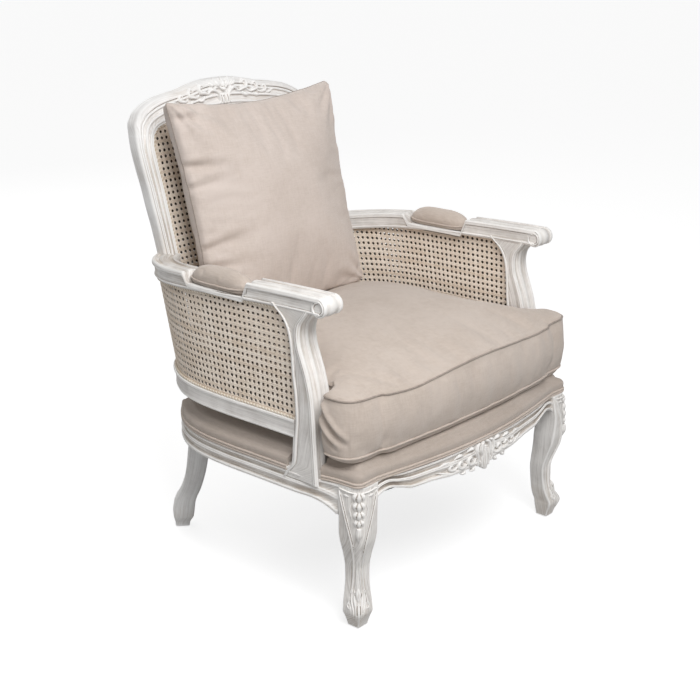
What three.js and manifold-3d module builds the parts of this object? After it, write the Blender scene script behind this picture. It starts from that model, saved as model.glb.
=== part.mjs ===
// A bergère armchair: a carved wooden frame with caned sides and back, a sprung seat, a loose
// T-shaped seat cushion and a loose back pillow.
// Lengths are in millimetres. The chair faces -Y, +Z is up and the floor is z = 0.
// Left and right are those of someone who stands in front of the chair, so left is -X.

import * as THREE from "three";
import { mergeVertices } from "three/addons/utils/BufferGeometryUtils.js";
import Module from "manifold-3d";

const wasm = await Module();
wasm.setup();

// Overall sizes
const totalHeight = 1000;
const halfWidth = 387; // from the middle of the chair to the outer face of an arm
const fit = 0.3; // clearance between pieces that touch
const overrun = 30; // how far a cutter runs past what it cuts
const weld = 0.001; // corners closer than this are one corner
const left = -1;
const right = 1;

// Seat frame
const railBottom = 270;
const railTop = 334;
const railThickness = 30;
const showWood = 312; // above this height the seat rails are covered with fabric
const rabbet = 7; // how far the covered part of a rail is set back
const railBead = 4;
const frontRailForward = 353; // face of the front rail beside the legs
const frontRailBow = 35; // how much further forward its middle stands
const frontRailArch = 20; // how much its lower edge rises beside the legs
// Lower edge of the front rail: way from the middle to a leg, and rise
const frontRailEdgeShares = [
  [0, -0.4],
  [0.32, -0.35],
  [0.55, 0],
  [0.7, 0.05],
  [0.81, 0.55],
  [0.9, 0.9],
  [0.97, 0.7],
  [1.04, 0.1],
];
const frontRailSteps = 18;
const railCove = 3;
const seatDrawIn = 15; // how much the side rails turn in to meet the front legs
const seatDrawLength = 127;

// Lean of the back
const leanStart = 345; // the back leans from this height up
const stileLap = 5; // how far a stile runs down into the straight part of its post
const backLeanShare = 0.255;
const frameRear = 249.6; // rear face of the back posts at seat height

// Plan of the sides, as shares of the half width and of the depth
const sideFront = -270; // where the straight part of a side begins
const seatTaper = 125; // how much narrower half the seat is where the sides meet the back posts
const armTaper = 119;
const armHeight = 660;
const sideSweepShares = [
  [1, 0],
  [1, 0.29],
  [1, 0.52],
  [0.96, 0.65],
  [0.85, 0.76],
  [0.63, 0.86],
  [0.35, 0.94],
  [0, 1],
];
const sideSteps = 12;
const tangentShare = 0.01;

// Arm rails
const armWidth = 55;
const armFrontTop = 684;
const armRearTop = 648;
const armThickness = 36;
const armDropPower = 1.7; // how late the arm begins to fall towards the back
const armBead = 6;
const armHollow = 2;
const scrollRadius = 21;
const scrollForward = 266;
const scrollDrawShare = 0.06; // how much the volute tightens in each quarter turn
const scrollSteps = 20;
const grooveTurns = 1.25;
const grooveStartShare = 0.8;
const grooveEndShare = 0.24;
const grooveWidth = 2.4;
const grooveDepth = 1.6;
const grooveSteps = 8;

// Arm pads
const padFront = -66;
const padRear = 97;
const padRise = 24; // above the top of the arm
const padBed = 17; // how deep the bed of the pad is cut into the arm
const padBedSlope = 10;
const padSideGap = 4;
const padSteps = 10;
const padEndShare = 0.45; // size of its rounded ends
const padFullness = 4; // how blunt its ends are in plan
const padMiddleShare = 0.5; // where along the side the arm is as high as the pad expects
// Section of the pad: way across, and way up
const padSectionShares = [
  [0.04, 0],
  [0, 0.35],
  [0.12, 0.8],
  [0.35, 1],
  [0.65, 1],
  [0.88, 0.8],
  [1, 0.35],
  [0.96, 0],
];

// Arm posts: way up from the seat rail to the arm, then depth as a share of the side's front
const postRearShares = [
  [0, 0.737],
  [0.3, 0.767],
  [0.66, 0.73],
  [0.9, 0.7],
  [0.98, 0.63],
  [1.04, 0.54],
];
const postFrontShares = [
  [1.04, 0.9],
  [0.98, 0.85],
  [0.9, 0.8],
  [0.78, 0.807],
  [0.64, 0.87],
  [0.45, 0.928],
  [0.15, 0.95],
  [0, 0.963],
];
const postBevel = 4;

// Caned panels
const lowerRailBottom = 386;
const lowerRailHeight = 38;
const lowerRailWidth = 46;
const caneThickness = 2;
const caneInset = 8; // from the outer face of the frame to the outer cane
const caneGap = 26; // between the outer cane and the inner cane
const binderWidth = 7;
const binderThickness = 3;
const netOpenShare = 0.62; // open part of each mesh of the cane
const sideNetColumns = 6;
const sideNetRows = 3;
const backNetColumns = 5;
const backNetRows = 5;
const backCaneLap = 6; // how far a cane of the back is drawn out under its frame before the trim
const panelStartShare = 0.052; // where a caned side begins, inside its arm post

// Back
const backFlare = 15; // how much wider half the back is than half the seat's rear
const stileWidth = 48;
const backDepth = 35;
const backCaneInset = 6; // from the rear face of the back frame to its rear cane
const backCaneGap = 15; // between the two canes of the back
// Stile: way up from its foot to the top of the chair, then outer and inner half width
const stileShares = [
  [0.8485, 0.993, 0.983],
  [0.806, 1, 1.016],
  [0.744, 0.993, 1.013],
  [0.68, 0.979, 1.005],
  [0.617, 0.972, 1],
  [0.545, 0.96, 1],
  [0.464, 0.954, 1],
  [0.273, 0.952, 1],
  [0.091, 0.95, 1],
  [0, 0.946, 0.97],
];
// Crest: outer half width and way up, then inner half width and way up
const crestShares = [
  [0.993, 0.8485, 0.813, 0.8485],
  [0.979, 0.8865, 0.768, 0.865],
  [0.946, 0.906, 0.737, 0.872],
  [0.903, 0.924, 0.7, 0.8765],
  [0.816, 0.944, 0.63, 0.882],
  [0.722, 0.9575, 0.56, 0.885],
  [0.635, 0.965, 0.487, 0.8885],
  [0.531, 0.971, 0.404, 0.8925],
  [0.44, 0.976, 0.325, 0.8955],
  [0.3, 0.9895, 0.21, 0.9],
  [0.15, 0.9985, 0.105, 0.9025],
  [0, 1, 0, 0.903],
];
// Section of the back frame: across from the inner edge to the outer, then from rear to front
const backSectionShares = [
  [0, 0],
  [1, 0],
  [1, 0.82],
  [0.93, 1],
  [0.8, 1],
  [0.68, 0.88],
  [0.35, 0.84],
  [0.22, 0.94],
  [0.08, 0.94],
  [0, 0.82],
];

// Back posts run down into the rear legs
const postSeatWidth = 40;
const postSeatDepth = 38;
const rearFootOut = 21;
const rearFootBack = 49;
const rearLegSide = 48;
// Rear leg: height, way out to the foot, side, and turn towards the diagonal
const rearLegShares = [
  [0.9, 0.02, 0.95, 0.5],
  [0.74, 0.1, 1, 1],
  [0.56, 0.24, 0.96, 1],
  [0.44, 0.39, 0.92, 1],
  [0.35, 0.56, 0.92, 1],
  [0.26, 0.79, 0.98, 1],
  [0.18, 0.9, 1.04, 1],
  [0.1, 0.92, 0.96, 1],
  [0.03, 0.99, 0.7, 1],
  [0, 1, 0.67, 1],
];

// Front legs, cut from a square post whose faces are parallel to the rails
const frontLegSetIn = 49; // from the outer face of an arm to the middle of a leg
const frontLegY = 326;
const frontLegSide = 58;
// Front leg: height, side, and distance from the middle of the chair
const frontLegShares = [
  [0, 0.5, 1.0075],
  [0.03, 0.56, 1.009],
  [0.064, 0.65, 1.012],
  [0.112, 0.767, 1.017],
  [0.176, 0.73, 1.001],
  [0.24, 0.66, 0.987],
  [0.32, 0.617, 0.978],
  [0.4, 0.63, 0.975],
  [0.48, 0.71, 0.985],
  [0.55, 0.81, 0.998],
  [0.61, 0.905, 1.0085],
  [0.68, 0.965, 1.015],
  [0.8, 0.97, 1.022],
  [0.92, 1, 1.006],
  [1, 1, 1],
];
const legChamferShare = 0.16;
const postArrisShare = 0.01;

// Joinery
const tenonLength = 16;
const tenonThickness = 10;
const tenonRoot = 8; // how deep a tenon is rooted in its own rail
const tenonWidth = 30;
const smallTenonWidth = 20;
const tenonWall = 5; // wood left beside a mortise
const rearTenonShare = 0.955; // where along a side its rear tenon begins
const frontBlockAcross = 199; // corner blocks, measured from the corners of the whole plan
const frontBlockAlong = 199;
const rearBlockAcross = 284;
const rearBlockAlong = 150;
const blockHeight = 32;
const blockDrop = 8; // below the top of the rails
const screwRadius = 3;
const screwHeadRadius = 6;
const screwHeadHeight = 3;
const screwLength = 40;
const screwSides = 8;
const glideRadius = 9;
const glideHeight = 3;
const glidePinRadius = 2;
const glidePinLength = 12;
const glideSides = 12;

// Seat upholstery
const strapThickness = 1.5;
const strapWidth = 60;
const strapsAcross = 3;
const strapsAlong = 4;
const strapSeatInset = 12; // straps end this far from the outer face of the rails
const deckEdgeTop = 345;
const deckTop = 355;
const deckShoulder = 10;
const weltRadius = 3.2;
// Section of the double welting: way in, and way up
const weltShares = [
  [1, 0],
  [0, 0.25],
  [0.25, 0.5],
  [0, 0.75],
  [1, 1],
];
const dustCoverThickness = 1;

// Seat cushion
const cushionLowSeam = 366;
const cushionHighSeam = 489;
const cushionCrown = 44;
const cushionCrownPower = 2.4;
const cushionFront = 345; // front edge at the corners
const cushionFrontBow = 23; // how much further forward its middle stands
const cushionEarSetIn = 6; // from the outer face of an arm to the end of an ear
const cushionEarRear = -266;
const cushionArmGap = 6; // between an arm and the body of the cushion
const cushionRear = 213;
const cushionMiddleY = -60;
const cushionBodySetback = 6; // the front of the body stands behind the front of the bar of the T
const cushionCorner = 26;
const cushionEarCorner = 16;
const cushionFrontStops = [0.42, 0.8];
// Rear corner of the cushion: share of the half width, share of the depth behind the middle
const cushionRearShares = [
  [1, 0.28],
  [0.975, 0.55],
  [0.9, 0.77],
  [0.79, 0.93],
  [0.68, 0.99],
];
const cushionRearFlatShare = 0.35;
const cushionCurveSteps = 2;
const cushionBulge = 4;
const cushionRelief = 10; // how far the resting face is set in
const pipingRadius = 3;
const coverThickness = 3;
const zipLength = 300;
const zipHeight = 6;
const zipHeadLength = 12;
const cushionEdgeRise = 10; // how much the top rises at the front edge
const cushionRingShares = [0.93, 0.76, 0.5, 0.2];
const cushionInnerShares = [0.8, 0.4];

// Back pillow
const pillowSetIn = 21; // from the outer edge of the back to the side of the pillow
const pillowHeight = 486;
const pillowFootY = 183; // middle of its lower seam
const pillowFootZ = 502.5;
const pillowFrontSwell = 76;
const pillowRearSwell = 74;
const pillowEdge = 6; // thickness of the seam all round
const pillowSeamDepth = 9; // from the seam to the filling
const pillowDrawIn = 14; // how far its sides pull in between the corners
const pillowDrawPower = 1.2;
const pillowSides = 28;
const pillowRingShares = [0.97, 0.87, 0.7, 0.45, 0.16];
const pillowInnerShares = [0.92, 0.7, 0.3];
const pillowSwellPower = 0.62;

// Shapes

/** Turns a closed surface so that its faces point outwards. */
function facingOut(geometry) {
  const places = geometry.getAttribute("position");
  const corners = geometry.index.array;
  const [first, second, third] = [0, 1, 2].map(() => new THREE.Vector3());
  let volume = 0;
  for (let at = 0; at < corners.length; at += 3) {
    first.fromBufferAttribute(places, corners[at]);
    second.fromBufferAttribute(places, corners[at + 1]);
    third.fromBufferAttribute(places, corners[at + 2]);
    volume += first.dot(second.cross(third));
  }
  if (volume < 0) corners.reverse();
  return geometry;
}

/** Triangles that close one ring of points, numbered from the given start. */
function capOf(ring, start) {
  const normal = new THREE.Vector3();
  ring.forEach((point, at) => normal.add(point.clone().cross(ring[(at + 1) % ring.length])));
  normal.normalize();
  const across = ring[1].clone().sub(ring[0]);
  across.addScaledVector(normal, -across.dot(normal)).normalize();
  const upward = normal.clone().cross(across);
  const flat = ring.map((point) => new THREE.Vector2(point.dot(across), point.dot(upward)));
  return THREE.ShapeUtils.triangulateShape(flat, []).flat().map((corner) => corner + start);
}

/** A closed skin through rings of points, with flat ends, or joined end to end as a loop. */
function loft(rings, loop = false) {
  const count = rings[0].length;
  const corners = [];
  const spans = loop ? rings.length : rings.length - 1;
  for (let ring = 0; ring < spans; ring++) {
    const here = ring * count;
    const next = ((ring + 1) % rings.length) * count;
    for (let step = 0; step < count; step++) {
      const beside = (step + 1) % count;
      corners.push(here + step, here + beside, next + beside);
      corners.push(here + step, next + beside, next + step);
    }
  }
  if (!loop) {
    corners.push(...capOf(rings[0], 0).reverse());
    corners.push(...capOf(rings[rings.length - 1], (rings.length - 1) * count));
  }
  const geometry = new THREE.BufferGeometry();
  const places = rings.flat().flatMap((point) => point.toArray());
  geometry.setAttribute("position", new THREE.Float32BufferAttribute(places, 3));
  geometry.setIndex(new THREE.BufferAttribute(new Uint32Array(corners), 1));
  return facingOut(geometry);
}

/** The same shape as a solid that can be joined and cut. */
function solidOf(geometry) {
  const bare = new THREE.BufferGeometry();
  bare.setAttribute("position", geometry.getAttribute("position"));
  bare.setIndex(geometry.index);
  const merged = mergeVertices(bare, weld);
  return new wasm.Manifold(
    new wasm.Mesh({
      numProp: 3,
      vertProperties: new Float32Array(merged.attributes.position.array),
      triVerts: new Uint32Array(merged.index.array),
    }),
  );
}

/** The geometry of a solid. */
function geometryOf(solid) {
  const mesh = solid.getMesh();
  const geometry = new THREE.BufferGeometry();
  geometry.setAttribute("position", new THREE.BufferAttribute(mesh.vertProperties, 3));
  geometry.setIndex(new THREE.BufferAttribute(mesh.triVerts, 1));
  return geometry;
}

/** A solid less each of some others. */
function cutBy(solid, others) {
  return others.reduce((rest, other) => rest.subtract(other), solid);
}

/** Several solids as one. */
function joined(solids) {
  return solids.reduce((whole, solid) => whole.add(solid));
}

/** A box between two corners, as a solid. */
function boxSolid(low, high) {
  const size = high.clone().sub(low);
  const middle = low.clone().add(high).multiplyScalar(0.5);
  const geometry = new THREE.BoxGeometry(size.x, size.y, size.z);
  return solidOf(geometry.translate(middle.x, middle.y, middle.z));
}

/** Moves each point of a closed outline outwards by a distance, or inwards when it is negative. */
function offsetOutline(points, distance) {
  const turn = THREE.ShapeUtils.isClockWise(points) ? -1 : 1;
  return points.map((point, at) => {
    const before = points[(at + points.length - 1) % points.length];
    const after = points[(at + 1) % points.length];
    const entering = point.clone().sub(before).normalize();
    const leaving = after.clone().sub(point).normalize();
    const mean = entering.clone().add(leaving).normalize();
    const stretch = 1 / Math.max(mean.dot(entering), 0.5);
    const outward = new THREE.Vector2(mean.y, -mean.x).multiplyScalar(turn * stretch);
    return point.clone().addScaledVector(outward, distance);
  });
}

/** Drops points of an outline that lie closer together than the weld distance. */
function tidyOutline(points) {
  return points.filter((point, at) => point.distanceTo(points[(at + 1) % points.length]) > weld);
}

/** A plate whose outline is drawn in the YZ plane, between two distances along X. */
function sidePlate(outline, fromX, toX, bevel = 0) {
  const shape = new THREE.Shape(tidyOutline(outline));
  const low = Math.min(fromX, toX);
  const geometry = new THREE.ExtrudeGeometry(shape, {
    depth: Math.abs(toX - fromX) - 2 * bevel,
    bevelEnabled: bevel > 0,
    bevelThickness: bevel,
    bevelSize: bevel,
    bevelOffset: -bevel,
    bevelSegments: 1,
  });
  geometry.translate(0, 0, low + bevel);
  const turned = new THREE.Matrix4().makeBasis(
    new THREE.Vector3(0, 1, 0),
    new THREE.Vector3(0, 0, 1),
    new THREE.Vector3(1, 0, 0),
  );
  return solidOf(geometry.applyMatrix4(turned));
}

/** A closed outline of the plan, raised to rings at the given heights and insets. */
function planRings(outline, levels) {
  return levels.map(([height, inset]) =>
    offsetOutline(outline, -inset).map((point) => new THREE.Vector3(point.x, point.y, height)),
  );
}

// Half widths that follow from the outer faces of the arms
const seatRearHalf = halfWidth - seatTaper;
const armRearHalf = halfWidth - armTaper;
const frontLegX = halfWidth - frontLegSetIn;
const backOuterHalf = seatRearHalf + backFlare;
const backInnerHalf = backOuterHalf - stileWidth;
const cushionEarHalf = halfWidth - cushionEarSetIn; // the cushion is a T in plan: a body and a bar
const cushionBodyHalf = halfWidth - armWidth - cushionArmGap;
const pillowWidth = 2 * (backOuterHalf - pillowSetIn);

// Where things lie

/** Rear face of the back frame at a height. */
function backRear(height) {
  return frameRear + backLeanShare * Math.max(0, height - leanStart);
}

/** Height of a share of the way up the back, from the foot of a stile to the top of the chair. */
function backHeight(share) {
  return THREE.MathUtils.lerp(leanStart - stileLap, totalHeight, share);
}

/** A point of the leaning back: distance from the middle, height, and depth from the rear face. */
function onBack(x, height, depth) {
  return new THREE.Vector3(x, backRear(height) - depth, height);
}

const sideSweep = new THREE.CatmullRomCurve3(
  sideSweepShares.map(([across, along]) => new THREE.Vector3(across, along, 0)),
  false,
  "centripetal",
);

/** Outer face of the right side in plan, at a height. */
function sideOutline(step, height) {
  const rise = Math.max(0, height - leanStart);
  const rearHalf = seatRearHalf + ((armRearHalf - seatRearHalf) * rise) / (armHeight - leanStart);
  const share = sideSweep.getPoint(THREE.MathUtils.clamp(step, 0, 1));
  const x = rearHalf + (halfWidth - rearHalf) * share.x;
  const y = sideFront + (backRear(height) - sideFront) * share.y;
  return new THREE.Vector2(x, y);
}

/** A point of one side: along its sweep, at a height, and inwards from the outer face. */
function onSide(side, step, height, inset) {
  const here = sideOutline(step, height);
  const before = sideOutline(step - tangentShare, height);
  const ahead = sideOutline(step + tangentShare, height).sub(before).normalize();
  return new THREE.Vector3(side * (here.x - inset * ahead.y), here.y + inset * ahead.x, height);
}

/** Top of the arm along the sweep of the side. */
function armTop(step) {
  const share = THREE.MathUtils.clamp(sideSweep.getPoint(step).y, 0, 1);
  return armRearTop + (armFrontTop - armRearTop) * (1 - share ** armDropPower);
}

/** Underside of the arm, which is the upper edge of the caned side. */
function armBottom(step) {
  return armTop(step) - armThickness;
}

const lowerRailTop = lowerRailBottom + lowerRailHeight;

/** Steps along the side from a share of the sweep to its rear end. */
function sideStepList(from) {
  return Array.from({ length: sideSteps + 1 }, (_, at) => from + ((1 - from) * at) / sideSteps);
}

/** A bar that follows one side, from a section drawn as inset and height at each step. */
function sideBar(side, steps, sectionAt) {
  const rings = steps.map((step) =>
    sectionAt(step).map(([inset, height]) => onSide(side, step, height, inset)),
  );
  return solidOf(loft(rings));
}

// Arms

/** Half of the wood at one arm: the swept rail with its volute, grown when it serves as a cutter. */
function armRail(side, grow = 0) {
  const sweep = sideBar(side, sideStepList(0), (step) => {
    const top = armTop(step) + grow;
    const bottom = armBottom(step) - grow;
    const near = -grow;
    const far = armWidth + grow;
    return [
      [near, bottom],
      [near, top - armBead],
      [near + armBead / 2, top],
      [near + 1.5 * armBead, top],
      [near + 2 * armBead, top - armHollow],
      [far - 2 * armBead, top - armHollow],
      [far - 1.5 * armBead, top],
      [far - armBead / 2, top],
      [far, top - armBead],
      [far, bottom],
    ];
  });
  const roll = sidePlate(
    volute(scrollRadius + grow),
    side * (halfWidth + grow),
    side * (halfWidth - armWidth - grow),
  );
  return sweep.add(roll);
}

const scrollMiddle = armFrontTop - scrollRadius;

/** Outline of the rolled end of an arm in the YZ plane. */
function volute(radius) {
  return Array.from({ length: scrollSteps }, (_, at) => {
    const turn = (at / scrollSteps) * 2 * Math.PI;
    const reach = radius * (1 - (scrollDrawShare * turn * 2) / Math.PI);
    return new THREE.Vector2(
      -scrollForward - reach * Math.sin(turn),
      scrollMiddle + reach * Math.cos(turn),
    );
  });
}

/** Cutter for the spiral groove on one face of a volute. */
function scrollGroove(faceX, inward) {
  const rings = Array.from({ length: grooveSteps + 1 }, (_, at) => {
    const share = at / grooveSteps;
    const turn = share * grooveTurns * 2 * Math.PI;
    const reach = scrollRadius * THREE.MathUtils.lerp(grooveStartShare, grooveEndShare, share);
    const place = (radius, depth) =>
      new THREE.Vector3(
        faceX + inward * depth,
        -scrollForward - radius * Math.sin(turn),
        scrollMiddle + radius * Math.cos(turn),
      );
    return [
      place(reach - grooveWidth, -grooveDepth),
      place(reach, grooveDepth),
      place(reach + grooveWidth, -grooveDepth),
    ];
  });
  return solidOf(loft(rings));
}

/** Side view of the bed that is cut into an arm for its pad. */
function padBedOutline(grow = 0) {
  const low = armTop(padMiddleShare) - padBed + grow;
  return [
    new THREE.Vector2(padFront - padBedSlope, low + overrun + padBedSlope),
    new THREE.Vector2(padFront - padBedSlope, low + padBedSlope),
    new THREE.Vector2(padFront, low),
    new THREE.Vector2(padRear, low),
    new THREE.Vector2(padRear + padBedSlope, low + padBedSlope),
    new THREE.Vector2(padRear + padBedSlope, low + overrun + padBedSlope),
  ];
}

/** Stuffed pad that sits in its bed on the arm. */
function armPad(side) {
  const low = armTop(padMiddleShare) - padBed + fit;
  const rise = padBed + padRise;
  const middle = (padFront + padRear) / 2;
  const half = (padRear - padFront) / 2 - fit;
  const width = armWidth - 2 * padSideGap;
  const rings = Array.from({ length: padSteps + 1 }, (_, at) => {
    const along = -Math.cos((at / padSteps) * Math.PI);
    const swell = Math.max(Math.sqrt(1 - along ** padFullness), padEndShare);
    return padSectionShares.map(([across, upward]) => {
      const inset = padSideGap + width * (0.5 + (across - 0.5) * swell);
      const height = low + rise * upward * swell;
      return new THREE.Vector3(side * (halfWidth - inset), middle + half * along, height);
    });
  });
  return solidOf(loft(rings));
}

/** Side view of an arm post: straight foot, waist and flared shoulder. */
function postOutline() {
  const foot = railTop + fit;
  const place = ([rise, forwards]) =>
    new THREE.Vector2(sideFront * forwards, foot + (armBottom(0) - foot) * rise);
  return [...postRearShares, ...postFrontShares].map(place);
}

/** Arm post, grown when it serves as a cutter. */
function armPost(side, grow = 0) {
  const outline = grow > 0 ? offsetOutline(postOutline(), grow) : postOutline();
  const bevel = grow > 0 ? 0 : postBevel;
  const outer = side * (halfWidth + grow * overrun);
  const inner = side * (halfWidth - armWidth - grow);
  return sidePlate(outline, outer, inner, bevel);
}

/** Lower rail of a caned side. */
function lowerRail(side, grow = 0) {
  const low = lowerRailBottom - grow;
  const high = lowerRailTop + grow;
  return sideBar(side, sideStepList(panelStartShare), () => [
    [-grow, low + railBead],
    [-grow, high - railBead],
    [railBead - grow, high],
    [lowerRailWidth + grow, high],
    [lowerRailWidth + grow, low],
    [railBead - grow, low],
  ]);
}

/** Where the strands of a net of so many gaps begin and end, from 0 to 1. */
function netStops(count) {
  const gaps = Array.from({ length: count }, (_, at) => [
    (at + (1 - netOpenShare) / 2) / count,
    (at + (1 + netOpenShare) / 2) / count,
  ]);
  return [0, ...gaps.flat(), 1];
}

/** A pierced sheet: a grid of strands in two directions, mapped into place. */
function net(columns, rows, place) {
  const across = netStops(columns);
  const upward = netStops(rows);
  const isSolid = (column, row) => {
    const inside = column >= 0 && row >= 0 && column < across.length - 1 && row < upward.length - 1;
    return inside && !(column % 2 === 1 && row % 2 === 1);
  };
  const places = [];
  const corners = [];
  const corner = (column, row, face) => (row * across.length + column) * 2 + face;
  for (const high of upward) {
    for (const wide of across) {
      places.push(...place(wide, high, 0).toArray(), ...place(wide, high, 1).toArray());
    }
  }
  const quad = (a, b, c, d) => corners.push(a, b, c, a, c, d);
  for (let row = 0; row < upward.length - 1; row++) {
    for (let column = 0; column < across.length - 1; column++) {
      if (!isSolid(column, row)) continue;
      const at = (right, up, face) => corner(column + right, row + up, face);
      quad(at(0, 0, 0), at(1, 0, 0), at(1, 1, 0), at(0, 1, 0));
      quad(at(0, 0, 1), at(0, 1, 1), at(1, 1, 1), at(1, 0, 1));
      if (!isSolid(column, row - 1)) quad(at(0, 0, 0), at(0, 0, 1), at(1, 0, 1), at(1, 0, 0));
      if (!isSolid(column, row + 1)) quad(at(0, 1, 0), at(1, 1, 0), at(1, 1, 1), at(0, 1, 1));
      if (!isSolid(column - 1, row)) quad(at(0, 0, 0), at(0, 1, 0), at(0, 1, 1), at(0, 0, 1));
      if (!isSolid(column + 1, row)) quad(at(1, 0, 0), at(1, 0, 1), at(1, 1, 1), at(1, 1, 0));
    }
  }
  const geometry = new THREE.BufferGeometry();
  geometry.setAttribute("position", new THREE.Float32BufferAttribute(places, 3));
  geometry.setIndex(new THREE.BufferAttribute(new Uint32Array(corners), 1));
  return solidOf(facingOut(geometry));
}

// Caned panels

/** Pierced sheet of one side, between two insets, trimmed by what frames it. */
function sideCane(side, inset) {
  const place = (along, high, face) => {
    const step = THREE.MathUtils.lerp(panelStartShare, 1, along);
    const low = lowerRailTop + fit;
    const height = THREE.MathUtils.lerp(low, armBottom(step) - fit, high);
    return onSide(side, step, height, inset + face * caneThickness);
  };
  return cutBy(net(sideNetColumns, sideNetRows, place), [armPost(side, fit), backPost(side, fit)]);
}

/** Border that covers the edge of a side cane: the opening less the same opening drawn in. */
function sideBinder(side, inset) {
  const steps = netStops(sideNetColumns).map((stop) => THREE.MathUtils.lerp(panelStartShare, 1, stop));
  const plate = (edge, near, far) => {
    const sheet = sideBar(side, steps, (step) => [
      [near, lowerRailTop + edge],
      [near, armBottom(step) - edge],
      [far, armBottom(step) - edge],
      [far, lowerRailTop + edge],
    ]);
    return cutBy(sheet, [armPost(side, edge), backPost(side, edge)]);
  };
  const opening = plate(fit + binderWidth, inset - overrun / 2, inset + overrun / 2);
  return plate(fit, inset, inset + binderThickness).subtract(opening);
}

// Lowest and highest places of the opening in the back frame
const backOpeningLow = lowerRailTop;
const backOpeningHigh = backHeight(crestShares[crestShares.length - 1][3]);

/** Pierced sheet of the back at a depth from its rear face. */
function backCane(depth) {
  const low = backOpeningLow + fit;
  const half = backInnerHalf + backCaneLap;
  const place = (across, upward, face) => {
    const x = THREE.MathUtils.lerp(-half, half, across);
    return onBack(x, THREE.MathUtils.lerp(low, backOpeningHigh, upward), depth + face * caneThickness);
  };
  return trimToBack(net(backNetColumns, backNetRows, place), fit);
}

/** Cuts away what reaches past the opening in the back frame, less an edge. */
function trimToBack(solid, edge) {
  return cutBy(solid, [backPost(left, edge), backPost(right, edge), crestRail(edge)]);
}

/** Border of one cane of the back. */
function backBinder(depth) {
  const half = backInnerHalf + backCaneLap;
  const plate = (edge, near, far) => {
    const rings = [-half, half].map((x) => [
      onBack(x, backOpeningLow + edge, near),
      onBack(x, backOpeningHigh, near),
      onBack(x, backOpeningHigh, far),
      onBack(x, backOpeningLow + edge, far),
    ]);
    return trimToBack(solidOf(loft(rings)), edge);
  };
  const opening = plate(fit + binderWidth, depth - overrun / 2, depth + overrun / 2);
  return plate(fit, depth, depth + binderThickness).subtract(opening);
}

// Back frame

/** Section ring of the back frame between an inner and an outer point of its face. */
function backRing(side, inner, outer, grow) {
  const reach = outer.clone().sub(inner).normalize().multiplyScalar(grow);
  const from = inner.clone().sub(reach);
  const to = outer.clone().add(reach);
  return backSectionShares.map(([across, depth]) => {
    const face = from.clone().lerp(to, across);
    return onBack(side * face.x, face.y, depth * (backDepth + 2 * grow) - grow);
  });
}

/** Back post: the stile of the back and the rear leg in one piece. */
function backPost(side, grow = 0) {
  const stile = stileShares.map(([wayUp, outer, inner], at) => {
    const level = backHeight(wayUp) + (at === 0 ? grow : 0);
    const innerPoint = new THREE.Vector2(backInnerHalf * inner, level);
    return backRing(side, innerPoint, new THREE.Vector2(backOuterHalf * outer, level), grow);
  });
  return solidOf(loft(stile)).add(rearLeg(side, grow));
}

/** Ring of a square leg with chamfered arrises. */
function legRing(side, x, y, height, width, depth, turn, chamfer = legChamferShare) {
  const corners = [
    [chamfer, 0],
    [1 - chamfer, 0],
    [1, chamfer],
    [1, 1 - chamfer],
    [1 - chamfer, 1],
    [chamfer, 1],
    [0, 1 - chamfer],
    [0, chamfer],
  ];
  return corners.map(([across, along]) => {
    const local = new THREE.Vector2((across - 0.5) * width, (along - 0.5) * depth);
    local.rotateAround(new THREE.Vector2(), turn);
    return new THREE.Vector3(side * (x + local.x), y + local.y, height);
  });
}

const postMiddleX = seatRearHalf - postSeatWidth / 2;
const postMiddleY = frameRear - postSeatDepth / 2;

/** Rear leg: a cabriole that turns from the seat frame to the diagonal. */
function rearLeg(side, grow = 0) {
  const foot = glideHeight + fit;
  const width = postSeatWidth + 2 * grow;
  const depth = postSeatDepth + 2 * grow;
  const rings = [leanStart, railBottom].map((height) =>
    legRing(side, postMiddleX, postMiddleY, height, width, depth, 0, postArrisShare),
  );
  for (const [height, way, thickness, turn] of rearLegShares) {
    const thick = rearLegSide * thickness + 2 * grow;
    rings.push(
      legRing(
        side,
        postMiddleX + rearFootOut * way,
        postMiddleY + rearFootBack * way,
        foot + (railBottom - foot) * height,
        thick,
        thick,
        (turn * Math.PI) / 4,
      ),
    );
  }
  return solidOf(loft(rings));
}

/** Crest rail with its shoulders. */
function crestRail(grow = 0) {
  const rings = crestShares.map(([outer, high, inner, low], at) => {
    const drop = at === 0 ? fit - grow : 0;
    return [
      new THREE.Vector2(backOuterHalf * inner, backHeight(low) + drop),
      new THREE.Vector2(backOuterHalf * outer, backHeight(high) + drop),
    ];
  });
  const whole = [
    ...rings.map(([inner, outer]) => backRing(left, inner, outer, grow)),
    ...rings.slice(0, -1).reverse().map(([inner, outer]) => backRing(right, inner, outer, grow)),
  ];
  return solidOf(loft(whole));
}

/** Lower rail of the back. */
function backBottomRail() {
  const section = [
    [0, lowerRailBottom],
    [0, lowerRailTop],
    [backDepth - railBead, lowerRailTop],
    [backDepth, lowerRailTop - railBead],
    [backDepth, lowerRailBottom + railBead],
    [backDepth - railBead, lowerRailBottom],
  ];
  const rings = [left, right].map((side) =>
    section.map(([depth, height]) => onBack(side * backInnerHalf, height, depth)),
  );
  return cutBy(solidOf(loft(rings)), [backPost(left, fit), backPost(right, fit)]);
}

// Front legs and seat rails

/** Front leg: a cabriole whose knee and toe point to the corner. */
function frontLeg(side, grow = 0) {
  const foot = glideHeight + fit;
  const rings = frontLegShares.map(([height, thickness, reach]) => {
    const thick = frontLegSide * thickness + 2 * grow;
    const level = foot + (showWood - foot) * height;
    return legRing(side, frontLegX * reach, -frontLegY * reach, level, thick, thick, 0);
  });
  const shift = rabbet / 2;
  const thick = frontLegSide - rabbet + 2 * grow;
  for (const height of [showWood, railTop + grow]) {
    rings.push(legRing(side, frontLegX - shift, -frontLegY + shift, height, thick, thick, 0));
  }
  return solidOf(loft(rings));
}

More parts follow.
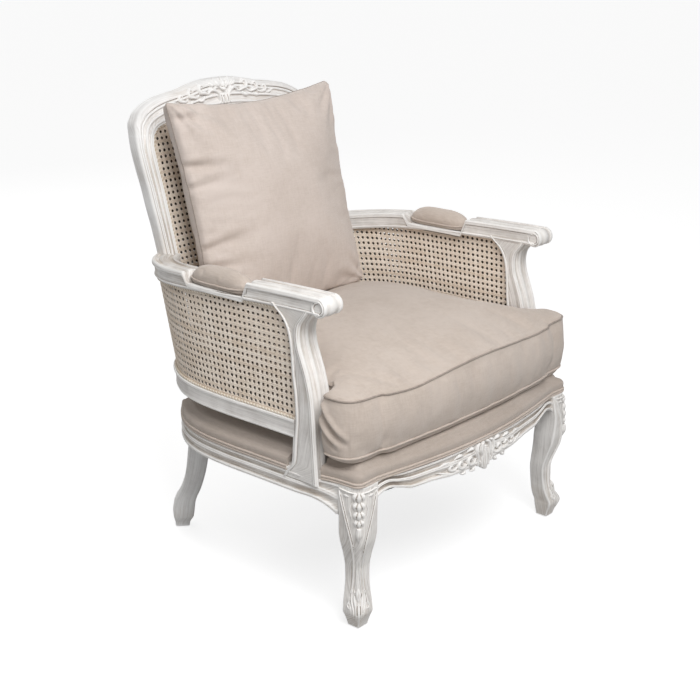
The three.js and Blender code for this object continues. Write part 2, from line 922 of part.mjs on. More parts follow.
/** Value of a list of pairs at a place, eased from one pair to the next. */
function easedAt(pairs, place) {
  const next = pairs.findIndex(([at]) => at > place);
  if (next === -1) return pairs[pairs.length - 1][1];
  const [fromAt, from] = pairs[Math.max(next - 1, 0)];
  const [toAt, to] = pairs[next];
  return THREE.MathUtils.lerp(from, to, THREE.MathUtils.smoothstep(place, fromAt, toAt));
}

const frontRailHalf = frontLegX - frontLegSide / 2;

/** Places across the front rail, from one leg to the other. */
function frontRailStops() {
  return Array.from(
    { length: frontRailSteps + 1 },
    (_, at) => frontRailHalf * ((2 * at) / frontRailSteps - 1),
  );
}

/** Face of the front rail, measured forwards from the middle of the chair. */
function frontRailFace(x) {
  const share = Math.min(Math.abs(x) / frontRailHalf, 1);
  return frontRailForward + frontRailBow * Math.cos((share * Math.PI) / 2);
}

/** Section of a seat rail as inset and height, above its lower edge. */
function railSection(edge, grow = 0) {
  const low = edge - grow;
  return [
    [railBead, low],
    [0, low + railBead],
    [0, low + 2 * railBead],
    [railCove, low + 3 * railBead],
    [railCove, showWood - 2 * railBead],
    [0, showWood - railBead],
    [0, showWood],
    [rabbet, showWood],
    [rabbet, railTop + grow],
    [railThickness + grow, railTop + grow],
    [railThickness + grow, low],
  ];
}

/** Serpentine front rail. */
function frontSeatRail(grow = 0) {
  const rings = [-frontLegX, ...frontRailStops(), frontLegX].map((x) => {
    const edge = easedAt(frontRailEdgeShares, Math.abs(x) / frontRailHalf);
    return railSection(railBottom + frontRailArch * edge, grow).map(
      ([inset, height]) => new THREE.Vector3(x, inset - frontRailFace(x), height),
    );
  });
  const bar = solidOf(loft(rings));
  return grow > 0 ? bar : cutBy(bar, [frontLeg(left, fit), frontLeg(right, fit)]);
}

/** Outer line of the seat on the right side in plan, set in by a distance. */
function seatSideLine(inset) {
  const outer = sideStepList(0).map((step) => sideOutline(step, railBottom));
  outer.unshift(new THREE.Vector2(halfWidth, -frontLegY));
  for (const point of outer) {
    const drawn = 1 - THREE.MathUtils.smoothstep(point.y, -frontLegY, seatDrawLength - frontLegY);
    point.x -= seatDrawIn * drawn;
  }
  return outer.map((point, at) => {
    const before = outer[Math.max(at - 1, 0)];
    const ahead = outer[Math.min(at + 1, outer.length - 1)].clone().sub(before).normalize();
    return new THREE.Vector2(point.x - inset * ahead.y, point.y + inset * ahead.x);
  });
}

/** Curved side rail of the seat. */
function sideSeatRail(side, grow = 0) {
  const section = railSection(railBottom, grow);
  const lines = section.map(([inset]) => seatSideLine(inset));
  const rings = lines[0].map((_, at) =>
    section.map(([, height], corner) => {
      const point = lines[corner][at];
      return new THREE.Vector3(side * point.x, point.y, height);
    }),
  );
  const bar = solidOf(loft(rings));
  return grow > 0 ? bar : cutBy(bar, [frontLeg(side, fit), backPost(side, fit)]);
}

/** Straight rear rail of the seat. */
function rearSeatRail(grow = 0) {
  const rings = [left, right].map((side) =>
    railSection(railBottom, grow).map(
      ([inset, height]) => new THREE.Vector3(side * postMiddleX, frameRear - inset, height),
    ),
  );
  const bar = solidOf(loft(rings));
  return grow > 0 ? bar : cutBy(bar, [backPost(left, fit), backPost(right, fit)]);
}

/** Outline of the seat in plan, from the left front corner anticlockwise. */
function seatOutline() {
  const front = frontRailStops().map((x) => new THREE.Vector2(x, -frontRailFace(x)));
  const corner = new THREE.Vector2(frontLegX + frontLegSide / 2, -frontLegY - frontLegSide / 2);
  const side = [corner, ...seatSideLine(0)];
  const mirrored = side.map((point) => new THREE.Vector2(-point.x, point.y)).reverse();
  return [...front, ...side, ...mirrored];
}

/** Height between the top and the bottom of the seat rails. */
const railMiddle = (railBottom + railTop) / 2;

/** Inner face of a corner block in plan, from the cross rail to the side rail. */
function blockFace(side, atFront) {
  const y = atFront ? -frontRailForward - frontRailBow : frameRear;
  const across = atFront ? frontBlockAcross : rearBlockAcross;
  const along = atFront ? frontBlockAlong : -rearBlockAlong;
  const height = railTop - blockDrop - blockHeight / 2;
  return new THREE.Line3(
    new THREE.Vector3(side * (halfWidth - across), y, height),
    new THREE.Vector3(side * halfWidth, y + along, height),
  );
}

/** Glued and screwed block inside a corner of the seat, cut to fit its neighbours. */
function cornerBlock(side, atFront) {
  const face = blockFace(side, atFront);
  const corner = new THREE.Vector3(face.end.x, face.start.y, face.start.z);
  const rings = [-1, 1].map((way) =>
    [corner, face.start, face.end].map((point) =>
      point.clone().add(new THREE.Vector3(0, 0, (way * blockHeight) / 2)),
    ),
  );
  const crossRail = atFront ? frontSeatRail(fit) : rearSeatRail(fit);
  const post = atFront ? frontLeg(side, fit) : backPost(side, fit);
  const block = solidOf(loft(rings)).intersect(seatArea(railBottom, railTop, railThickness / 2));
  return cutBy(block, [crossRail, post, sideSeatRail(side, fit), blockScrew(side, atFront, fit)]);
}

/** The plan of the seat between two heights, set in by a distance. */
function seatArea(low, high, inset) {
  return solidOf(loft(planRings(seatOutline(), [[low, inset], [high, inset]])));
}

/** Solid of revolution about a line, from a profile of radius and distance along the line. */
function turned(profile, start, direction, sides) {
  const points = profile.map(([radius, along]) => new THREE.Vector2(radius, along));
  const geometry = mergeVertices(bareCopy(new THREE.LatheGeometry(points, sides)), weld);
  const aim = new THREE.Quaternion().setFromUnitVectors(new THREE.Vector3(0, 1, 0), direction);
  geometry.applyQuaternion(aim).translate(start.x, start.y, start.z);
  return solidOf(facingOut(geometry));
}

/** A geometry with nothing but its places and its triangles. */
function bareCopy(geometry) {
  const bare = new THREE.BufferGeometry();
  bare.setAttribute("position", geometry.getAttribute("position"));
  bare.setIndex(geometry.index);
  return bare;
}

/** Screw that holds a corner block to its leg or post. */
function blockScrew(side, atFront, grow = 0) {
  const face = blockFace(side, atFront);
  const post = atFront
    ? new THREE.Vector3(side * frontLegX, -frontLegY, face.start.z)
    : new THREE.Vector3(side * postMiddleX, postMiddleY, face.start.z);
  const start = face.closestPointToPoint(post, true, new THREE.Vector3());
  const direction = post.clone().sub(start).normalize();
  const shaft = screwRadius + grow;
  const head = screwHeadRadius + grow;
  const profile = [
    [0, -grow],
    [head, -grow],
    [shaft, screwHeadHeight + grow],
    [shaft, screwLength - screwHeadHeight],
    [0, screwLength + grow],
  ];
  return turned(profile, start, direction, screwSides);
}

/** Nail-on glide under a foot. */
function glide(x, y, grow = 0) {
  const pin = glidePinRadius + grow;
  const profile = [
    [0, 0],
    [glideRadius, 0],
    [glideRadius, glideHeight],
    [pin, glideHeight],
    [pin, glideHeight + glidePinLength + grow],
    [0, glideHeight + glidePinLength + grow],
  ];
  return turned(profile, new THREE.Vector3(x, y, 0), new THREE.Vector3(0, 0, 1), glideSides);
}

/** Tenon along a direction, rooted behind its base, with its width across the direction. */
function tenon(base, direction, widthAxis, width, grow = 0) {
  const length = tenonLength + tenonRoot + 2 * grow;
  const geometry = new THREE.BoxGeometry(length, width + 2 * grow, tenonThickness + 2 * grow);
  const along = direction.clone().normalize();
  const across = widthAxis.clone().addScaledVector(along, -widthAxis.dot(along)).normalize();
  const basis = new THREE.Matrix4().makeBasis(along, across, along.clone().cross(across));
  geometry.applyMatrix4(basis);
  const middle = base.clone().addScaledVector(along, (tenonLength - tenonRoot) / 2);
  return solidOf(geometry.translate(middle.x, middle.y, middle.z));
}

const upwards = new THREE.Vector3(0, 0, 1);
const forwards = new THREE.Vector3(0, -1, 0);

/** Tenon at one end of the front rail. */
function frontRailTenon(side, grow = 0) {
  const y = railThickness / 2 - frontRailForward;
  const base = new THREE.Vector3(side * (frontRailHalf - fit), y, railMiddle);
  return tenon(base, new THREE.Vector3(side, 0, 0), upwards, tenonWidth, grow);
}

/** Tenon at one end of the rear rail. */
function rearRailTenon(side, grow = 0) {
  const x = seatRearHalf - postSeatWidth - fit;
  const base = new THREE.Vector3(side * x, frameRear - railThickness / 2, railMiddle);
  return tenon(base, new THREE.Vector3(side, 0, 0), upwards, tenonWidth, grow);
}

/** Tenon at the front end of a side rail. */
function sideRailTenon(side, grow = 0) {
  const x = frontLegX + frontLegSide / 2 - tenonWall - tenonThickness / 2;
  const base = new THREE.Vector3(side * x, frontLegSide / 2 - frontLegY + fit, railMiddle);
  return tenon(base, forwards, upwards, tenonWidth, grow);
}

/** Tenon at the rear end of a piece that follows one side. */
function sideEndTenon(side, height, inset, width, grow = 0) {
  const base = onSide(side, rearTenonShare, height, inset);
  const direction = onSide(side, 1, height, inset).sub(base);
  return tenon(base, direction, upwards, width, grow);
}

/** Tenons that run from the rear end of each side piece into the back post. */
function backPostTenons(side, grow = 0) {
  return {
    seatRail: sideEndTenon(side, railMiddle, railThickness / 2, tenonWidth, grow),
    lowerRail: sideEndTenon(side, lowerRailMiddle, lowerRailWidth / 2, smallTenonWidth, grow),
    armRail: sideEndTenon(side, armBottom(1) + armThickness / 2, armWidth / 2, smallTenonWidth, grow),
  };
}

const lowerRailMiddle = (lowerRailBottom + lowerRailTop) / 2;

/** Tenon at the front end of a lower rail, in the arm post. */
function lowerRailTenon(side, grow = 0) {
  const x = halfWidth - lowerRailWidth / 2;
  const y = sideFront * postRearShares[1][1] + fit;
  return tenon(new THREE.Vector3(side * x, y, lowerRailMiddle), forwards, upwards, smallTenonWidth, grow);
}

/** Tenon at the top of an arm post. */
function postTopTenon(side, grow = 0) {
  const y = (sideFront * (postFrontShares[1][1] + postRearShares[4][1])) / 2;
  const base = new THREE.Vector3(side * (halfWidth - armWidth / 2), y, armBottom(0) - postBevel);
  return tenon(base, upwards, forwards, smallTenonWidth, grow);
}

/** Tenon at the foot of an arm post. */
function postFootTenon(side, grow = 0) {
  const x = halfWidth - (rabbet + railThickness) / 2;
  const y = (sideFront * (postFrontShares[postFrontShares.length - 1][1] + postRearShares[0][1])) / 2;
  const downwards = upwards.clone().negate();
  return tenon(new THREE.Vector3(side * x, y, railTop + fit), downwards, forwards, tenonWidth, grow);
}

/** Tenon at one end of the crest rail. */
function crestTenon(side, grow = 0) {
  const [outer, wayUp, inner] = crestShares[0];
  const x = (backOuterHalf * (outer + inner)) / 2;
  const base = onBack(side * x, backHeight(wayUp) + fit, backDepth / 2);
  const down = new THREE.Vector3(0, -backLeanShare, -1);
  return tenon(base, down, new THREE.Vector3(1, 0, 0), smallTenonWidth, grow);
}

/** Tenon at one end of the lower rail of the back. */
function backRailTenon(side, grow = 0) {
  const base = onBack(side * (backInnerHalf - fit), lowerRailMiddle, backDepth / 2);
  return tenon(base, new THREE.Vector3(side, 0, 0), upwards, smallTenonWidth, grow);
}

// Seat upholstery

/** Lattice of interlaced straps that lie on the seat rails. */
function webbing() {
  const low = railTop + fit;
  const high = low + strapThickness;
  const reach = halfWidth + overrun;
  const depth = frameRear + frontRailForward;
  const straps = [];
  for (let at = 0; at < strapsAcross; at++) {
    const y = -frontRailForward + (depth * (at + 0.7)) / (strapsAcross + 0.4);
    straps.push(
      boxSolid(
        new THREE.Vector3(-reach, y - strapWidth / 2, low),
        new THREE.Vector3(reach, y + strapWidth / 2, high),
      ),
    );
  }
  for (let at = 0; at < strapsAlong; at++) {
    const x = 2 * seatRearHalf * ((at + 0.5) / strapsAlong - 0.5);
    straps.push(
      boxSolid(
        new THREE.Vector3(x - strapWidth / 2, -reach, low),
        new THREE.Vector3(x + strapWidth / 2, reach, high),
      ),
    );
  }
  return clearOfPosts(joined(straps).intersect(seatArea(railBottom, deckTop, strapSeatInset)));
}

/** Cuts the four posts, with their clearance, out of a piece that lies round them. */
function clearOfPosts(solid) {
  return cutBy(solid, [left, right].flatMap((side) => [armPost(side, fit), backPost(side, fit)]));
}

/** Tight seat: a stuffed top with a skirt that covers the upper part of the rails. */
function seatDeck() {
  const weltHeight = 2 * weltRadius;
  const outline = seatOutline();
  const outer = planRings(outline, [
    [showWood + fit, weltRadius + fit],
    [showWood + weltHeight, weltRadius + fit],
    [showWood + weltHeight + weltRadius, fit],
    [deckEdgeTop, fit],
    [deckTop, deckShoulder],
  ]);
  const under = railTop + strapThickness + 2 * fit;
  const hollow = seatArea(showWood - overrun, under, rabbet - fit);
  return clearOfPosts(cutBy(solidOf(loft(outer)), [hollow, frontLeg(left, fit), frontLeg(right, fit)]));
}

/** Double welting along the foot of the skirt, from one back post round the front to the other. */
function seatWelting() {
  const path = seatOutline();
  const rear = path.length - seatSideLine(0).length - 1;
  const open = [...path.slice(rear), ...path.slice(0, rear)];
  const inward = offsetOutline(open, -weltRadius);
  return clearOfPosts(solidOf(loft(open.map((point, at) => weltRing(point, inward[at])))));
}

/** Section of the double welting between an outer and an inner point of the plan. */
function weltRing(outer, inner) {
  return weltShares.map(([inset, upward]) => {
    const point = outer.clone().lerp(inner, inset);
    const height = showWood + fit + upward * 2 * (weltRadius - fit);
    return new THREE.Vector3(point.x, point.y, height);
  });
}

/** The same welting across the back of the seat. */
function rearWelting() {
  const half = seatRearHalf - postSeatWidth - fit;
  const rings = [left, right].map((side) =>
    weltRing(
      new THREE.Vector2(side * half, frameRear),
      new THREE.Vector2(side * half, frameRear - weltRadius),
    ),
  );
  return solidOf(loft(rings));
}

/** Cloth under the seat that keeps the dust in; it ends behind the front rail. */
function dustCover() {
  const high = railBottom - fit;
  const low = high - dustCoverThickness;
  const reach = halfWidth + overrun;
  const band = [-reach, ...frontRailStops(), reach].map((x) => {
    const inner = railThickness + fit - frontRailFace(x);
    return [
      new THREE.Vector3(x, inner, low - overrun),
      new THREE.Vector3(x, inner, high + overrun),
      new THREE.Vector3(x, inner - 2 * railThickness, high + overrun),
      new THREE.Vector3(x, inner - 2 * railThickness, low - overrun),
    ];
  });
  const posts = [left, right].flatMap((side) => [frontLeg(side, fit), backPost(side, fit)]);
  return cutBy(seatArea(low, high, strapSeatInset), [...posts, solidOf(loft(band))]);
}

// Cushions

const zipMiddle = (cushionLowSeam + cushionHighSeam) / 2;

/** Begins half an outline of the cushion: its bowed front, from the middle to a half width. */
function cushionFrontPath(half, setback) {
  const place = (x) => {
    const bow = cushionFrontBow * Math.cos(((x / cushionEarHalf) * Math.PI) / 2);
    return new THREE.Vector2(x, setback - cushionFront - bow);
  };
  const path = new THREE.Path();
  path.moveTo(0, place(0).y);
  path.splineThru(cushionFrontStops.map((share) => place(half * share)));
  return path;
}

/** Whole outline from its right half, which runs from the middle of the front to the rear. */
function mirroredOutline(path) {
  const half = path.getPoints(cushionCurveSteps);
  const mirrored = half.slice(1).map((point) => new THREE.Vector2(-point.x, point.y));
  return [...half, ...mirrored.reverse()];
}

/** Outline of the bar of the T, which lies in front of the arm posts. */
function cushionBarOutline() {
  const corner = cushionEarHalf - cushionCorner;
  const rearCorner = cushionEarHalf - cushionEarCorner;
  const path = cushionFrontPath(corner, 0);
  path.lineTo(corner, -cushionFront);
  path.quadraticCurveTo(cushionEarHalf, -cushionFront, cushionEarHalf, cushionCorner - cushionFront);
  path.lineTo(cushionEarHalf, cushionEarRear - cushionEarCorner);
  path.quadraticCurveTo(cushionEarHalf, cushionEarRear, rearCorner, cushionEarRear);
  return mirroredOutline(path);
}

/** Outline of the body of the T, which lies between the arms. */
function cushionBodyOutline() {
  const path = cushionFrontPath(cushionBodyHalf, cushionBodySetback);
  path.lineTo(cushionBodyHalf, cushionBodySetback - cushionFront);
  const [first, ...rear] = cushionRearShares.map(
    ([across, along]) => new THREE.Vector2(cushionBodyHalf * across, cushionRear * along),
  );
  path.lineTo(first.x, first.y);
  path.splineThru(rear);
  path.lineTo(cushionBodyHalf * cushionRearFlatShare, cushionRear);
  return mirroredOutline(path);
}

/** Boxed sides of the cushion over an outline, with piping at both seams, grown or shrunk. */
function boxedRings(outline, grow) {
  const low = deckTop + fit - grow;
  const piping = (seam) => [
    [seam - pipingRadius, -grow],
    [seam, -grow - pipingRadius],
  ];
  return planRings(outline, [
    [low, cushionRelief - grow],
    [low + cushionRelief / 4, cushionRelief / 4 - grow],
    ...(grow < 0 ? [] : piping(cushionLowSeam)),
    [cushionLowSeam + pipingRadius, -grow],
    [zipMiddle, -grow - cushionBulge],
    ...(grow < 0 ? [] : piping(cushionHighSeam)),
    [cushionHighSeam + pipingRadius + grow, -grow],
  ]);
}

/** T-shaped seat cushion with a crowned top, grown or shrunk. */
function seatCushion(grow = 0) {
  const top = cushionHighSeam + pipingRadius + grow;
  const bar = cushionBarOutline();
  const barRings = [
    ...boxedRings(bar, grow),
    ...planRings(bar, [
      [top + cushionEdgeRise / 2, cushionEdgeRise / 3 - grow],
      [top + cushionEdgeRise, cushionEdgeRise - grow],
    ]),
  ];
  const body = cushionBodyOutline();
  const rim = offsetOutline(body, grow);
  const middle = new THREE.Vector2(0, cushionMiddleY);
  const shares = grow < 0 ? cushionInnerShares : cushionRingShares;
  const crown = shares.map((share) => {
    const height = top + (cushionCrown - pipingRadius) * (1 - share ** cushionCrownPower);
    return rim.map((point) => {
      const inward = middle.clone().lerp(point, share);
      return new THREE.Vector3(inward.x, inward.y, height);
    });
  });
  return solidOf(loft(barRings)).add(solidOf(loft([...boxedRings(body, grow), ...crown])));
}

const cushionRearFace = cushionRear + cushionBulge;

/** Cover of the seat cushion with the slit that its zip closes. */
function cushionCover() {
  const slit = boxSolid(
    new THREE.Vector3(-zipLength / 2, cushionRearFace - coverThickness - fit, zipMiddle - zipHeight / 2),
    new THREE.Vector3(zipLength / 2, cushionRearFace + overrun, zipMiddle + zipHeight / 2),
  );
  return cutBy(seatCushion(), [seatCushion(-coverThickness), slit]);
}

/** Tape, teeth and slider that close the slit of the seat cushion. */
function cushionZip() {
  const tape = boxSolid(
    new THREE.Vector3(fit - zipLength / 2, cushionRearFace - coverThickness, zipMiddle - zipHeight / 2 + fit),
    new THREE.Vector3(zipLength / 2 - fit, cushionRearFace, zipMiddle + zipHeight / 2 - fit),
  );
  const head = zipLength / 2 - zipHeadLength;
  const slider = boxSolid(
    new THREE.Vector3(head - zipHeadLength, cushionRearFace - coverThickness / 2, zipMiddle - zipHeight / 3),
    new THREE.Vector3(head, cushionRearFace + coverThickness / 2, zipMiddle + zipHeight / 3),
  );
  return tape.add(slider);
}

/** Outline of the pillow in its own plane: a straight foot, and sides that pull in. */
function pillowOutline() {
  const perSide = pillowSides / 4;
  const corners = [
    [-1, -1],
    [1, -1],
    [1, 1],
    [-1, 1],
  ].map(([across, upward]) => new THREE.Vector2((across * pillowWidth) / 2, (upward * pillowHeight) / 2));
  const points = [];
  corners.forEach((corner, at) => {
    const next = corners[(at + 1) % corners.length];
    const inward = next.clone().sub(corner).rotateAround(new THREE.Vector2(), Math.PI / 2).normalize();
    for (let step = 0; step < perSide; step++) {
      const share = step / perSide;
      const drawn = at === 0 ? 0 : pillowDrawIn * Math.sin(share * Math.PI) ** pillowDrawPower;
      points.push(corner.clone().lerp(next, share).addScaledVector(inward, drawn));
    }
  });
  return points;
}

/** Moves a shape from the pillow's own plane to its place against the back. */
function placePillow(geometry) {
  geometry.translate(0, 0, pillowHeight / 2).rotateX(-Math.atan(backLeanShare));
  return solidOf(geometry.translate(0, pillowFootY, pillowFootZ));
}

/** Pillow with a seam all round, grown by a distance and set in at its seam. */
function backPillow(grow = 0, seamInset = 0) {
  const outline = offsetOutline(pillowOutline(), -seamInset);
  const ring = (share, swell) =>
    outline.map((point) => {
      const rounded = point.clone().setLength(pillowWidth / 2).lerp(point, share).multiplyScalar(share);
      return new THREE.Vector3(rounded.x, -swell, rounded.y);
    });
  const swellAt = (share) => (1 - share ** 2) ** pillowSwellPower;
  const shares = grow < 0 ? pillowInnerShares : pillowRingShares;
  const rings = [
    ...shares.map((share) => ring(share, -(pillowRearSwell + grow) * swellAt(share))).reverse(),
    ring(1, -pillowEdge / 2),
    ring(1, pillowEdge / 2),
    ...shares.map((share) => ring(share, (pillowFrontSwell + grow) * swellAt(share))),
  ];
  return placePillow(loft(rings)).intersect(frontOfBack(-grow));
}

/** Everything in front of the back frame, less a further gap. */
function frontOfBack(gap) {
  const near = backDepth + 2 * fit + gap;
  const rings = [left, right].map((side) =>
    [
      [leanStart, near],
      [leanStart + totalHeight, near],
      [leanStart + totalHeight, totalHeight],
      [leanStart, totalHeight],
    ].map(([height, depth]) => onBack(side * halfWidth, height, depth)),
  );
  return solidOf(loft(rings));
}

/** Slit in the lower seam of the pillow, or with a shrink the tape that fills it. */
function pillowSlit(shrink) {
  const length = zipLength - 2 * shrink;
  const thickness = pillowEdge / 2 - 2 * shrink;
  const geometry = new THREE.BoxGeometry(length, thickness, 3 * pillowSeamDepth);
  return placePillow(geometry.translate(0, 0, -pillowHeight / 2));
}

/** Cover of the pillow, standing on the seat cushion. */
function pillowCover() {
  return cutBy(backPillow(), [
    backPillow(-coverThickness, pillowSeamDepth),
    pillowSlit(0),
    seatCushion(fit),
  ]);
}

/** Filling of the pillow. */
function pillowFilling() {
  return backPillow(-coverThickness - fit, pillowSeamDepth + fit);
}

/** Zip in the lower seam of the pillow. */
function pillowZip() {
  const tape = pillowSlit(fit).intersect(backPillow());
  return cutBy(tape, [backPillow(-coverThickness, pillowSeamDepth), seatCushion(fit)]);
}

// Finished pieces: each shape with its tenons, and with the holes that take its neighbours

/** Front leg with its mortises. */
function frontLegPiece(side) {
  const [, , reach] = frontLegShares[0];
  return cutBy(frontLeg(side), [
    frontRailTenon(side, fit),
    sideRailTenon(side, fit),
    blockScrew(side, true, fit),
    glide(side * frontLegX * reach, -frontLegY * reach, fit),
  ]);
}

/** Back post with its mortises. */
function backPostPiece(side) {
  return cutBy(backPost(side), [
    rearRailTenon(side, fit),
    ...Object.values(backPostTenons(side, fit)),
    crestTenon(side, fit),
    backRailTenon(side, fit),
    blockScrew(side, false, fit),
    glide(side * (postMiddleX + rearFootOut), postMiddleY + rearFootBack, fit),
  ]);
}

/** Side rail of the seat with a tenon at each end and the mortise of the arm post. */
function sideRailPiece(side) {
  const rail = joined([sideSeatRail(side), sideRailTenon(side), backPostTenons(side).seatRail]);
  return rail.subtract(postFootTenon(side, fit));
}

/** Arm with its scrolls, the bed of its pad, and its joints. */
function armRailPiece(side) {
  const innerFace = side * (halfWidth - armWidth);
  const bed = sidePlate(padBedOutline(), side * (halfWidth + overrun), innerFace - side * overrun);
  const arm = cutBy(armRail(side), [
    bed,
    scrollGroove(side * halfWidth, -side),
    scrollGroove(innerFace, side),
    backPost(side, fit),
    postTopTenon(side, fit),
  ]);
  return arm.add(backPostTenons(side).armRail);
}

/** Arm post with a tenon at each end and the mortise of the lower rail. */
function armPostPiece(side) {
  const post = armPost(side).subtract(armRail(side, fit));
  return joined([post, postTopTenon(side), postFootTenon(side)]).subtract(lowerRailTenon(side, fit));
}

/** Lower rail of a caned side with a tenon at each end. */
function lowerRailPiece(side) {
  const rail = cutBy(lowerRail(side), [armPost(side, fit), backPost(side, fit)]);
  return joined([rail, lowerRailTenon(side), backPostTenons(side).lowerRail]);
}

const finishes = {
  paintedWood: { color: 0xe6e1d8, roughness: 0.6, metalness: 0 },
  cane: { color: 0xc9a56f, roughness: 0.55, metalness: 0 },
  linen: { color: 0xcbbfb3, roughness: 0.9, metalness: 0 },
  foam: { color: 0xefe6c4, roughness: 0.95, metalness: 0 },
  jute: { color: 0x9c8058, roughness: 0.95, metalness: 0 },
  blackCloth: { color: 0x26252a, roughness: 0.95, metalness: 0 },
  bareWood: { color: 0xb98f60, roughness: 0.7, metalness: 0 },
  steel: { color: 0x9fa3a8, roughness: 0.35, metalness: 1 },
  zip: { color: 0x9a8f84, roughness: 0.5, metalness: 0 },
};

const chair = new THREE.Group();
chair.name = "bergere_chair";

/** Adds one named piece to the chair. */
function add(name, finish, solid) {
  const mesh = new THREE.Mesh(geometryOf(solid), new THREE.MeshStandardMaterial(finishes[finish]));
  mesh.name = name;
  chair.add(mesh);
}

add("crest_rail", "paintedWood", joined([crestRail(), crestTenon(left), crestTenon(right)]));
add("back_bottom_rail", "paintedWood", joined([backBottomRail(), backRailTenon(left), backRailTenon(right)]));
add("front_seat_rail", "paintedWood", joined([frontSeatRail(), frontRailTenon(left), frontRailTenon(right)]));
add("rear_seat_rail", "paintedWood", joined([rearSeatRail(), rearRailTenon(left), rearRailTenon(right)]));

const frontCaneDepth = backCaneInset + caneThickness + backCaneGap;
add("back_cane_rear", "cane", backCane(backCaneInset));
add("back_cane_front", "cane", backCane(frontCaneDepth));
add("back_binder_rear", "cane", backBinder(backCaneInset - fit - binderThickness));
add("back_binder_front", "cane", backBinder(frontCaneDepth + caneThickness + fit));

const innerCaneInset = caneInset + caneThickness + caneGap;
for (const [prefix, side] of [["left", left], ["right", right]]) {
  add(`${prefix}_back_post`, "paintedWood", backPostPiece(side));
  add(`${prefix}_front_leg`, "paintedWood", frontLegPiece(side));
  add(`${prefix}_side_rail`, "paintedWood", sideRailPiece(side));
  add(`${prefix}_arm_rail`, "paintedWood", armRailPiece(side));
  add(`${prefix}_arm_post`, "paintedWood", armPostPiece(side));
  add(`${prefix}_lower_rail`, "paintedWood", lowerRailPiece(side));
  add(`${prefix}_arm_pad`, "linen", armPad(side));
  add(`${prefix}_cane_outer`, "cane", sideCane(side, caneInset));
  add(`${prefix}_cane_inner`, "cane", sideCane(side, innerCaneInset));
  add(`${prefix}_cane_binder`, "cane", sideBinder(side, caneInset - fit - binderThickness));
  for (const [place, atFront] of [["front", true], ["rear", false]]) {
    add(`${prefix}_${place}_block`, "bareWood", cornerBlock(side, atFront));
    add(`${prefix}_${place}_screw`, "steel", blockScrew(side, atFront));
  }
  const [, , reach] = frontLegShares[0];
  add(`${prefix}_front_glide`, "steel", glide(side * frontLegX * reach, -frontLegY * reach));
  add(`${prefix}_rear_glide`, "steel", glide(side * (postMiddleX + rearFootOut), postMiddleY + rearFootBack));
}

add("seat_webbing", "jute", webbing());
add("seat_deck", "linen", seatDeck());
add("seat_welting", "linen", seatWelting());
add("rear_welting", "linen", rearWelting());
add("dust_cover", "blackCloth", dustCover());
add("seat_cushion_cover", "linen", cushionCover());
add("seat_cushion_foam", "foam", seatCushion(-coverThickness - fit));
add("seat_cushion_zip", "zip", cushionZip());
add("back_pillow_cover", "linen", pillowCover());
add("back_pillow_filling", "foam", pillowFilling());
add("back_pillow_zip", "zip", pillowZip());

// The chair stands with the middle of its plan on the origin
const bounds = new THREE.Box3().setFromObject(chair);
const middleY = (bounds.min.y + bounds.max.y) / 2;
for (const piece of chair.children) piece.geometry.translate(0, -middleY, 0);

export default chair;
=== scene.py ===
"""The looks of a bergère armchair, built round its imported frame.

Lengths are in metres. The chair faces -Y, +Z is up and the floor is z = 0.
Left and right are those of someone who stands in front of the chair, so left is -X.
"""

import logging
import math
from dataclasses import dataclass, field, replace
from enum import Enum
from typing import Any, Callable, Iterable, Sequence

import bmesh
import bpy
import numpy as np
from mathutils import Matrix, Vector
from mathutils.bvhtree import BVHTree


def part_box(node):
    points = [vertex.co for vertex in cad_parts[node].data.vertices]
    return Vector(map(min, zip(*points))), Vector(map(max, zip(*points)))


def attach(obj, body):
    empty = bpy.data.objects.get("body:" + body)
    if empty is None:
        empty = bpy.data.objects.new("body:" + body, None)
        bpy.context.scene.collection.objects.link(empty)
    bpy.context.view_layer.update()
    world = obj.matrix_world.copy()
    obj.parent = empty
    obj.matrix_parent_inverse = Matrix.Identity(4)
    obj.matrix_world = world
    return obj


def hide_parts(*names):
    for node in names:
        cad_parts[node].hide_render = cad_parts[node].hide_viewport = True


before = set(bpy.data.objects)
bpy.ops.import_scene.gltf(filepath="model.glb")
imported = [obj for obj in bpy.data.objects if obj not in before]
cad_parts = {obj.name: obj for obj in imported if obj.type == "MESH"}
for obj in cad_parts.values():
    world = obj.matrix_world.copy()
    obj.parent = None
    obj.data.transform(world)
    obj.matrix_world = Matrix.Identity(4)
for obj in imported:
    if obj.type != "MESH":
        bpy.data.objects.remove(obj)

log = logging.getLogger("chair")

FRONT_RAIL_REACH = 0.388  # how far the front rail stands before the middle of the CAD drawing
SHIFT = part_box("front_seat_rail")[0].y + FRONT_RAIL_REACH


Lay = Callable[[np.ndarray, np.ndarray, np.ndarray], np.ndarray]  # puts a flat pattern on a surface


class Side(Enum):
    """One side of the chair."""

    LEFT = -1
    RIGHT = 1

    @property
    def prefix(self) -> str:
        """First word of the names of the pieces on this side."""
        return self.name.lower()


# Lines and tables


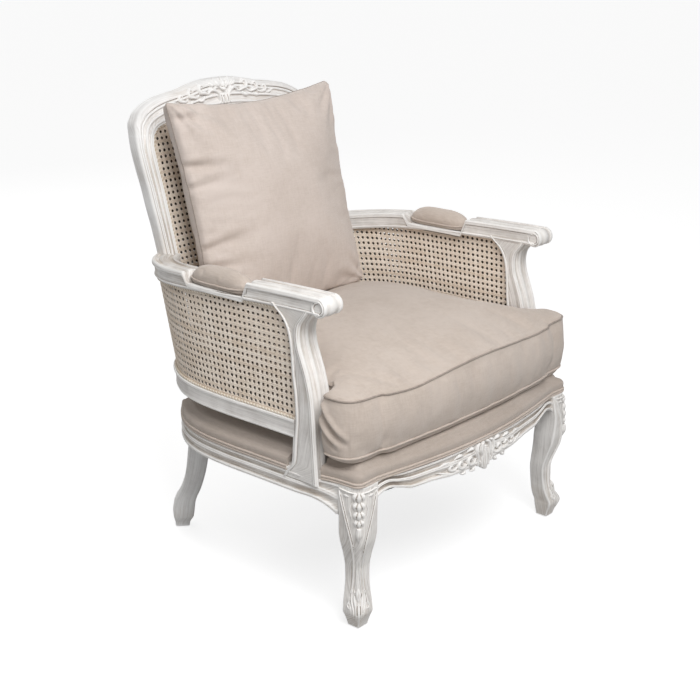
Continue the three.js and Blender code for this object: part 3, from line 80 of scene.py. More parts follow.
def table_at(rows: Sequence[Sequence[float]], places: np.ndarray) -> np.ndarray:
    """Reads a table between its rows along smooth curves that don't overshoot.

    Args:
        rows: Rows of numbers; the first of each row is its place.
        places: Where the table is read.

    Returns:
        The other numbers of the rows, one row for each place.
    """
    table = np.array(sorted(rows), float)
    at, values = table[:, 0], table[:, 1:]
    gaps = np.diff(at)
    slopes = np.diff(values, axis=0) / gaps[:, None]
    tangents = np.zeros_like(values)
    tangents[0], tangents[-1] = slopes[0], slopes[-1]
    before, after = slopes[:-1], slopes[1:]
    total = np.where(np.abs(before + after) < 1e-12, 1.0, before + after)
    tangents[1:-1] = np.where(before * after > 0, 2 * before * after / total, 0.0)
    places = np.asarray(places, float)
    row = np.clip(np.searchsorted(at, places, "right") - 1, 0, len(at) - 2)
    t = np.clip((places - at[row]) / gaps[row], 0, 1)[:, None]
    gap = gaps[row][:, None]
    start = (2 * t**3 - 3 * t**2 + 1) * values[row] + (t**3 - 2 * t**2 + t) * gap * tangents[row]
    return start + (3 * t**2 - 2 * t**3) * values[row + 1] + (t**3 - t**2) * gap * tangents[row + 1]


def curve_through(points: Sequence[Sequence[float]], count: int, closed: bool = False) -> np.ndarray:
    """Samples a smooth curve through points.

    Args:
        points: The points that the curve passes, in order.
        count: How many samples are made, even in length.
        closed: Whether the curve comes back to its first point.

    Returns:
        The samples as an array of points.
    """
    keys = np.array(points, float)
    if closed:
        padded = np.vstack([keys[-1], keys, keys[:2]])
    else:
        padded = np.vstack([2 * keys[0] - keys[1], keys, 2 * keys[-1] - keys[-2]])
    fine = []
    for a, b, c, d in zip(padded, padded[1:], padded[2:], padded[3:]):
        t = np.linspace(0, 1, 16, endpoint=False)[:, None]
        fine.append(0.5 * (2 * b + (c - a) * t + (2 * a - 5 * b + 4 * c - d) * t**2
                           + (3 * b - a - 3 * c + d) * t**3))
    line = np.vstack([*fine, keys[0] if closed else keys[-1]])
    return even_line(line, count, closed)


def even_line(line: np.ndarray, count: int, closed: bool = False) -> np.ndarray:
    """Samples a polyline evenly in length.

    Args:
        line: Points of the polyline; a closed one ends where it starts.
        count: How many samples are made.
        closed: Whether the last sample is left out because it is the first.

    Returns:
        The samples as an array of points.
    """
    lengths = np.concatenate([[0], np.cumsum(np.linalg.norm(np.diff(line, axis=0), axis=1))])
    at = np.linspace(0, lengths[-1], count, endpoint=not closed)
    return np.stack([np.interp(at, lengths, line[:, axis]) for axis in range(line.shape[1])], axis=1)


def runs_of(picked: np.ndarray) -> Iterable[tuple[int, int]]:
    """Finds the unbroken runs in a line of places.

    Args:
        picked: Whether each place is picked.

    Returns:
        The first place of each run and the place after its last.
    """
    edges = np.flatnonzero(np.diff(np.concatenate([[False], picked, [False]]).astype(int)))
    return zip(edges[::2], edges[1::2])


def smoothstep(low: float, high: float, value: Any) -> Any:
    """Eases from 0 at a low value to 1 at a high one."""
    t = np.clip((value - low) / (high - low), 0, 1)
    return t * t * (3 - 2 * t)


def unit(vectors: np.ndarray) -> np.ndarray:
    """Vectors scaled to length 1."""
    return vectors / np.maximum(np.linalg.norm(vectors, axis=-1, keepdims=True), 1e-12)


def moulded(stops: Sequence[tuple[float, float, float]], fineness: int = 6) -> np.ndarray:
    """Draws a closed moulding section out of lines and arcs.

    Args:
        stops: Corner points as two coordinates, each with how far the line that leads to
            it swells out to its right.
        fineness: How many steps an arc has.

    Returns:
        Points of the section in order.
    """
    points: list[np.ndarray] = []
    before = np.array(stops[-1][:2], float)
    for x, y, swell in stops:
        here = np.array([x, y], float)
        along = here - before
        steps = fineness if swell else 1
        out = unit(np.array([along[1], -along[0]])[None])[0]
        for step in range(1, steps + 1):
            share = step / steps
            points.append(before + along * share + out * swell * 4 * share * (1 - share))
        before = here
    return np.array(points)


@dataclass(frozen=True)
class ChairPlan:
    """The lines that the frame of the chair follows, the same as those of its solids."""

    half_width: float = 0.387
    lean_start: float = 0.345
    lean: float = 0.255
    frame_rear: float = 0.2496
    side_front: float = -0.27
    seat_rear_half: float = 0.262
    arm_rear_half: float = 0.268
    arm_height: float = 0.66
    arm_front_top: float = 0.684
    arm_rear_top: float = 0.648
    arm_thickness: float = 0.036
    arm_drop_power: float = 1.7
    tangent_step: float = 0.01
    sweep_shares: tuple[tuple[float, float], ...] = (
        (1, 0), (1, 0.29), (1, 0.52), (0.96, 0.65), (0.85, 0.76), (0.63, 0.86), (0.35, 0.94), (0, 1),
    )

    def sweep(self, steps: np.ndarray) -> np.ndarray:
        """Shares of the half width and of the depth at steps along the side.

        Args:
            steps: Places along the side, from 0 at its front to 1 at the back.

        Returns:
            Share of the half width and of the depth at each step.
        """
        keys = np.array(self.sweep_shares, float)
        keys = np.vstack([2 * keys[0] - keys[1], keys, 2 * keys[-1] - keys[-2]])
        spans = len(self.sweep_shares) - 1
        steps = np.clip(np.atleast_1d(steps), 0, 1) * spans
        span = np.minimum(steps.astype(int), spans - 1)
        return self._between(*(keys[span + at] for at in range(4)), (steps - span)[:, None])

    @staticmethod
    def _between(a: np.ndarray, b: np.ndarray, c: np.ndarray, d: np.ndarray, t: np.ndarray) -> np.ndarray:
        """Points of the centripetal curve between its middle two points.

        Args:
            a: Points before the span.
            b: Points where it starts.
            c: Points where it ends.
            d: Points after it.
            t: Shares of the span.

        Returns:
            A point of the curve for each share.
        """
        gaps = [np.sqrt(np.linalg.norm(q - p, axis=1, keepdims=True)) for p, q in ((a, b), (b, c), (c, d))]
        first, second, third = gaps
        leave = ((b - a) / first - (c - a) / (first + second) + (c - b) / second) * second
        reach = ((c - b) / second - (d - b) / (second + third) + (d - c) / third) * second
        return (b + leave * t + (-3 * b + 3 * c - 2 * leave - reach) * t**2
                + (2 * b - 2 * c + leave + reach) * t**3)

    def back_rear(self, height: Any) -> Any:
        """Rear face of the back frame at a height."""
        return self.frame_rear + self.lean * np.maximum(0, np.asarray(height) - self.lean_start) + SHIFT

    def on_back(self, x: Any, height: Any, depth: Any) -> np.ndarray:
        """Points of the leaning back: across, height, and depth from its rear face."""
        x, height, depth = np.broadcast_arrays(x, height, depth)
        return np.stack([x, self.back_rear(height) - depth, height], axis=-1)

    def outline(self, steps: np.ndarray, height: Any) -> np.ndarray:
        """Outer face of the right side in plan, at steps and heights.

        Args:
            steps: Places along the side, from 0 to 1.
            height: Heights.

        Returns:
            Points in plan.
        """
        rise = np.maximum(0, np.asarray(height) - self.lean_start)
        spread = (self.arm_rear_half - self.seat_rear_half) / (self.arm_height - self.lean_start)
        rear_half = self.seat_rear_half + spread * rise
        shares = self.sweep(steps)
        front = self.side_front + SHIFT
        x = rear_half + (self.half_width - rear_half) * shares[:, 0]
        y = front + (self.back_rear(height) - front) * shares[:, 1]
        return np.stack(np.broadcast_arrays(x, y), axis=-1)

    def on_side(self, side: Side, steps: Any, height: Any, inset: Any) -> np.ndarray:
        """Points of one side: along its sweep, at heights, and inwards from its outer face.

        Args:
            side: Left or right.
            steps: Places along the side, from 0 to 1.
            height: Heights.
            inset: Distances inwards.

        Returns:
            Points in chair coordinates.
        """
        steps = np.atleast_1d(np.asarray(steps, float))
        here = self.outline(steps, height)
        ahead = self.outline(steps + self.tangent_step, height)
        way = unit(ahead - self.outline(steps - self.tangent_step, height))
        x = here[:, 0] - inset * way[:, 1]
        y = here[:, 1] + inset * way[:, 0]
        return np.stack(np.broadcast_arrays(side.value * x, y, height), axis=-1)

    def arm_top(self, steps: Any) -> np.ndarray:
        """Top of the arm along the sweep of the side."""
        share = np.clip(self.sweep(np.atleast_1d(steps))[:, 1], 0, 1)
        return self.arm_rear_top + (self.arm_front_top - self.arm_rear_top) * (1 - share**self.arm_drop_power)


PLAN = ChairPlan()


# Meshes


@dataclass
class Shape:
    """Points, faces and per-point values of a mesh in the making."""

    points: np.ndarray
    faces: list[tuple[int, ...]]
    values: dict[str, np.ndarray] = field(default_factory=dict)

    @staticmethod
    def lofted(rings: np.ndarray, loop: bool = False, caps: bool = True, along: bool = True) -> "Shape":
        """A skin through rings of points.

        Args:
            rings: Array of rings, points and coordinates.
            loop: Whether the last ring joins the first.
            caps: Whether the two ends are closed.
            along: Whether the distances along and around the skin are kept for its grain.

        Returns:
            The shape.
        """
        count, size = rings.shape[:2]
        here = np.arange(count if loop else count - 1)[:, None] * size
        step = np.arange(size)
        ahead, beside = (here + size) % (count * size), (step + 1) % size
        corners = np.stack([here + step, here + beside, ahead + beside, ahead + step], axis=-1)
        faces = [tuple(face) for face in corners.reshape(-1, 4).tolist()]
        if caps and not loop:
            faces.append(tuple(reversed(range(size))))
            faces.append(tuple((count - 1) * size + step for step in range(size)))
        shape = Shape(rings.reshape(-1, 3), faces)
        if along:
            middle = rings.mean(axis=1)
            length = np.concatenate([[0], np.cumsum(np.linalg.norm(np.diff(middle, axis=0), axis=1))])
            round_steps = np.linalg.norm(np.diff(rings, axis=1, prepend=rings[:, -1:]), axis=2)
            shape.values["along"] = np.repeat(length, size)
            shape.values["around"] = np.cumsum(round_steps, axis=1).reshape(-1)
        return shape

    @staticmethod
    def tube(path: np.ndarray, radius: float, sides: int = 8, closed: bool = False) -> "Shape":
        """A round tube along a path.

        Args:
            path: Points of the path.
            radius: Radius of the tube.
            sides: How many sides it has.
            closed: Whether the path comes back to its start.

        Returns:
            The shape.
        """
        if closed:
            way = unit(np.roll(path, -1, axis=0) - np.roll(path, 1, axis=0))
        else:
            way = unit(np.gradient(path, axis=0))
        up = np.empty_like(path)
        guide = np.array([0.0, 0.0, 1.0]) if abs(way[0][2]) < 0.9 else np.array([1.0, 0.0, 0.0])
        for at, direction in enumerate(way):
            guide = guide - direction * guide.dot(direction)
            guide = guide / np.linalg.norm(guide)
            up[at] = guide
        up = unit(up - way * np.sum(up * way, axis=1, keepdims=True))
        across = np.cross(way, up)
        turns = np.arange(sides) / sides * 2 * math.pi
        rings = path[:, None] + radius * (np.cos(turns)[None, :, None] * across[:, None]
                                          + np.sin(turns)[None, :, None] * up[:, None])
        return Shape.lofted(rings, loop=closed)

    @staticmethod
    def joined(shapes: Iterable["Shape"]) -> "Shape":
        """Several shapes as one.

        Args:
            shapes: The shapes.

        Returns:
            One shape that holds them all.
        """
        shapes = list(shapes)
        names = set().union(*(shape.values for shape in shapes))
        faces: list[tuple[int, ...]] = []
        start = 0
        for shape in shapes:
            faces.extend(tuple(corner + start for corner in face) for face in shape.faces)
            start += len(shape.points)
        values = {
            name: np.concatenate([shape.values.get(name, np.zeros(len(shape.points))) for shape in shapes])
            for name in names
        }
        return Shape(np.vstack([shape.points for shape in shapes]), faces, values)

    def mirrored(self) -> "Shape":
        """The same shape on the other side of the chair."""
        faces = [tuple(reversed(face)) for face in self.faces]
        return Shape(self.points * np.array([-1, 1, 1]), faces, dict(self.values))

    def on(self, side: Side) -> "Shape":
        """This shape of the right side on either side of the chair."""
        return self.mirrored() if side is Side.LEFT else self

    def mesh(self, name: str) -> bpy.types.Mesh:
        """A Blender mesh of this shape, with its faces turned outwards.

        Args:
            name: Name of the mesh.

        Returns:
            The mesh, with the values stored at its points.
        """
        mesh = bpy.data.meshes.new(name)
        mesh.from_pydata(self.points.tolist(), [], self.faces)
        work = bmesh.new()
        work.from_mesh(mesh)
        bmesh.ops.recalc_face_normals(work, faces=work.faces)
        work.to_mesh(mesh)
        work.free()
        for key, numbers in self.values.items():
            layer = mesh.attributes.new(key, "FLOAT", "POINT")
            layer.data.foreach_set("value", np.asarray(numbers, np.float32))
        return mesh


def positions(mesh: bpy.types.Mesh) -> np.ndarray:
    """Places of the points of a mesh.

    Args:
        mesh: The mesh.

    Returns:
        One row for each point.
    """
    found = np.empty(len(mesh.vertices) * 3)
    mesh.vertices.foreach_get("co", found)
    return found.reshape(-1, 3)


def normals(mesh: bpy.types.Mesh) -> np.ndarray:
    """Directions in which a mesh faces at its points.

    Args:
        mesh: The mesh.

    Returns:
        One row for each point.
    """
    found = np.empty(len(mesh.vertices) * 3)
    mesh.vertices.foreach_get("normal", found)
    return found.reshape(-1, 3)


def move_points(mesh: bpy.types.Mesh, places: np.ndarray) -> None:
    """Puts the points of a mesh at new places."""
    mesh.vertices.foreach_set("co", places.astype(np.float32).reshape(-1))


def edge_ends(mesh: bpy.types.Mesh) -> tuple[np.ndarray, np.ndarray]:
    """Finds the points that the edges of a mesh join.

    Args:
        mesh: The mesh.

    Returns:
        The numbers of the first and of the second point of each edge.
    """
    ends = np.empty(len(mesh.edges) * 2, np.int64)
    mesh.edges.foreach_get("vertices", ends)
    first, second = ends.reshape(-1, 2).T
    return first, second


def mark_hollows(mesh: bpy.types.Mesh, passes: int = 2) -> None:
    """Stores how hollow a mesh is at each point: above 0 in grooves, below 0 on edges.

    Args:
        mesh: The mesh that gets the values under the name hollow.
        passes: How many times the values are evened out with their neighbours.
    """
    first, second = edge_ends(mesh)
    places, facing = positions(mesh), normals(mesh)
    gap = places[second] - places[first]
    square = np.maximum(np.sum(gap**2, axis=1), 1e-9)
    count = np.zeros(len(places))
    np.add.at(count, first, 1)
    np.add.at(count, second, 1)
    hollow = np.zeros(len(places))
    np.add.at(hollow, first, np.sum(gap * facing[first], axis=1) / square)
    np.add.at(hollow, second, -np.sum(gap * facing[second], axis=1) / square)
    hollow /= np.maximum(count, 1)
    for _ in range(passes):
        total = np.zeros(len(places))
        np.add.at(total, first, hollow[second])
        np.add.at(total, second, hollow[first])
        hollow = 0.5 * hollow + 0.5 * total / np.maximum(count, 1)
    layer = mesh.attributes.new("hollow", "FLOAT", "POINT")
    layer.data.foreach_set("value", hollow.astype(np.float32))


def linked(name: str, data: Any) -> bpy.types.Object:
    """Adds an object to the scene.

    Args:
        name: Name of the object.
        data: Its mesh, camera or light.

    Returns:
        The object.
    """
    made = bpy.data.objects.new(name, data)
    bpy.context.scene.collection.objects.link(made)
    return made


def show(name: str, mesh: bpy.types.Mesh, finish: "Finish", body: str = "frame",
         replaces: Sequence[str] = (), crease: float = 50.0) -> bpy.types.Object:
    """Puts a finished mesh on the chair.

    Args:
        name: Name of the piece.
        mesh: Its mesh, in the frame of the chair.
        finish: What it is finished with.
        body: The body of the frame that carries it.
        replaces: Nodes of the frame that it stands for.
        crease: Angle in degrees from which an edge is shaded sharp.

    Returns:
        The new object.
    """
    mesh.shade_smooth()
    mesh.set_sharp_from_angle(angle=math.radians(crease))
    piece = linked(name, mesh)
    finish.dress(piece)
    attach(piece, body)
    if replaces:
        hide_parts(*replaces)
    log.info("%s: %d faces", name, len(mesh.polygons))
    return piece


def refined(mesh: bpy.types.Mesh, add: Callable[[bpy.types.Object], None]) -> bpy.types.Mesh:
    """Runs modifiers over a mesh and returns the result as a mesh of its own.

    Args:
        mesh: The mesh to start from.
        add: Adds the modifiers to an object that holds the mesh.

    Returns:
        The new mesh.
    """
    holder = linked("holder", mesh)
    add(holder)
    graph = bpy.context.evaluated_depsgraph_get()
    made = bpy.data.meshes.new_from_object(holder.evaluated_get(graph), depsgraph=graph)
    bpy.data.objects.remove(holder)
    return made


def regridded(mesh: bpy.types.Mesh, voxel: float) -> bpy.types.Mesh:
    """Joins the parts of a closed mesh into one skin of even facets.

    Args:
        mesh: The mesh to start from.
        voxel: Size of the facets.

    Returns:
        The new mesh.
    """
    def add(piece: bpy.types.Object) -> None:
        """Adds the grid of facets."""
        grid = piece.modifiers.new("grid", "REMESH")
        grid.mode, grid.voxel_size = "VOXEL", voxel

    return refined(mesh, add)


# Finishes


class Value:
    """A number that changes over a surface, which Python expressions can work with."""

    def __init__(self, shop: "NodeShop", socket: bpy.types.NodeSocket) -> None:
        """Wraps a socket of a node tree."""
        self.shop = shop
        self.socket = socket

    def _maths(self, operation: str, *others: Any) -> "Value":
        """Adds a Math node that works on this value and others."""
        node = self.shop.node("ShaderNodeMath", {"operation": operation}, dict(enumerate([self, *others])))
        return Value(self.shop, node.outputs[0])

    def __add__(self, other: Any) -> "Value":
        """This value plus another."""
        return self._maths("ADD", other)

    __radd__ = __add__

    def __mul__(self, other: Any) -> "Value":
        """This value times another."""
        return self._maths("MULTIPLY", other)

    __rmul__ = __mul__

    def __sub__(self, other: Any) -> "Value":
        """This value less another."""
        return self._maths("SUBTRACT", other)

    def __rsub__(self, other: float) -> "Value":
        """A number less this value."""
        return self._maths("MULTIPLY", -1.0) + other

    def between(self, low: float, high: float) -> "Value":
        """Eases this value from 0 at a low end to 1 at a high end.

        Args:
            low: Value that gives 0.
            high: Value that gives 1.

        Returns:
            The eased value.
        """
        settings = {"interpolation_type": "SMOOTHSTEP"}
        node = self.shop.node("ShaderNodeMapRange", settings, {0: self, 1: low, 2: high})
        return Value(self.shop, node.outputs[0])

    def most(self, other: Any) -> "Value":
        """The larger of this value and another."""
        return self._maths("MAXIMUM", other)

    def sine(self) -> "Value":
        """Sine of this value."""
        return self._maths("SINE")

    def size(self) -> "Value":
        """This value without its sign."""
        return self._maths("ABSOLUTE")


class NodeShop:
    """Makes the nodes of one material or of the surroundings."""

    def __init__(self, owner: bpy.types.Material | bpy.types.World) -> None:
        """Starts with an empty tree.

        Args:
            owner: What the nodes belong to.
        """
        self.owner = owner
        owner.use_nodes = True
        self.tree = owner.node_tree
        self.tree.nodes.clear()

    def node(self, kind: str, settings: dict[str, Any] | None = None,
             sockets: dict[Any, Any] | None = None) -> bpy.types.Node:
        """Adds one node.

        Args:
            kind: Type of the node.
            settings: Properties that are set first; stops is the list of a ramp's stops.
            sockets: Numbers, colours, values or sockets for its inputs by name or number.

        Returns:
            The node.
        """
        node = self.tree.nodes.new(kind)
        for key, setting in (settings or {}).items():
            if key == "stops":
                while len(node.color_ramp.elements) < len(setting):
                    node.color_ramp.elements.new(1.0)
                for element, (place, colour) in zip(node.color_ramp.elements, setting):
                    element.position = place
                    element.color = (*colour, 1.0)
            else:
                setattr(node, key, setting)
        for key, given in (sockets or {}).items():
            source = given.socket if isinstance(given, Value) else given
            if isinstance(source, bpy.types.NodeSocket):
                self.tree.links.new(source, node.inputs[key])
            else:
                node.inputs[key].default_value = source
        return node

    def end_with(self, shader: bpy.types.Node) -> None:
        """Leads a shader to the output of the tree."""
        kind = "World" if isinstance(self.owner, bpy.types.World) else "Material"
        self.node(f"ShaderNodeOutput{kind}", sockets={"Surface": shader.outputs[0]})

    def attribute(self, name: str) -> Value:
        """A value that the mesh stores at its points."""
        return Value(self, self.node("ShaderNodeAttribute", {"attribute_name": name}).outputs["Fac"])

    def place(self) -> bpy.types.NodeSocket:
        """The place on the piece, in metres."""
        return self.node("ShaderNodeTexCoord").outputs["Object"]

    def stretched(self, scale: tuple[float, float, float]) -> bpy.types.NodeSocket:
        """The place scaled along each axis."""
        sockets = {0: self.place(), 1: scale}
        return self.node("ShaderNodeVectorMath", {"operation": "MULTIPLY"}, sockets).outputs[0]

    def combined(self, x: Any, y: Any) -> bpy.types.NodeSocket:
        """A vector out of two values."""
        return self.node("ShaderNodeCombineXYZ", sockets={0: x, 1: y}).outputs[0]

    def parted(self, vector: bpy.types.NodeSocket) -> list[Value]:
        """The three values of a vector."""
        return [Value(self, part) for part in self.node("ShaderNodeSeparateXYZ", sockets={0: vector}).outputs]

    def noise(self, vector: bpy.types.NodeSocket, scale: float, detail: float = 3.0,
              roughness: float = 0.55) -> Value:
        """Noise between 0 and 1."""
        sockets = {"Vector": vector, "Scale": scale, "Detail": detail, "Roughness": roughness}
        return Value(self, self.node("ShaderNodeTexNoise", sockets=sockets).outputs[0])

    def mixed(self, share: Any, first: Any, second: Any) -> bpy.types.NodeSocket:
        """A colour between two colours.

        Args:
            share: Share of the second colour.
            first: First colour.
            second: Second colour.

        Returns:
            The mixed colour.
        """
        first = (*first, 1.0) if isinstance(first, tuple) else first
        second = (*second, 1.0) if isinstance(second, tuple) else second
        return self.node("ShaderNodeMix", {"data_type": "RGBA"}, {0: share, 6: first, 7: second}).outputs[2]

    def bump(self, height: Value, distance: float, strength: float = 1.0,
             before: bpy.types.NodeSocket | None = None) -> bpy.types.NodeSocket:
        """A bumped normal, on top of another where one is given.

        Args:
            height: Height of the relief.
            distance: What a height of 1 stands for, in metres.
            strength: How strongly it shows.
            before: Normal that it is laid over.

        Returns:
            The bumped normal.
        """
        sockets = {"Height": height, "Distance": distance, "Strength": strength}
        if before is not None:
            sockets["Normal"] = before
        return self.node("ShaderNodeBump", sockets=sockets).outputs[0]

    def finish(self, colour: Any, roughness: Any, normal: bpy.types.NodeSocket,
               **plain: float) -> bpy.types.Material:
        """Leads the values of a finish to a shader and to the output.

        Args:
            colour: Socket that gives the base colour.
            roughness: Roughness or the value that gives it.
            normal: Socket of the bumped normal.
            plain: Numbers for other sockets, with _ in place of a space.

        Returns:
            The finished material.
        """
        inputs = {"Base Color": colour, "Roughness": roughness, "Normal": normal}
        inputs.update({key.replace("_", " "): number for key, number in plain.items()})
        self.end_with(self.node("ShaderNodeBsdfPrincipled", sockets=inputs))
        return self.owner


class Finish:
    """A finish that pieces share: one material and the slot of the record that it belongs to."""

    slot: str = ""

    def material(self) -> bpy.types.Material:
        """The material, made the first time that it is asked for."""
        name = type(self).__name__
        return bpy.data.materials.get(name) or self.make(NodeShop(bpy.data.materials.new(name)))

    def make(self, shop: NodeShop) -> bpy.types.Material:
        """Builds the nodes of the material."""
        raise NotImplementedError

    def dress(self, piece: bpy.types.Object) -> None:
        """Gives a new piece this finish.

        Args:
            piece: The piece.
        """
        piece.data.materials.clear()
        piece.data.materials.append(self.material())

    def dress_node(self, node: str) -> None:
        """Gives a node of the frame this finish.

        Args:
            node: Name of the node.
        """
        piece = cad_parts[node]
        piece.data.materials.clear()
        piece.data.materials.append(self.material())


@dataclass(frozen=True)
class Whitewash(Finish):
    """Wood washed white over a tan ground and tan in its grooves, with painted shade in its deepest hollows
    and lighter edges that are part wear and part painted highlight.
    """

    slot: str = "painted_wood"
    white: tuple[float, float, float] = (0.86, 0.835, 0.805)
    grey: tuple[float, float, float] = (0.60, 0.57, 0.545)
    tan: tuple[float, float, float] = (0.50, 0.405, 0.31)
    # dark is the painted shade of the deepest hollows; edge is the colour of the lighter edges, part wear and
    # part painted highlight.
    dark: tuple[float, float, float] = (0.15, 0.12, 0.10)
    edge: tuple[float, float, float] = (0.88, 0.865, 0.845)
    grained: bool = True

    def grain_place(self, shop: NodeShop) -> bpy.types.NodeSocket:
        """Coordinates that run along the grain.

        Args:
            shop: Maker of the nodes.

        Returns:
            The coordinates.
        """
        if self.grained:
            return shop.combined(shop.attribute("along") * 9.0, shop.attribute("around") * 260.0)
        return shop.stretched((120.0, 120.0, 30.0))

    def make(self, shop: NodeShop) -> bpy.types.Material:
        """Builds the washed and rubbed wood, with painted shade in its deepest hollows and a part-painted
        highlight on its edges.

        Args:
            shop: Maker of the nodes.

        Returns:
            The finished material.
        """
        grain = shop.noise(self.grain_place(shop), 1.0, 4.0, 0.6)
        cloud = shop.noise(shop.place(), 16.0, 4.0, 0.6)
        fleck = shop.noise(shop.place(), 210.0, 2.0, 0.6)
        hollow = shop.attribute("hollow")
        streak = (grain * 0.55 + cloud * 0.45).between(0.38, 0.66)
        groove = (hollow * 0.016 + (grain - 0.5) * 1.2 + (cloud - 0.5) * 0.8).between(0.12, 1.15)
        # deep marks painted shade in the deepest hollows; edge lightens the edges, part wear and part painted
        # highlight.
        deep = (hollow * 0.020 + (fleck - 0.5) * 0.5).between(0.75, 1.7)
        edge = (hollow * -0.014 + (fleck - 0.5) * 0.5).between(0.20, 0.85)
        colour = shop.mixed(streak, self.white, self.grey)
        colour = shop.mixed((grain * 0.6 + fleck * 0.4).between(0.58, 0.72) * 0.45, colour, self.tan)
        patch = shop.noise(shop.place(), 7.0, 3.0, 0.55)
        colour = shop.mixed((patch * 0.7 + grain * 0.3).between(0.50, 0.68) * 0.38, colour, self.tan)
        colour = shop.mixed(groove * 0.58, colour, self.tan)
        # Painted shade in the deepest hollows, then the lighter edges, part wear and part painted highlight.
        colour = shop.mixed(deep * 0.80, colour, self.dark)
        colour = shop.mixed(edge * 0.80, colour, self.edge)
        height = grain * 0.7 + fleck * 0.3
        normal = shop.bump(height, 0.0006, 0.55)
        return shop.finish(colour, 0.48 + 0.22 * streak, normal, IOR=1.45)


@dataclass(frozen=True)
class LitWhitewash(Whitewash):
    """The same wash in paler colours on the back, as painted light where more light falls on the back."""

    # Paler than the plain wash: painted light where more light falls on the back.
    white: tuple[float, float, float] = (0.91, 0.90, 0.885)
    grey: tuple[float, float, float] = (0.72, 0.70, 0.685)
    tan: tuple[float, float, float] = (0.64, 0.55, 0.46)
    dark: tuple[float, float, float] = (0.30, 0.26, 0.23)
    edge: tuple[float, float, float] = (0.93, 0.925, 0.915)


@dataclass(frozen=True)
class LitCarved(LitWhitewash):
    """The paler wash of the back on carving, with the same painted light."""

    grained: bool = False


@dataclass(frozen=True)
class CarvedWhitewash(Whitewash):
    """The same wash on carving, where the wood has no one direction of grain."""

    grained: bool = False


@dataclass(frozen=True)
class SplitCane(Finish):
    """Strands of split cane, each of a tone of its own."""

    slot: str = "cane"
    light: tuple[float, float, float] = (0.89, 0.795, 0.695)
    deep: tuple[float, float, float] = (0.75, 0.635, 0.52)

    def make(self, shop: NodeShop) -> bpy.types.Material:
        """Builds the fibrous, slightly glossy skin of the cane.

        Args:
            shop: Maker of the nodes.

        Returns:
            The finished material.
        """
        tone = shop.attribute("tone")
        way = shop.combined(shop.attribute("along") * 30.0, shop.attribute("around") * 1500.0)
        fibre = shop.noise(way, 1.0)
        cloud = shop.noise(shop.place(), 22.0)
        colour = shop.mixed((tone * 0.5 + cloud * 0.5).between(0.30, 0.78), self.light, self.deep)
        colour = shop.mixed(fibre.between(0.5, 0.8) * 0.3, colour, self.deep)
        normal = shop.bump(fibre, 0.0002, 0.4)
        return shop.finish(colour, 0.52 + 0.2 * fibre, normal, Specular_IOR_Level=0.35)


@dataclass(frozen=True)
class ShadedCaneRear(SplitCane):
    """The rear face of the cane, painted dark as painted shade in the hollow between the two sheets."""

    light: tuple[float, float, float] = (0.11, 0.075, 0.045)
    deep: tuple[float, float, float] = (0.055, 0.036, 0.022)


@dataclass(frozen=True)
class Binder(SplitCane):
    """The pale twisted border of the cane."""

    slot: str = "binder"
    light: tuple[float, float, float] = (0.84, 0.78, 0.69)
    deep: tuple[float, float, float] = (0.58, 0.46, 0.33)


@dataclass(frozen=True)
class Linen(Finish):
    """Plain woven upholstery cloth, washed beige."""

    slot: str = "linen"
    colour: tuple[float, float, float] = (0.612, 0.528, 0.465)
    shade: tuple[float, float, float] = (0.54, 0.455, 0.39)
    threads: float = 1150.0

    def weave(self, shop: NodeShop) -> Value:
        """Height of the threads, drawn on each side of the piece in the plane that it faces.

        Args:
            shop: Maker of the nodes.

        Returns:
            The height, from 0 to 1.
        """
        lines = [(part * (self.threads * math.pi)).sine().size() for part in shop.parted(shop.place())]
        x, y, z = (part.size() for part in shop.parted(shop.node("ShaderNodeNewGeometry").outputs["Normal"]))
        return (lines[1] * lines[2]) * x + (lines[0] * lines[2]) * y + (lines[0] * lines[1]) * z

    def make(self, shop: NodeShop) -> bpy.types.Material:
        """Builds the weave with its slubs, its soft sheen and painted shade in its hollows.

        Args:
            shop: Maker of the nodes.

        Returns:
            The finished material.
        """
        weave = self.weave(shop)
        slub = shop.noise(shop.stretched((60.0, 60.0, 420.0)), 1.0, 2.0) * 0.5
        slub = slub + shop.noise(shop.stretched((420.0, 60.0, 60.0)), 1.0, 2.0) * 0.5
        cloud = shop.noise(shop.place(), 9.0, 3.0)
        colour = shop.mixed((slub * 0.6 + cloud * 0.4).between(0.38, 0.66), self.colour, self.shade)
        # Painted shade: the cloth is darkened in its hollows and creases, where shade falls.
        hollow = (shop.attribute("hollow") * 0.006).between(0.1, 1.0)
        colour = shop.mixed(hollow * 0.45, colour, (0.30, 0.24, 0.20))
        fold = shop.noise(shop.place(), 26.0, 3.0)
        normal = shop.bump(fold, 0.004, 0.18)
        normal = shop.bump(weave * 0.7 + slub * 0.3, 0.0004, 0.6, normal)
        gloss = {"Sheen_Weight": 0.25, "Sheen_Roughness": 0.5, "Specular_IOR_Level": 0.25}
        return shop.finish(colour, 0.86, normal, **gloss)


@dataclass(frozen=True)
class LitPillowLinen(Linen):
    """The cloth of the pillow, painted a little paler as painted light where more light falls on the pillow.
    """

    colour: tuple[float, float, float] = (0.700, 0.610, 0.555)
    shade: tuple[float, float, float] = (0.625, 0.535, 0.475)


@dataclass(frozen=True)
class ShadedDeckLinen(Linen):
    """The cloth of the tight seat, a little deeper, partly as a tan cloth and partly as painted shade under
    the cushion.
    """

    colour: tuple[float, float, float] = (0.500, 0.430, 0.378)
    shade: tuple[float, float, float] = (0.440, 0.372, 0.320)


@dataclass(frozen=True)
class ShadedPiping(Linen):
    """The cloth of the piping, painted darker as painted shade along the seams."""

    colour: tuple[float, float, float] = (0.40, 0.335, 0.29)
    shade: tuple[float, float, float] = (0.29, 0.24, 0.205)


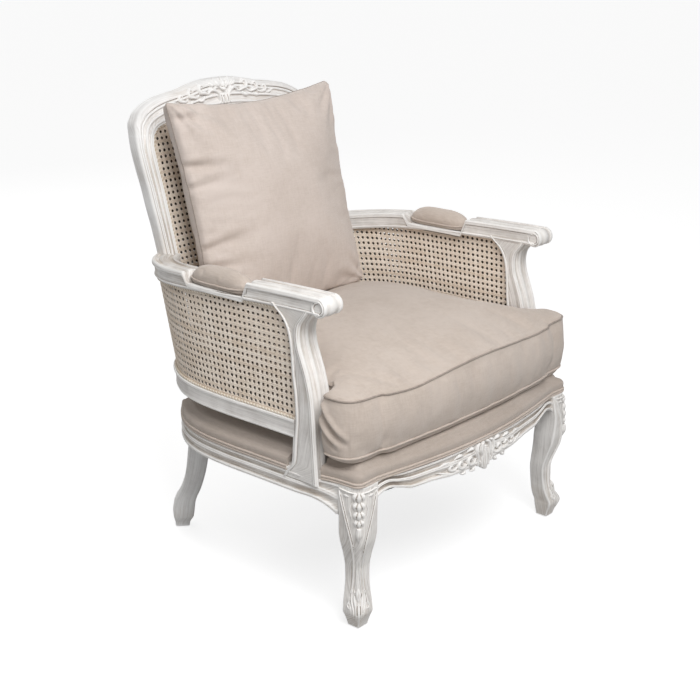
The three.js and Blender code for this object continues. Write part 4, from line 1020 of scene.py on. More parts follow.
@dataclass(frozen=True)
class PlainWood(Finish):
    """Sawn wood of the corner blocks."""

    slot: str = "bare_wood"

    def make(self, shop: NodeShop) -> bpy.types.Material:
        """Builds bare grain.

        Args:
            shop: Maker of the nodes.

        Returns:
            The finished material.
        """
        grain = shop.noise(shop.stretched((20.0, 220.0, 220.0)), 1.0, 4.0)
        colour = shop.mixed(grain.between(0.35, 0.7), (0.44, 0.27, 0.13), (0.28, 0.16, 0.075))
        return shop.finish(colour, 0.6 + 0.2 * grain, shop.bump(grain, 0.0005, 0.5))


@dataclass(frozen=True)
class Jute(Finish):
    """Coarse woven webbing."""

    slot: str = "jute"

    def make(self, shop: NodeShop) -> bpy.types.Material:
        """Builds coarse crossed yarns.

        Args:
            shop: Maker of the nodes.

        Returns:
            The finished material.
        """
        across, along, _ = shop.parted(shop.place())
        weave = (across * 1400.0).sine().size() * (along * 1400.0).sine().size()
        speck = shop.noise(shop.place(), 300.0)
        share = (weave * 0.6 + speck * 0.4).between(0.2, 0.7)
        colour = shop.mixed(share, (0.24, 0.16, 0.085), (0.42, 0.31, 0.19))
        return shop.finish(colour, 0.9, shop.bump(weave, 0.0008, 0.8))


@dataclass(frozen=True)
class DustCloth(Finish):
    """Thin black cloth under the seat."""

    slot: str = "dust_cloth"

    def make(self, shop: NodeShop) -> bpy.types.Material:
        """Builds pressed fibres.

        Args:
            shop: Maker of the nodes.

        Returns:
            The finished material.
        """
        fibre = shop.noise(shop.place(), 500.0, 4.0)
        colour = shop.mixed(fibre.between(0.35, 0.7), (0.012, 0.012, 0.014), (0.035, 0.034, 0.036))
        return shop.finish(colour, 0.85 + 0.1 * fibre, shop.bump(fibre, 0.0006, 0.6))


@dataclass(frozen=True)
class Steel(Finish):
    """Steel of the glides and the screws."""

    slot: str = "glide_steel"

    def make(self, shop: NodeShop) -> bpy.types.Material:
        """Builds worn steel.

        Args:
            shop: Maker of the nodes.

        Returns:
            The finished material.
        """
        scratch = shop.noise(shop.stretched((900.0, 900.0, 60.0)), 1.0, 3.0)
        colour = shop.mixed(scratch.between(0.3, 0.7), (0.42, 0.42, 0.44), (0.30, 0.30, 0.31))
        return shop.finish(colour, 0.28 + 0.2 * scratch, shop.bump(scratch, 0.0001, 0.5), Metallic=1.0)


WHITEWASH = Whitewash()
LIT_WASH = LitWhitewash()
LIT_PILLOW_LINEN = LitPillowLinen()
SHADED_DECK_LINEN = ShadedDeckLinen()
CARVED = CarvedWhitewash()
LIT_CARVED = LitCarved()
CANE = SplitCane()
SHADED_CANE_REAR = ShadedCaneRear()
BINDER = Binder()
LINEN = Linen()
SHADED_SEAM = ShadedPiping()


# Woodwork


def wood(name: str, shape: Shape, replaces: Sequence[str] = (), finish: Finish = WHITEWASH,
         crease: float = 50.0) -> bpy.types.Object:
    """Shows a wooden piece with its hollows marked for the wash.

    Args:
        name: Name of the piece.
        shape: Its form.
        replaces: Nodes of the frame that it stands for.
        finish: What it is finished with.
        crease: Angle in degrees from which an edge is shaded sharp.

    Returns:
        The new object.
    """
    mesh = shape.mesh(name)
    mark_hollows(mesh)
    return show(name, mesh, finish, replaces=replaces, crease=crease)


@dataclass(frozen=True)
class BackFrame:
    """Crest rail, stiles and rear legs."""

    height: float = 1.0
    inner_half: float = 0.229
    outer_half: float = 0.277
    depth: float = 0.035
    opening_low: float = 0.424
    rail_low: float = 0.386
    # Stile: height, then outer and inner half width as shares
    stile: tuple[tuple[float, float, float], ...] = (
        (0.9, 0.993, 0.983), (0.872, 1, 1.016), (0.831, 0.993, 1.013), (0.789, 0.979, 1.005),
        (0.747, 0.972, 1), (0.7, 0.96, 1), (0.646, 0.954, 1), (0.52, 0.952, 1), (0.4, 0.95, 1),
        (0.338, 0.947, 1),
    )
    # Crest: outer half width and height, then inner half width and height
    crest: tuple[tuple[float, float, float, float], ...] = (
        (0.993, 0.9, 0.813, 0.9), (0.979, 0.925, 0.768, 0.911), (0.946, 0.938, 0.737, 0.9155),
        (0.903, 0.95, 0.7, 0.9185), (0.816, 0.963, 0.63, 0.922), (0.722, 0.972, 0.56, 0.924),
        (0.635, 0.977, 0.487, 0.9265), (0.531, 0.981, 0.404, 0.929), (0.44, 0.984, 0.325, 0.931),
        (0.3, 0.993, 0.21, 0.934), (0.15, 0.999, 0.105, 0.9358), (0, 1, 0, 0.936),
    )
    # Rear leg: height, way out to the foot, side, and turn towards the diagonal
    leg: tuple[tuple[float, float, float, float], ...] = (
        (1, 0, 0.85, 0.1), (0.9, 0.02, 0.95, 0.6), (0.74, 0.1, 1, 1), (0.56, 0.24, 0.96, 1),
        (0.44, 0.39, 0.92, 1), (0.35, 0.56, 0.92, 1), (0.26, 0.79, 0.98, 1), (0.18, 0.9, 1.04, 1),
        (0.1, 0.92, 0.96, 1), (0.03, 0.99, 0.7, 1), (0, 1, 0.67, 1),
    )
    leg_side: float = 0.048
    leg_top: float = 0.27
    post_top: float = 0.345
    post_width: float = 0.04
    post_depth: float = 0.038
    foot_out: float = 0.021
    foot_back: float = 0.049
    foot_low: float = 0.0033

    def section(self, width: float) -> np.ndarray:
        """Moulding of the frame: across from its inner edge, and depth from its rear face.

        Args:
            width: Width of the frame at this place.

        Returns:
            Points of the section.
        """
        w, d = width, self.depth
        return moulded([
            (0.002, 0, 0), (w - 0.003, 0, 0), (w, 0.003, 0.0008), (w, d - 0.013, 0),
            (w - 0.005, d - 0.0035, 0.0018), (0.80 * w, d - 0.0015, 0.0014), (0.785 * w, d - 0.0052, 0),
            (0.765 * w, d - 0.0052, 0), (0.752 * w, d - 0.0026, 0), (0.665 * w, d - 0.0028, 0.0014),
            (0.652 * w, d - 0.0064, 0), (0.505 * w, d - 0.0062, -0.0012), (0.492 * w, d - 0.0034, 0),
            (0.395 * w, d - 0.0034, 0.0016), (0.382 * w, d - 0.0068, 0), (0.220 * w, d - 0.0064, -0.0010),
            (0.207 * w, d - 0.0038, 0), (0.118 * w, d - 0.0040, 0.0014), (0.104 * w, d - 0.0064, 0),
            (0.088 * w, d - 0.0044, 0), (0.012 * w, d - 0.0050, 0.0016), (0, d - 0.008, 0), (0, 0.002, 0),
        ])

    def ring(self, inner: np.ndarray, outer: np.ndarray) -> np.ndarray:
        """Section ring between an inner and an outer point of the face of the back.

        Args:
            inner: Inner point, across and up.
            outer: Outer point.

        Returns:
            Points in chair coordinates.
        """
        section = self.section(float(np.linalg.norm(outer - inner)))
        way = unit((outer - inner)[None])[0]
        face = inner + section[:, :1] * way
        return PLAN.on_back(face[:, 0], face[:, 1], section[:, 1])

    def inner_edge(self, count: int) -> tuple[np.ndarray, np.ndarray]:
        """Inner and outer edge of the right half of the crest, from its shoulder to its middle.

        Args:
            count: How many points each edge gets.

        Returns:
            Points of the inner edge and of the outer edge, across and up.
        """
        keys = np.array(self.crest)
        outer = curve_through(keys[:, :2] * np.array([self.outer_half, self.height]), count)
        inner = curve_through(keys[:, 2:] * np.array([self.outer_half, self.height]), count)
        return inner, outer

    def crest_shape(self) -> Shape:
        """The crest rail from shoulder to shoulder.

        Returns:
            The shape.
        """
        inner, outer = self.inner_edge(70)
        half = np.array([self.ring(a, b) for a, b in zip(inner, outer)])
        mirror = half[:-1][::-1] * np.array([-1, 1, 1])
        return Shape.lofted(np.concatenate([half, mirror]))

    def half_widths(self, heights: np.ndarray) -> np.ndarray:
        """Outer and inner half width of a stile at heights."""
        return table_at(self.stile, heights) * np.array([self.outer_half, self.inner_half])

    def stile_shape(self) -> Shape:
        """The right stile, from the seat up to the crest.

        Returns:
            The shape.
        """
        heights = np.linspace(0.9, 0.34, 60)
        rings = [
            self.ring(np.array([inner, height]), np.array([outer, height]))
            for height, (outer, inner) in zip(heights, self.half_widths(heights))
        ]
        return Shape.lofted(np.array(rings))

    def leg_shape(self) -> Shape:
        """The right rear leg: a cabriole that turns from the seat frame to the diagonal.

        Returns:
            The shape.
        """
        rear = PLAN.frame_rear - self.post_depth / 2 + SHIFT
        middle = np.array([PLAN.seat_rear_half - self.post_width / 2, rear])
        shares = np.linspace(1, 0, 64)
        rows = table_at(self.leg, shares)
        rings = []
        for share, (way, side, turn) in zip(shares, rows):
            place = middle + way * np.array([self.foot_out, self.foot_back])
            height = self.foot_low + (self.leg_top - self.foot_low) * share
            width = side * self.leg_side
            rings.append(self.leg_ring(place, height, width, width, turn * math.pi / 4))
        for height in np.linspace(self.leg_top + 0.004, self.post_top, 6):
            rings.insert(0, self.leg_ring(middle, height, self.post_width, self.post_depth, 0.0))
        return Shape.lofted(np.array(rings))

    @staticmethod
    def leg_ring(middle: np.ndarray, height: float, width: float, depth: float, turn: float) -> np.ndarray:
        """Ring of a square leg with soft chamfers.

        Args:
            middle: Middle of the ring in plan.
            height: Its height.
            width: Width across the chair before it is turned.
            depth: Depth before it is turned.
            turn: Angle that it is turned by.

        Returns:
            Points in chair coordinates.
        """
        cut, soft = 0.13, 0.018
        stops = []
        for quarter in range(4):
            angle = quarter * math.pi / 2
            for x, y, swell in ((-0.5 + cut, -0.5, soft), (0.5 - cut, -0.5, 0.0)):
                stops.append((x * math.cos(angle) - y * math.sin(angle),
                              x * math.sin(angle) + y * math.cos(angle), swell))
        points = moulded(stops, 3) * np.array([width, depth])
        spin = np.array([[math.cos(turn), math.sin(turn)], [-math.sin(turn), math.cos(turn)]])
        points = points @ spin + middle
        return np.c_[points, np.full(len(points), height)]

    def bottom_rail(self) -> Shape:
        """Lower rail of the back, with a bead along each edge.

        Returns:
            The shape.
        """
        low, high, d = self.rail_low, self.opening_low, self.depth
        section = moulded([
            (0, low, 0), (d - 0.004, low, 0), (d - 0.0005, low + 0.003, 0.001),
            (d - 0.0005, low + 0.007, 0.0008), (d - 0.003, low + 0.009, 0),
            (d - 0.003, high - 0.009, -0.0015), (d - 0.0005, high - 0.007, 0),
            (d - 0.0005, high - 0.003, 0.0008), (d - 0.004, high, 0.001), (0, high, 0),
        ])
        xs = np.linspace(-self.inner_half - 0.004, self.inner_half + 0.004, 24)
        return Shape.lofted(np.array([PLAN.on_back(x, section[:, 1], section[:, 0]) for x in xs]))

    def build(self) -> None:
        """Makes the crest rail, the two back posts and the lower rail."""
        wood("crest_rail_carved", self.crest_shape(), ["crest_rail"], LIT_WASH)
        stile, leg = self.stile_shape(), self.leg_shape()
        for side in Side:
            post, node = Shape.joined([stile.on(side), leg.on(side)]), f"{side.prefix}_back_post"
            wood(f"{node}_moulded", post, [node], LIT_WASH, crease=38.0)
        wood("back_bottom_rail_moulded", self.bottom_rail(), ["back_bottom_rail"], LIT_WASH)


@dataclass(frozen=True)
class Arms:
    """Arm rails with their scrolls, arm posts, and the lower rails of the caned sides."""

    width: float = 0.055
    roll_radius: float = 0.021
    roll_forward: float = 0.266
    roll_draw: float = 0.06
    pad_front: float = -0.066
    pad_rear: float = 0.097
    pad_bed: float = 0.017
    foot_low: float = 0.3
    lower_low: float = 0.386
    lower_high: float = 0.424
    lower_width: float = 0.046
    lower_start: float = 0.0615  # step along the side
    # Arm post: height, then its front and its rear before the middle of the CAD drawing
    post: tuple[tuple[float, float, float], ...] = (
        (0.300, 0.2625, 0.172), (0.312, 0.2615, 0.180), (0.323, 0.2608, 0.1905), (0.336, 0.260, 0.1985),
        (0.38, 0.2573, 0.2022), (0.43, 0.2545, 0.2068), (0.475, 0.2505, 0.2046), (0.52, 0.2400, 0.1985),
        (0.55, 0.2290, 0.1965), (0.58, 0.2185, 0.1935), (0.600, 0.2160, 0.1895), (0.618, 0.2185, 0.182),
        (0.634, 0.2290, 0.170), (0.648, 0.2400, 0.152), (0.654, 0.2430, 0.146),
    )

    def bed(self) -> float:
        """Height of the bed that is cut into the arm for its pad."""
        return float(PLAN.arm_top(0.5)[0]) - self.pad_bed

    def tops(self, steps: np.ndarray) -> np.ndarray:
        """Top of the arm with the dip for its pad.

        Args:
            steps: Places along the side.

        Returns:
            Heights.
        """
        top = PLAN.arm_top(steps)
        y = PLAN.outline(steps, PLAN.arm_height)[:, 1] - SHIFT
        dip = smoothstep(self.pad_front - 0.011, self.pad_front - 0.001, y)
        dip = dip * (1 - smoothstep(self.pad_rear + 0.001, self.pad_rear + 0.016, y))
        return top + (self.bed() - top) * dip

    def section(self, top: float, bottom: float) -> np.ndarray:
        """Moulding of an arm as inset and height.

        Args:
            top: Height of the top.
            bottom: Height of the underside.

        Returns:
            Points of the section.
        """
        w, t, b = self.width, top, bottom
        return moulded([
            (0.003, b, 0), (w - 0.003, b, 0), (w - 0.0005, b + 0.003, 0.0008),
            (w - 0.0005, b + 0.006, 0.0008), (w - 0.0026, b + 0.0072, 0),
            (w - 0.0018, t - 0.0118, -0.0005), (w - 0.0034, t - 0.0108, 0),
            (w, t - 0.0094, 0), (w, t - 0.005, 0.0006), (w - 0.0055, t, 0.0016), (w - 0.0085, t - 0.0002, 0),
            (w - 0.0098, t - 0.0030, 0), (w - 0.0175, t - 0.0026, -0.0008), (w - 0.0190, t - 0.0006, 0),
            (0.0190, t - 0.0006, 0.0012), (0.0175, t - 0.0026, 0), (0.0098, t - 0.0030, -0.0008),
            (0.0085, t - 0.0002, 0), (0.0055, t, 0), (0, t - 0.005, 0.0016), (0, t - 0.0094, 0.0006),
            (0.0034, t - 0.0108, 0), (0.0018, b + 0.0085, -0.0005), (0.0032, b + 0.0074, 0),
            (0.0005, b + 0.006, 0), (0.0005, b + 0.003, 0.0008),
        ])

    def arm_shape(self) -> Shape:
        """The right arm from its scroll to the back post.

        Returns:
            The shape.
        """
        dense = np.linspace(0.24, 0.66, 90)
        steps = np.unique(np.concatenate([np.linspace(0, 0.24, 16), dense, np.linspace(0.66, 1.0, 28)]))
        tops = self.tops(steps)
        bottoms = PLAN.arm_top(steps) - PLAN.arm_thickness
        sections = [self.section(top, bottom) for top, bottom in zip(tops, bottoms)]
        return Shape.lofted(np.array([self.side_ring(step, ring) for step, ring in zip(steps, sections)]))

    @staticmethod
    def side_ring(step: float, section: np.ndarray) -> np.ndarray:
        """A section, given as inset and height, at a step along the right side."""
        return PLAN.on_side(Side.RIGHT, np.full(len(section), step), section[:, 1], section[:, 0])

    def roll_shape(self) -> Shape:
        """The rolled end of the right arm, with a spiral carved into each face.

        Returns:
            The shape.
        """
        turns = np.linspace(0, 2 * math.pi, 121)[:-1]
        reaches = self.roll_radius * (1 - self.roll_draw * turns * 2 / math.pi)
        rings = [self.roll_profile(turn, reach) for turn, reach in zip(turns, reaches)]
        return Shape.lofted(np.array(rings), loop=True, along=False)

    def roll_profile(self, turn: float, reach: float) -> np.ndarray:
        """Points from the middle of one face of the roll over its rim to the other face.

        Args:
            turn: Angle round the roll.
            reach: Radius of its rim there.

        Returns:
            Points in chair coordinates.
        """
        face = self.face_profile(turn, reach)
        w = self.width
        # Across the rim the mouldings of the top of the arm go on round the roll
        rim = [(w - 0.0055, 0.0), (w - 0.0085, -0.0002), (w - 0.0098, -0.0022), (w - 0.0175, -0.0020),
               (w - 0.0190, -0.0006), (w / 2, 0.0002), (0.0190, -0.0006), (0.0175, -0.0020),
               (0.0098, -0.0022), (0.0085, -0.0002), (0.0055, 0.0)]
        profile = [(radius, w - inset) for radius, inset in face]
        profile += [(reach + rise, inset) for inset, rise in rim]
        profile += [(radius, inset) for radius, inset in reversed(face)]
        middle = (-self.roll_forward + SHIFT, PLAN.arm_front_top - self.roll_radius)
        way = (-math.sin(turn), math.cos(turn))
        return np.array([(PLAN.half_width - inset, middle[0] + radius * way[0], middle[1] + radius * way[1])
                         for radius, inset in profile])

    def face_profile(self, turn: float, reach: float) -> list[tuple[float, float]]:
        """Radius and depth of the carved spiral on a face of the roll at one turn.

        Args:
            turn: Angle round the roll.
            reach: Radius of its rim there.

        Returns:
            Radius and depth of each point.
        """
        points = []
        wind = turn / (2 * math.pi)
        for share in np.linspace(0.0, 1.0, 40):
            dish = 0.0026 * (1 - float(smoothstep(0.54, 0.64, share)))
            ring = -0.0012 * math.exp(-(((share - 0.71) / 0.05) ** 2))
            line = 0.0042 * math.exp(-(((share - 0.83 + 0.03 * wind) / 0.032) ** 2))
            rim = 0.0045 * float(smoothstep(0.88, 1.0, share)) ** 3
            points.append((max(share * reach, 0.00002), 0.0006 + dish + ring + line + rim))
        return points

    def post_shape(self) -> Shape:
        """The right arm post.

        Returns:
            The shape.
        """
        heights = np.unique(np.concatenate([np.linspace(0.300, 0.345, 14), np.linspace(0.345, 0.654, 60)]))
        rings = [self.post_ring(z, *row) for z, row in zip(heights, table_at(self.post, heights))]
        return Shape.joined([Shape.lofted(np.array(rings)), self.post_bead()])

    def post_bead(self) -> Shape:
        """The bead that runs down the rear edge of the right post and curls on to the seat rail.

        Returns:
            The shape.
        """
        foot, turn, radius = 0.3172, 0.016, 0.0046
        heights = np.linspace(self.lower_low + 0.002, foot + turn, 12)
        down = np.c_[-table_at(self.post, heights)[:, 1] + 0.0008, heights]
        ways = np.linspace(0, math.pi / 2, 12)[1:]
        curl = down[-1] + turn * np.c_[1 - np.cos(ways), -np.sin(ways)]
        path = np.vstack([down, curl, curl[-1] + np.array([[0.002, 0.0]])])
        x = PLAN.half_width - radius - 0.0004
        return Shape.tube(np.c_[np.full(len(path), x), path[:, 0] + SHIFT, path[:, 1]], radius, 12)

    def post_ring(self, height: float, front: float, rear: float) -> np.ndarray:
        """Section of an arm post: a hollow front between beads, and beaded sides.

        Args:
            height: Height of the ring.
            front: Distance of its front before the middle.
            rear: Distance of its rear.

        Returns:
            Points in chair coordinates.
        """
        w, t, proud = front - rear, self.width, 0.0012
        section = moulded([
            (0, 0.005, 0.0004), (0.0015, 0.0012, 0.0010), (0.0075, 0.0, 0.0014), (0.0092, 0.0036, 0),
            (0.0225, 0.0040, -0.0022), (0.0240, 0.0008, 0), (t - 0.0240, 0.0008, 0.0014),
            (t - 0.0225, 0.0040, 0), (t - 0.0092, 0.0036, -0.0022), (t - 0.0075, 0.0, 0),
            (t - 0.0015, 0.0012, 0.0014), (t, 0.005, 0.0010), (t, 0.0088, 0), (t - 0.0028, 0.0100, 0),
            (t - 0.0018, w - 0.0092, -0.0004), (t - 0.0028, w - 0.0080, 0), (t, w - 0.0068, 0),
            (t, w - 0.0025, 0.0006), (t - 0.003, w, 0.0006), (0.003, w, 0), (0, w - 0.0025, 0.0006),
            (0, w - 0.0068, 0.0006), (0.0036, w - 0.0080, 0), (0.0022, w - 0.0094, 0),
            (0.0022, 0.0116, -0.0004), (0.0036, 0.0102, 0), (0, 0.0088, 0),
        ])
        x = PLAN.half_width + proud - section[:, 0] * (t + proud) / t
        return np.c_[x, section[:, 1] - front + SHIFT, np.full(len(section), height)]

    def lower_shape(self) -> Shape:
        """The right lower rail of the caned side.

        Returns:
            The shape.
        """
        b, t, w = self.lower_low, self.lower_high, self.lower_width
        section = moulded([
            (0.003, b, 0), (w - 0.002, b, 0), (w, b + 0.002, 0), (w, t - 0.002, 0), (w - 0.002, t, 0),
            (0.003, t, 0), (0, t - 0.0025, 0.001), (0, t - 0.0055, 0.0004), (0.0013, t - 0.0068, 0),
            (0.0010, b + 0.0075, -0.0006), (0, b + 0.006, 0), (0, b + 0.0025, 0.0004),
        ])
        rings = [self.side_ring(step, section) for step in np.linspace(self.lower_start, 1.0, 70)]
        return Shape.lofted(np.array(rings))

    def build(self) -> None:
        """Makes the arms, their posts and the lower side rails."""
        pieces = {
            "arm_rail": Shape.joined([self.arm_shape(), self.roll_shape()]),
            "arm_post": self.post_shape(),
            "lower_rail": self.lower_shape(),
        }
        for side in Side:
            for node, shape in pieces.items():
                wood(f"{side.prefix}_{node}_moulded", shape.on(side), [f"{side.prefix}_{node}"])


@dataclass(frozen=True)
class SeatFrame:
    """Front legs and seat rails."""

    low: float = 0.27
    high: float = 0.312
    thickness: float = 0.03
    forward: float = 0.353
    bow: float = 0.035
    arch: float = 0.02
    leg_x: float = 0.338
    leg_y: float = 0.326
    leg_side: float = 0.058
    foot_low: float = 0.0033
    draw_in: float = 0.018
    draw_length: float = 0.127
    bracket_reach: float = 0.070
    bracket_drop: float = 0.024
    # Lower edge of the front rail: way from the middle to a leg, and rise
    edge: tuple[tuple[float, float], ...] = (
        (0, -0.4), (0.32, -0.35), (0.55, 0), (0.7, 0.05), (0.81, 0.55), (0.9, 0.9), (0.97, 0.7), (1.04, 0.1),
        (1.1, 0.1),
    )
    # Front leg: height, side, distance from the middle of the chair, and roundness of its outer corner
    leg: tuple[tuple[float, float, float, float], ...] = (
        (0, 0.5, 1.0075, 0.06), (0.03, 0.56, 1.009, 0.07), (0.064, 0.65, 1.012, 0.1),
        (0.112, 0.767, 1.017, 0.2), (0.176, 0.73, 1.001, 0.25), (0.24, 0.66, 0.987, 0.2),
        (0.32, 0.617, 0.978, 0.18), (0.4, 0.63, 0.975, 0.2), (0.48, 0.71, 0.985, 0.26),
        (0.55, 0.81, 0.998, 0.34), (0.61, 0.905, 1.0085, 0.42), (0.68, 0.965, 1.015, 0.5),
        (0.8, 0.97, 1.022, 0.56), (0.92, 1, 1.014, 0.6), (1, 1, 1.009, 0.6),
    )

    @property
    def rail_half(self) -> float:
        """Half the length of the front rail."""
        return self.leg_x - self.leg_side / 2

    def face(self, x: np.ndarray) -> np.ndarray:
        """Face of the front rail, as a place along Y."""
        share = np.minimum(np.abs(x) / self.rail_half, 1)
        return -(self.forward + self.bow * np.cos(share * math.pi / 2)) + SHIFT

    def lower_edge(self, x: np.ndarray) -> np.ndarray:
        """Lower edge of the front rail."""
        return self.low + self.arch * table_at(self.edge, np.abs(x) / self.rail_half)[:, 0]

    def upper_edge(self, x: np.ndarray) -> np.ndarray:
        """Upper edge of the show wood of the front rail.

        Args:
            x: Places across.

        Returns:
            Heights.
        """
        middle = 0.008 * np.exp(-((x / 0.075) ** 2))
        shoulder = 0.007 * np.exp(-(((np.abs(x) - 0.285) / 0.024) ** 2))
        return self.high + middle + shoulder - 0.001

    def section(self, low: float, high: float) -> np.ndarray:
        """Moulding of a seat rail as inset and height.

        Args:
            low: Height of the lower edge.
            high: Height of the upper edge of its show wood.

        Returns:
            Points of the section.
        """
        b, t, w = low, high, self.thickness
        k = (t - b) / (self.high - self.low)
        return moulded([
            (0.004, b, 0), (w, b, 0), (w, t + 0.015, 0), (0.0075, t + 0.015, 0), (0.0075, t, 0),
            (0.0015, t, 0), (0.0, t - 0.0015, 0.0005), (0.0, t - 0.0035 * k, 0.0006),
            (0.0022, t - 0.0050 * k, 0), (0.0045, t - 0.0125 * k, -0.0014), (0.0028, t - 0.0145 * k, 0),
            (0.0005, t - 0.0175 * k, 0.0006), (0.0005, t - 0.0215 * k, 0.0010), (0.0030, t - 0.0240 * k, 0),
            (0.0050, b + 0.0095 * k, -0.0016), (0.0018, b + 0.0075 * k, 0), (-0.0005, b + 0.0035 * k, 0.0016),
            (0.0015, b + 0.0008, 0.0010),
        ])

    def front_shape(self) -> Shape:
        """The serpentine front rail.

        Returns:
            The shape.
        """
        xs = np.linspace(-self.rail_half - 0.006, self.rail_half + 0.006, 160)
        rings = []
        for x, face, low, high in zip(xs, self.face(xs), self.lower_edge(xs), self.upper_edge(xs)):
            section = self.section(low, high)
            rings.append(np.c_[np.full(len(section), x), face + section[:, 0], section[:, 1]])
        return Shape.lofted(np.array(rings))

    def side_line(self, steps: np.ndarray) -> tuple[np.ndarray, np.ndarray]:
        """Outer line of the seat on the right side in plan, and its directions.

        Args:
            steps: Places along the side, from 0 to 1.

        Returns:
            Points in plan and the direction at each.
        """
        outer = PLAN.outline(steps, np.full(len(steps), self.low))
        lead = np.linspace(-self.leg_y + self.leg_side / 2 - 0.006 + SHIFT, outer[0, 1], 12)[:-1]
        outer = np.vstack([np.c_[np.full(len(lead), PLAN.half_width), lead], outer])
        start = -self.leg_y + SHIFT
        outer[:, 0] -= self.draw_in * (1 - smoothstep(start, start + self.draw_length, outer[:, 1]))
        return outer, unit(np.gradient(outer, axis=0))

    def side_shape(self) -> Shape:
        """The right side rail of the seat.

        Returns:
            The shape.
        """
        line, way = self.side_line(np.linspace(0, 1, 80))
        leg_end = -self.leg_y + self.leg_side / 2 + SHIFT
        rings = []
        for (x, y), (dx, dy) in zip(line, way):
            near = max(0.0, 1 - max(0.0, y - leg_end) / self.bracket_reach)
            section = self.section(self.low - self.bracket_drop * near**2, self.high)
            rings.append(np.c_[x - section[:, 0] * dy, y + section[:, 0] * dx, section[:, 1]])
        return Shape.lofted(np.array(rings))

    def rear_shape(self) -> Shape:
        """The straight rear rail of the seat.

        Returns:
            The shape.
        """
        section = self.section(self.low, self.high)
        half = PLAN.seat_rear_half - 0.03
        rings = [
            np.c_[np.full(len(section), x), PLAN.frame_rear + SHIFT - section[:, 0], section[:, 1]]
            for x in np.linspace(-half, half, 20)
        ]
        return Shape.lofted(np.array(rings))

    def leg_grid(self, levels: np.ndarray, steps: int) -> tuple[np.ndarray, np.ndarray]:
        """Rings of the right front leg.

        Args:
            levels: Heights of the rings as shares of the leg.
            steps: How many points a ring has.

        Returns:
            The rings, which start at the inner corner, and the way of each point round from
            the outer corner.
        """
        rings, ways = [], []
        for share, (side, reach, soft) in zip(levels, table_at(self.leg, levels)):
            height = self.foot_low + (self.high - self.foot_low) * share
            ring, way = self.leg_ring(side * self.leg_side, soft, steps)
            place = np.array([self.leg_x * reach, -self.leg_y * reach + SHIFT])
            rings.append(np.c_[ring + place, np.full(steps, height)])
            ways.append(way)
        return np.array(rings), np.array(ways)

    @staticmethod
    def leg_ring(side: float, soft: float, steps: int) -> tuple[np.ndarray, np.ndarray]:
        """One ring of the leg: a square whose outer corner is round.

        Args:
            side: Side of the square.
            soft: Radius of the outer corner as a share of the side.
            steps: How many points it has.

        Returns:
            The points, and the way of each round from the outer corner.
        """
        h, small = side / 2, side * 0.07
        corners = [(-h, h, small), (-h, -h, small), (h, -h, max(soft * side, small)), (h, h, small)]
        line = []
        for x, y, radius in corners:
            middle = np.array([x - math.copysign(radius, x), y - math.copysign(radius, y)])
            start = math.atan2(y, x) - math.pi / 4
            for turn in np.linspace(start, start + math.pi / 2, 13):
                line.append(middle + radius * np.array([math.cos(turn), math.sin(turn)]))
        line.append(line[0])
        fine = even_line(np.array(line), 1200, closed=True)
        outer = int(np.argmax(fine[:, 0] - fine[:, 1]))
        fine = np.roll(fine, 600 - outer, axis=0)
        length = np.linalg.norm(np.diff(fine, axis=0, append=fine[:1]), axis=1).sum()
        way = (np.arange(1200) - 600) / 1200 * length
        pick = (np.arange(steps) * (1200 / steps)).astype(int)
        return fine[pick], way[pick]

    def build(self) -> None:
        """Makes the seat rails."""
        wood("front_seat_rail_moulded", self.front_shape(), ["front_seat_rail"])
        wood("rear_seat_rail_moulded", self.rear_shape(), ["rear_seat_rail"])
        side_rail = self.side_shape()
        for side in Side:
            wood(f"{side.prefix}_side_rail_moulded", side_rail.on(side), [f"{side.prefix}_side_rail"])


# Cane


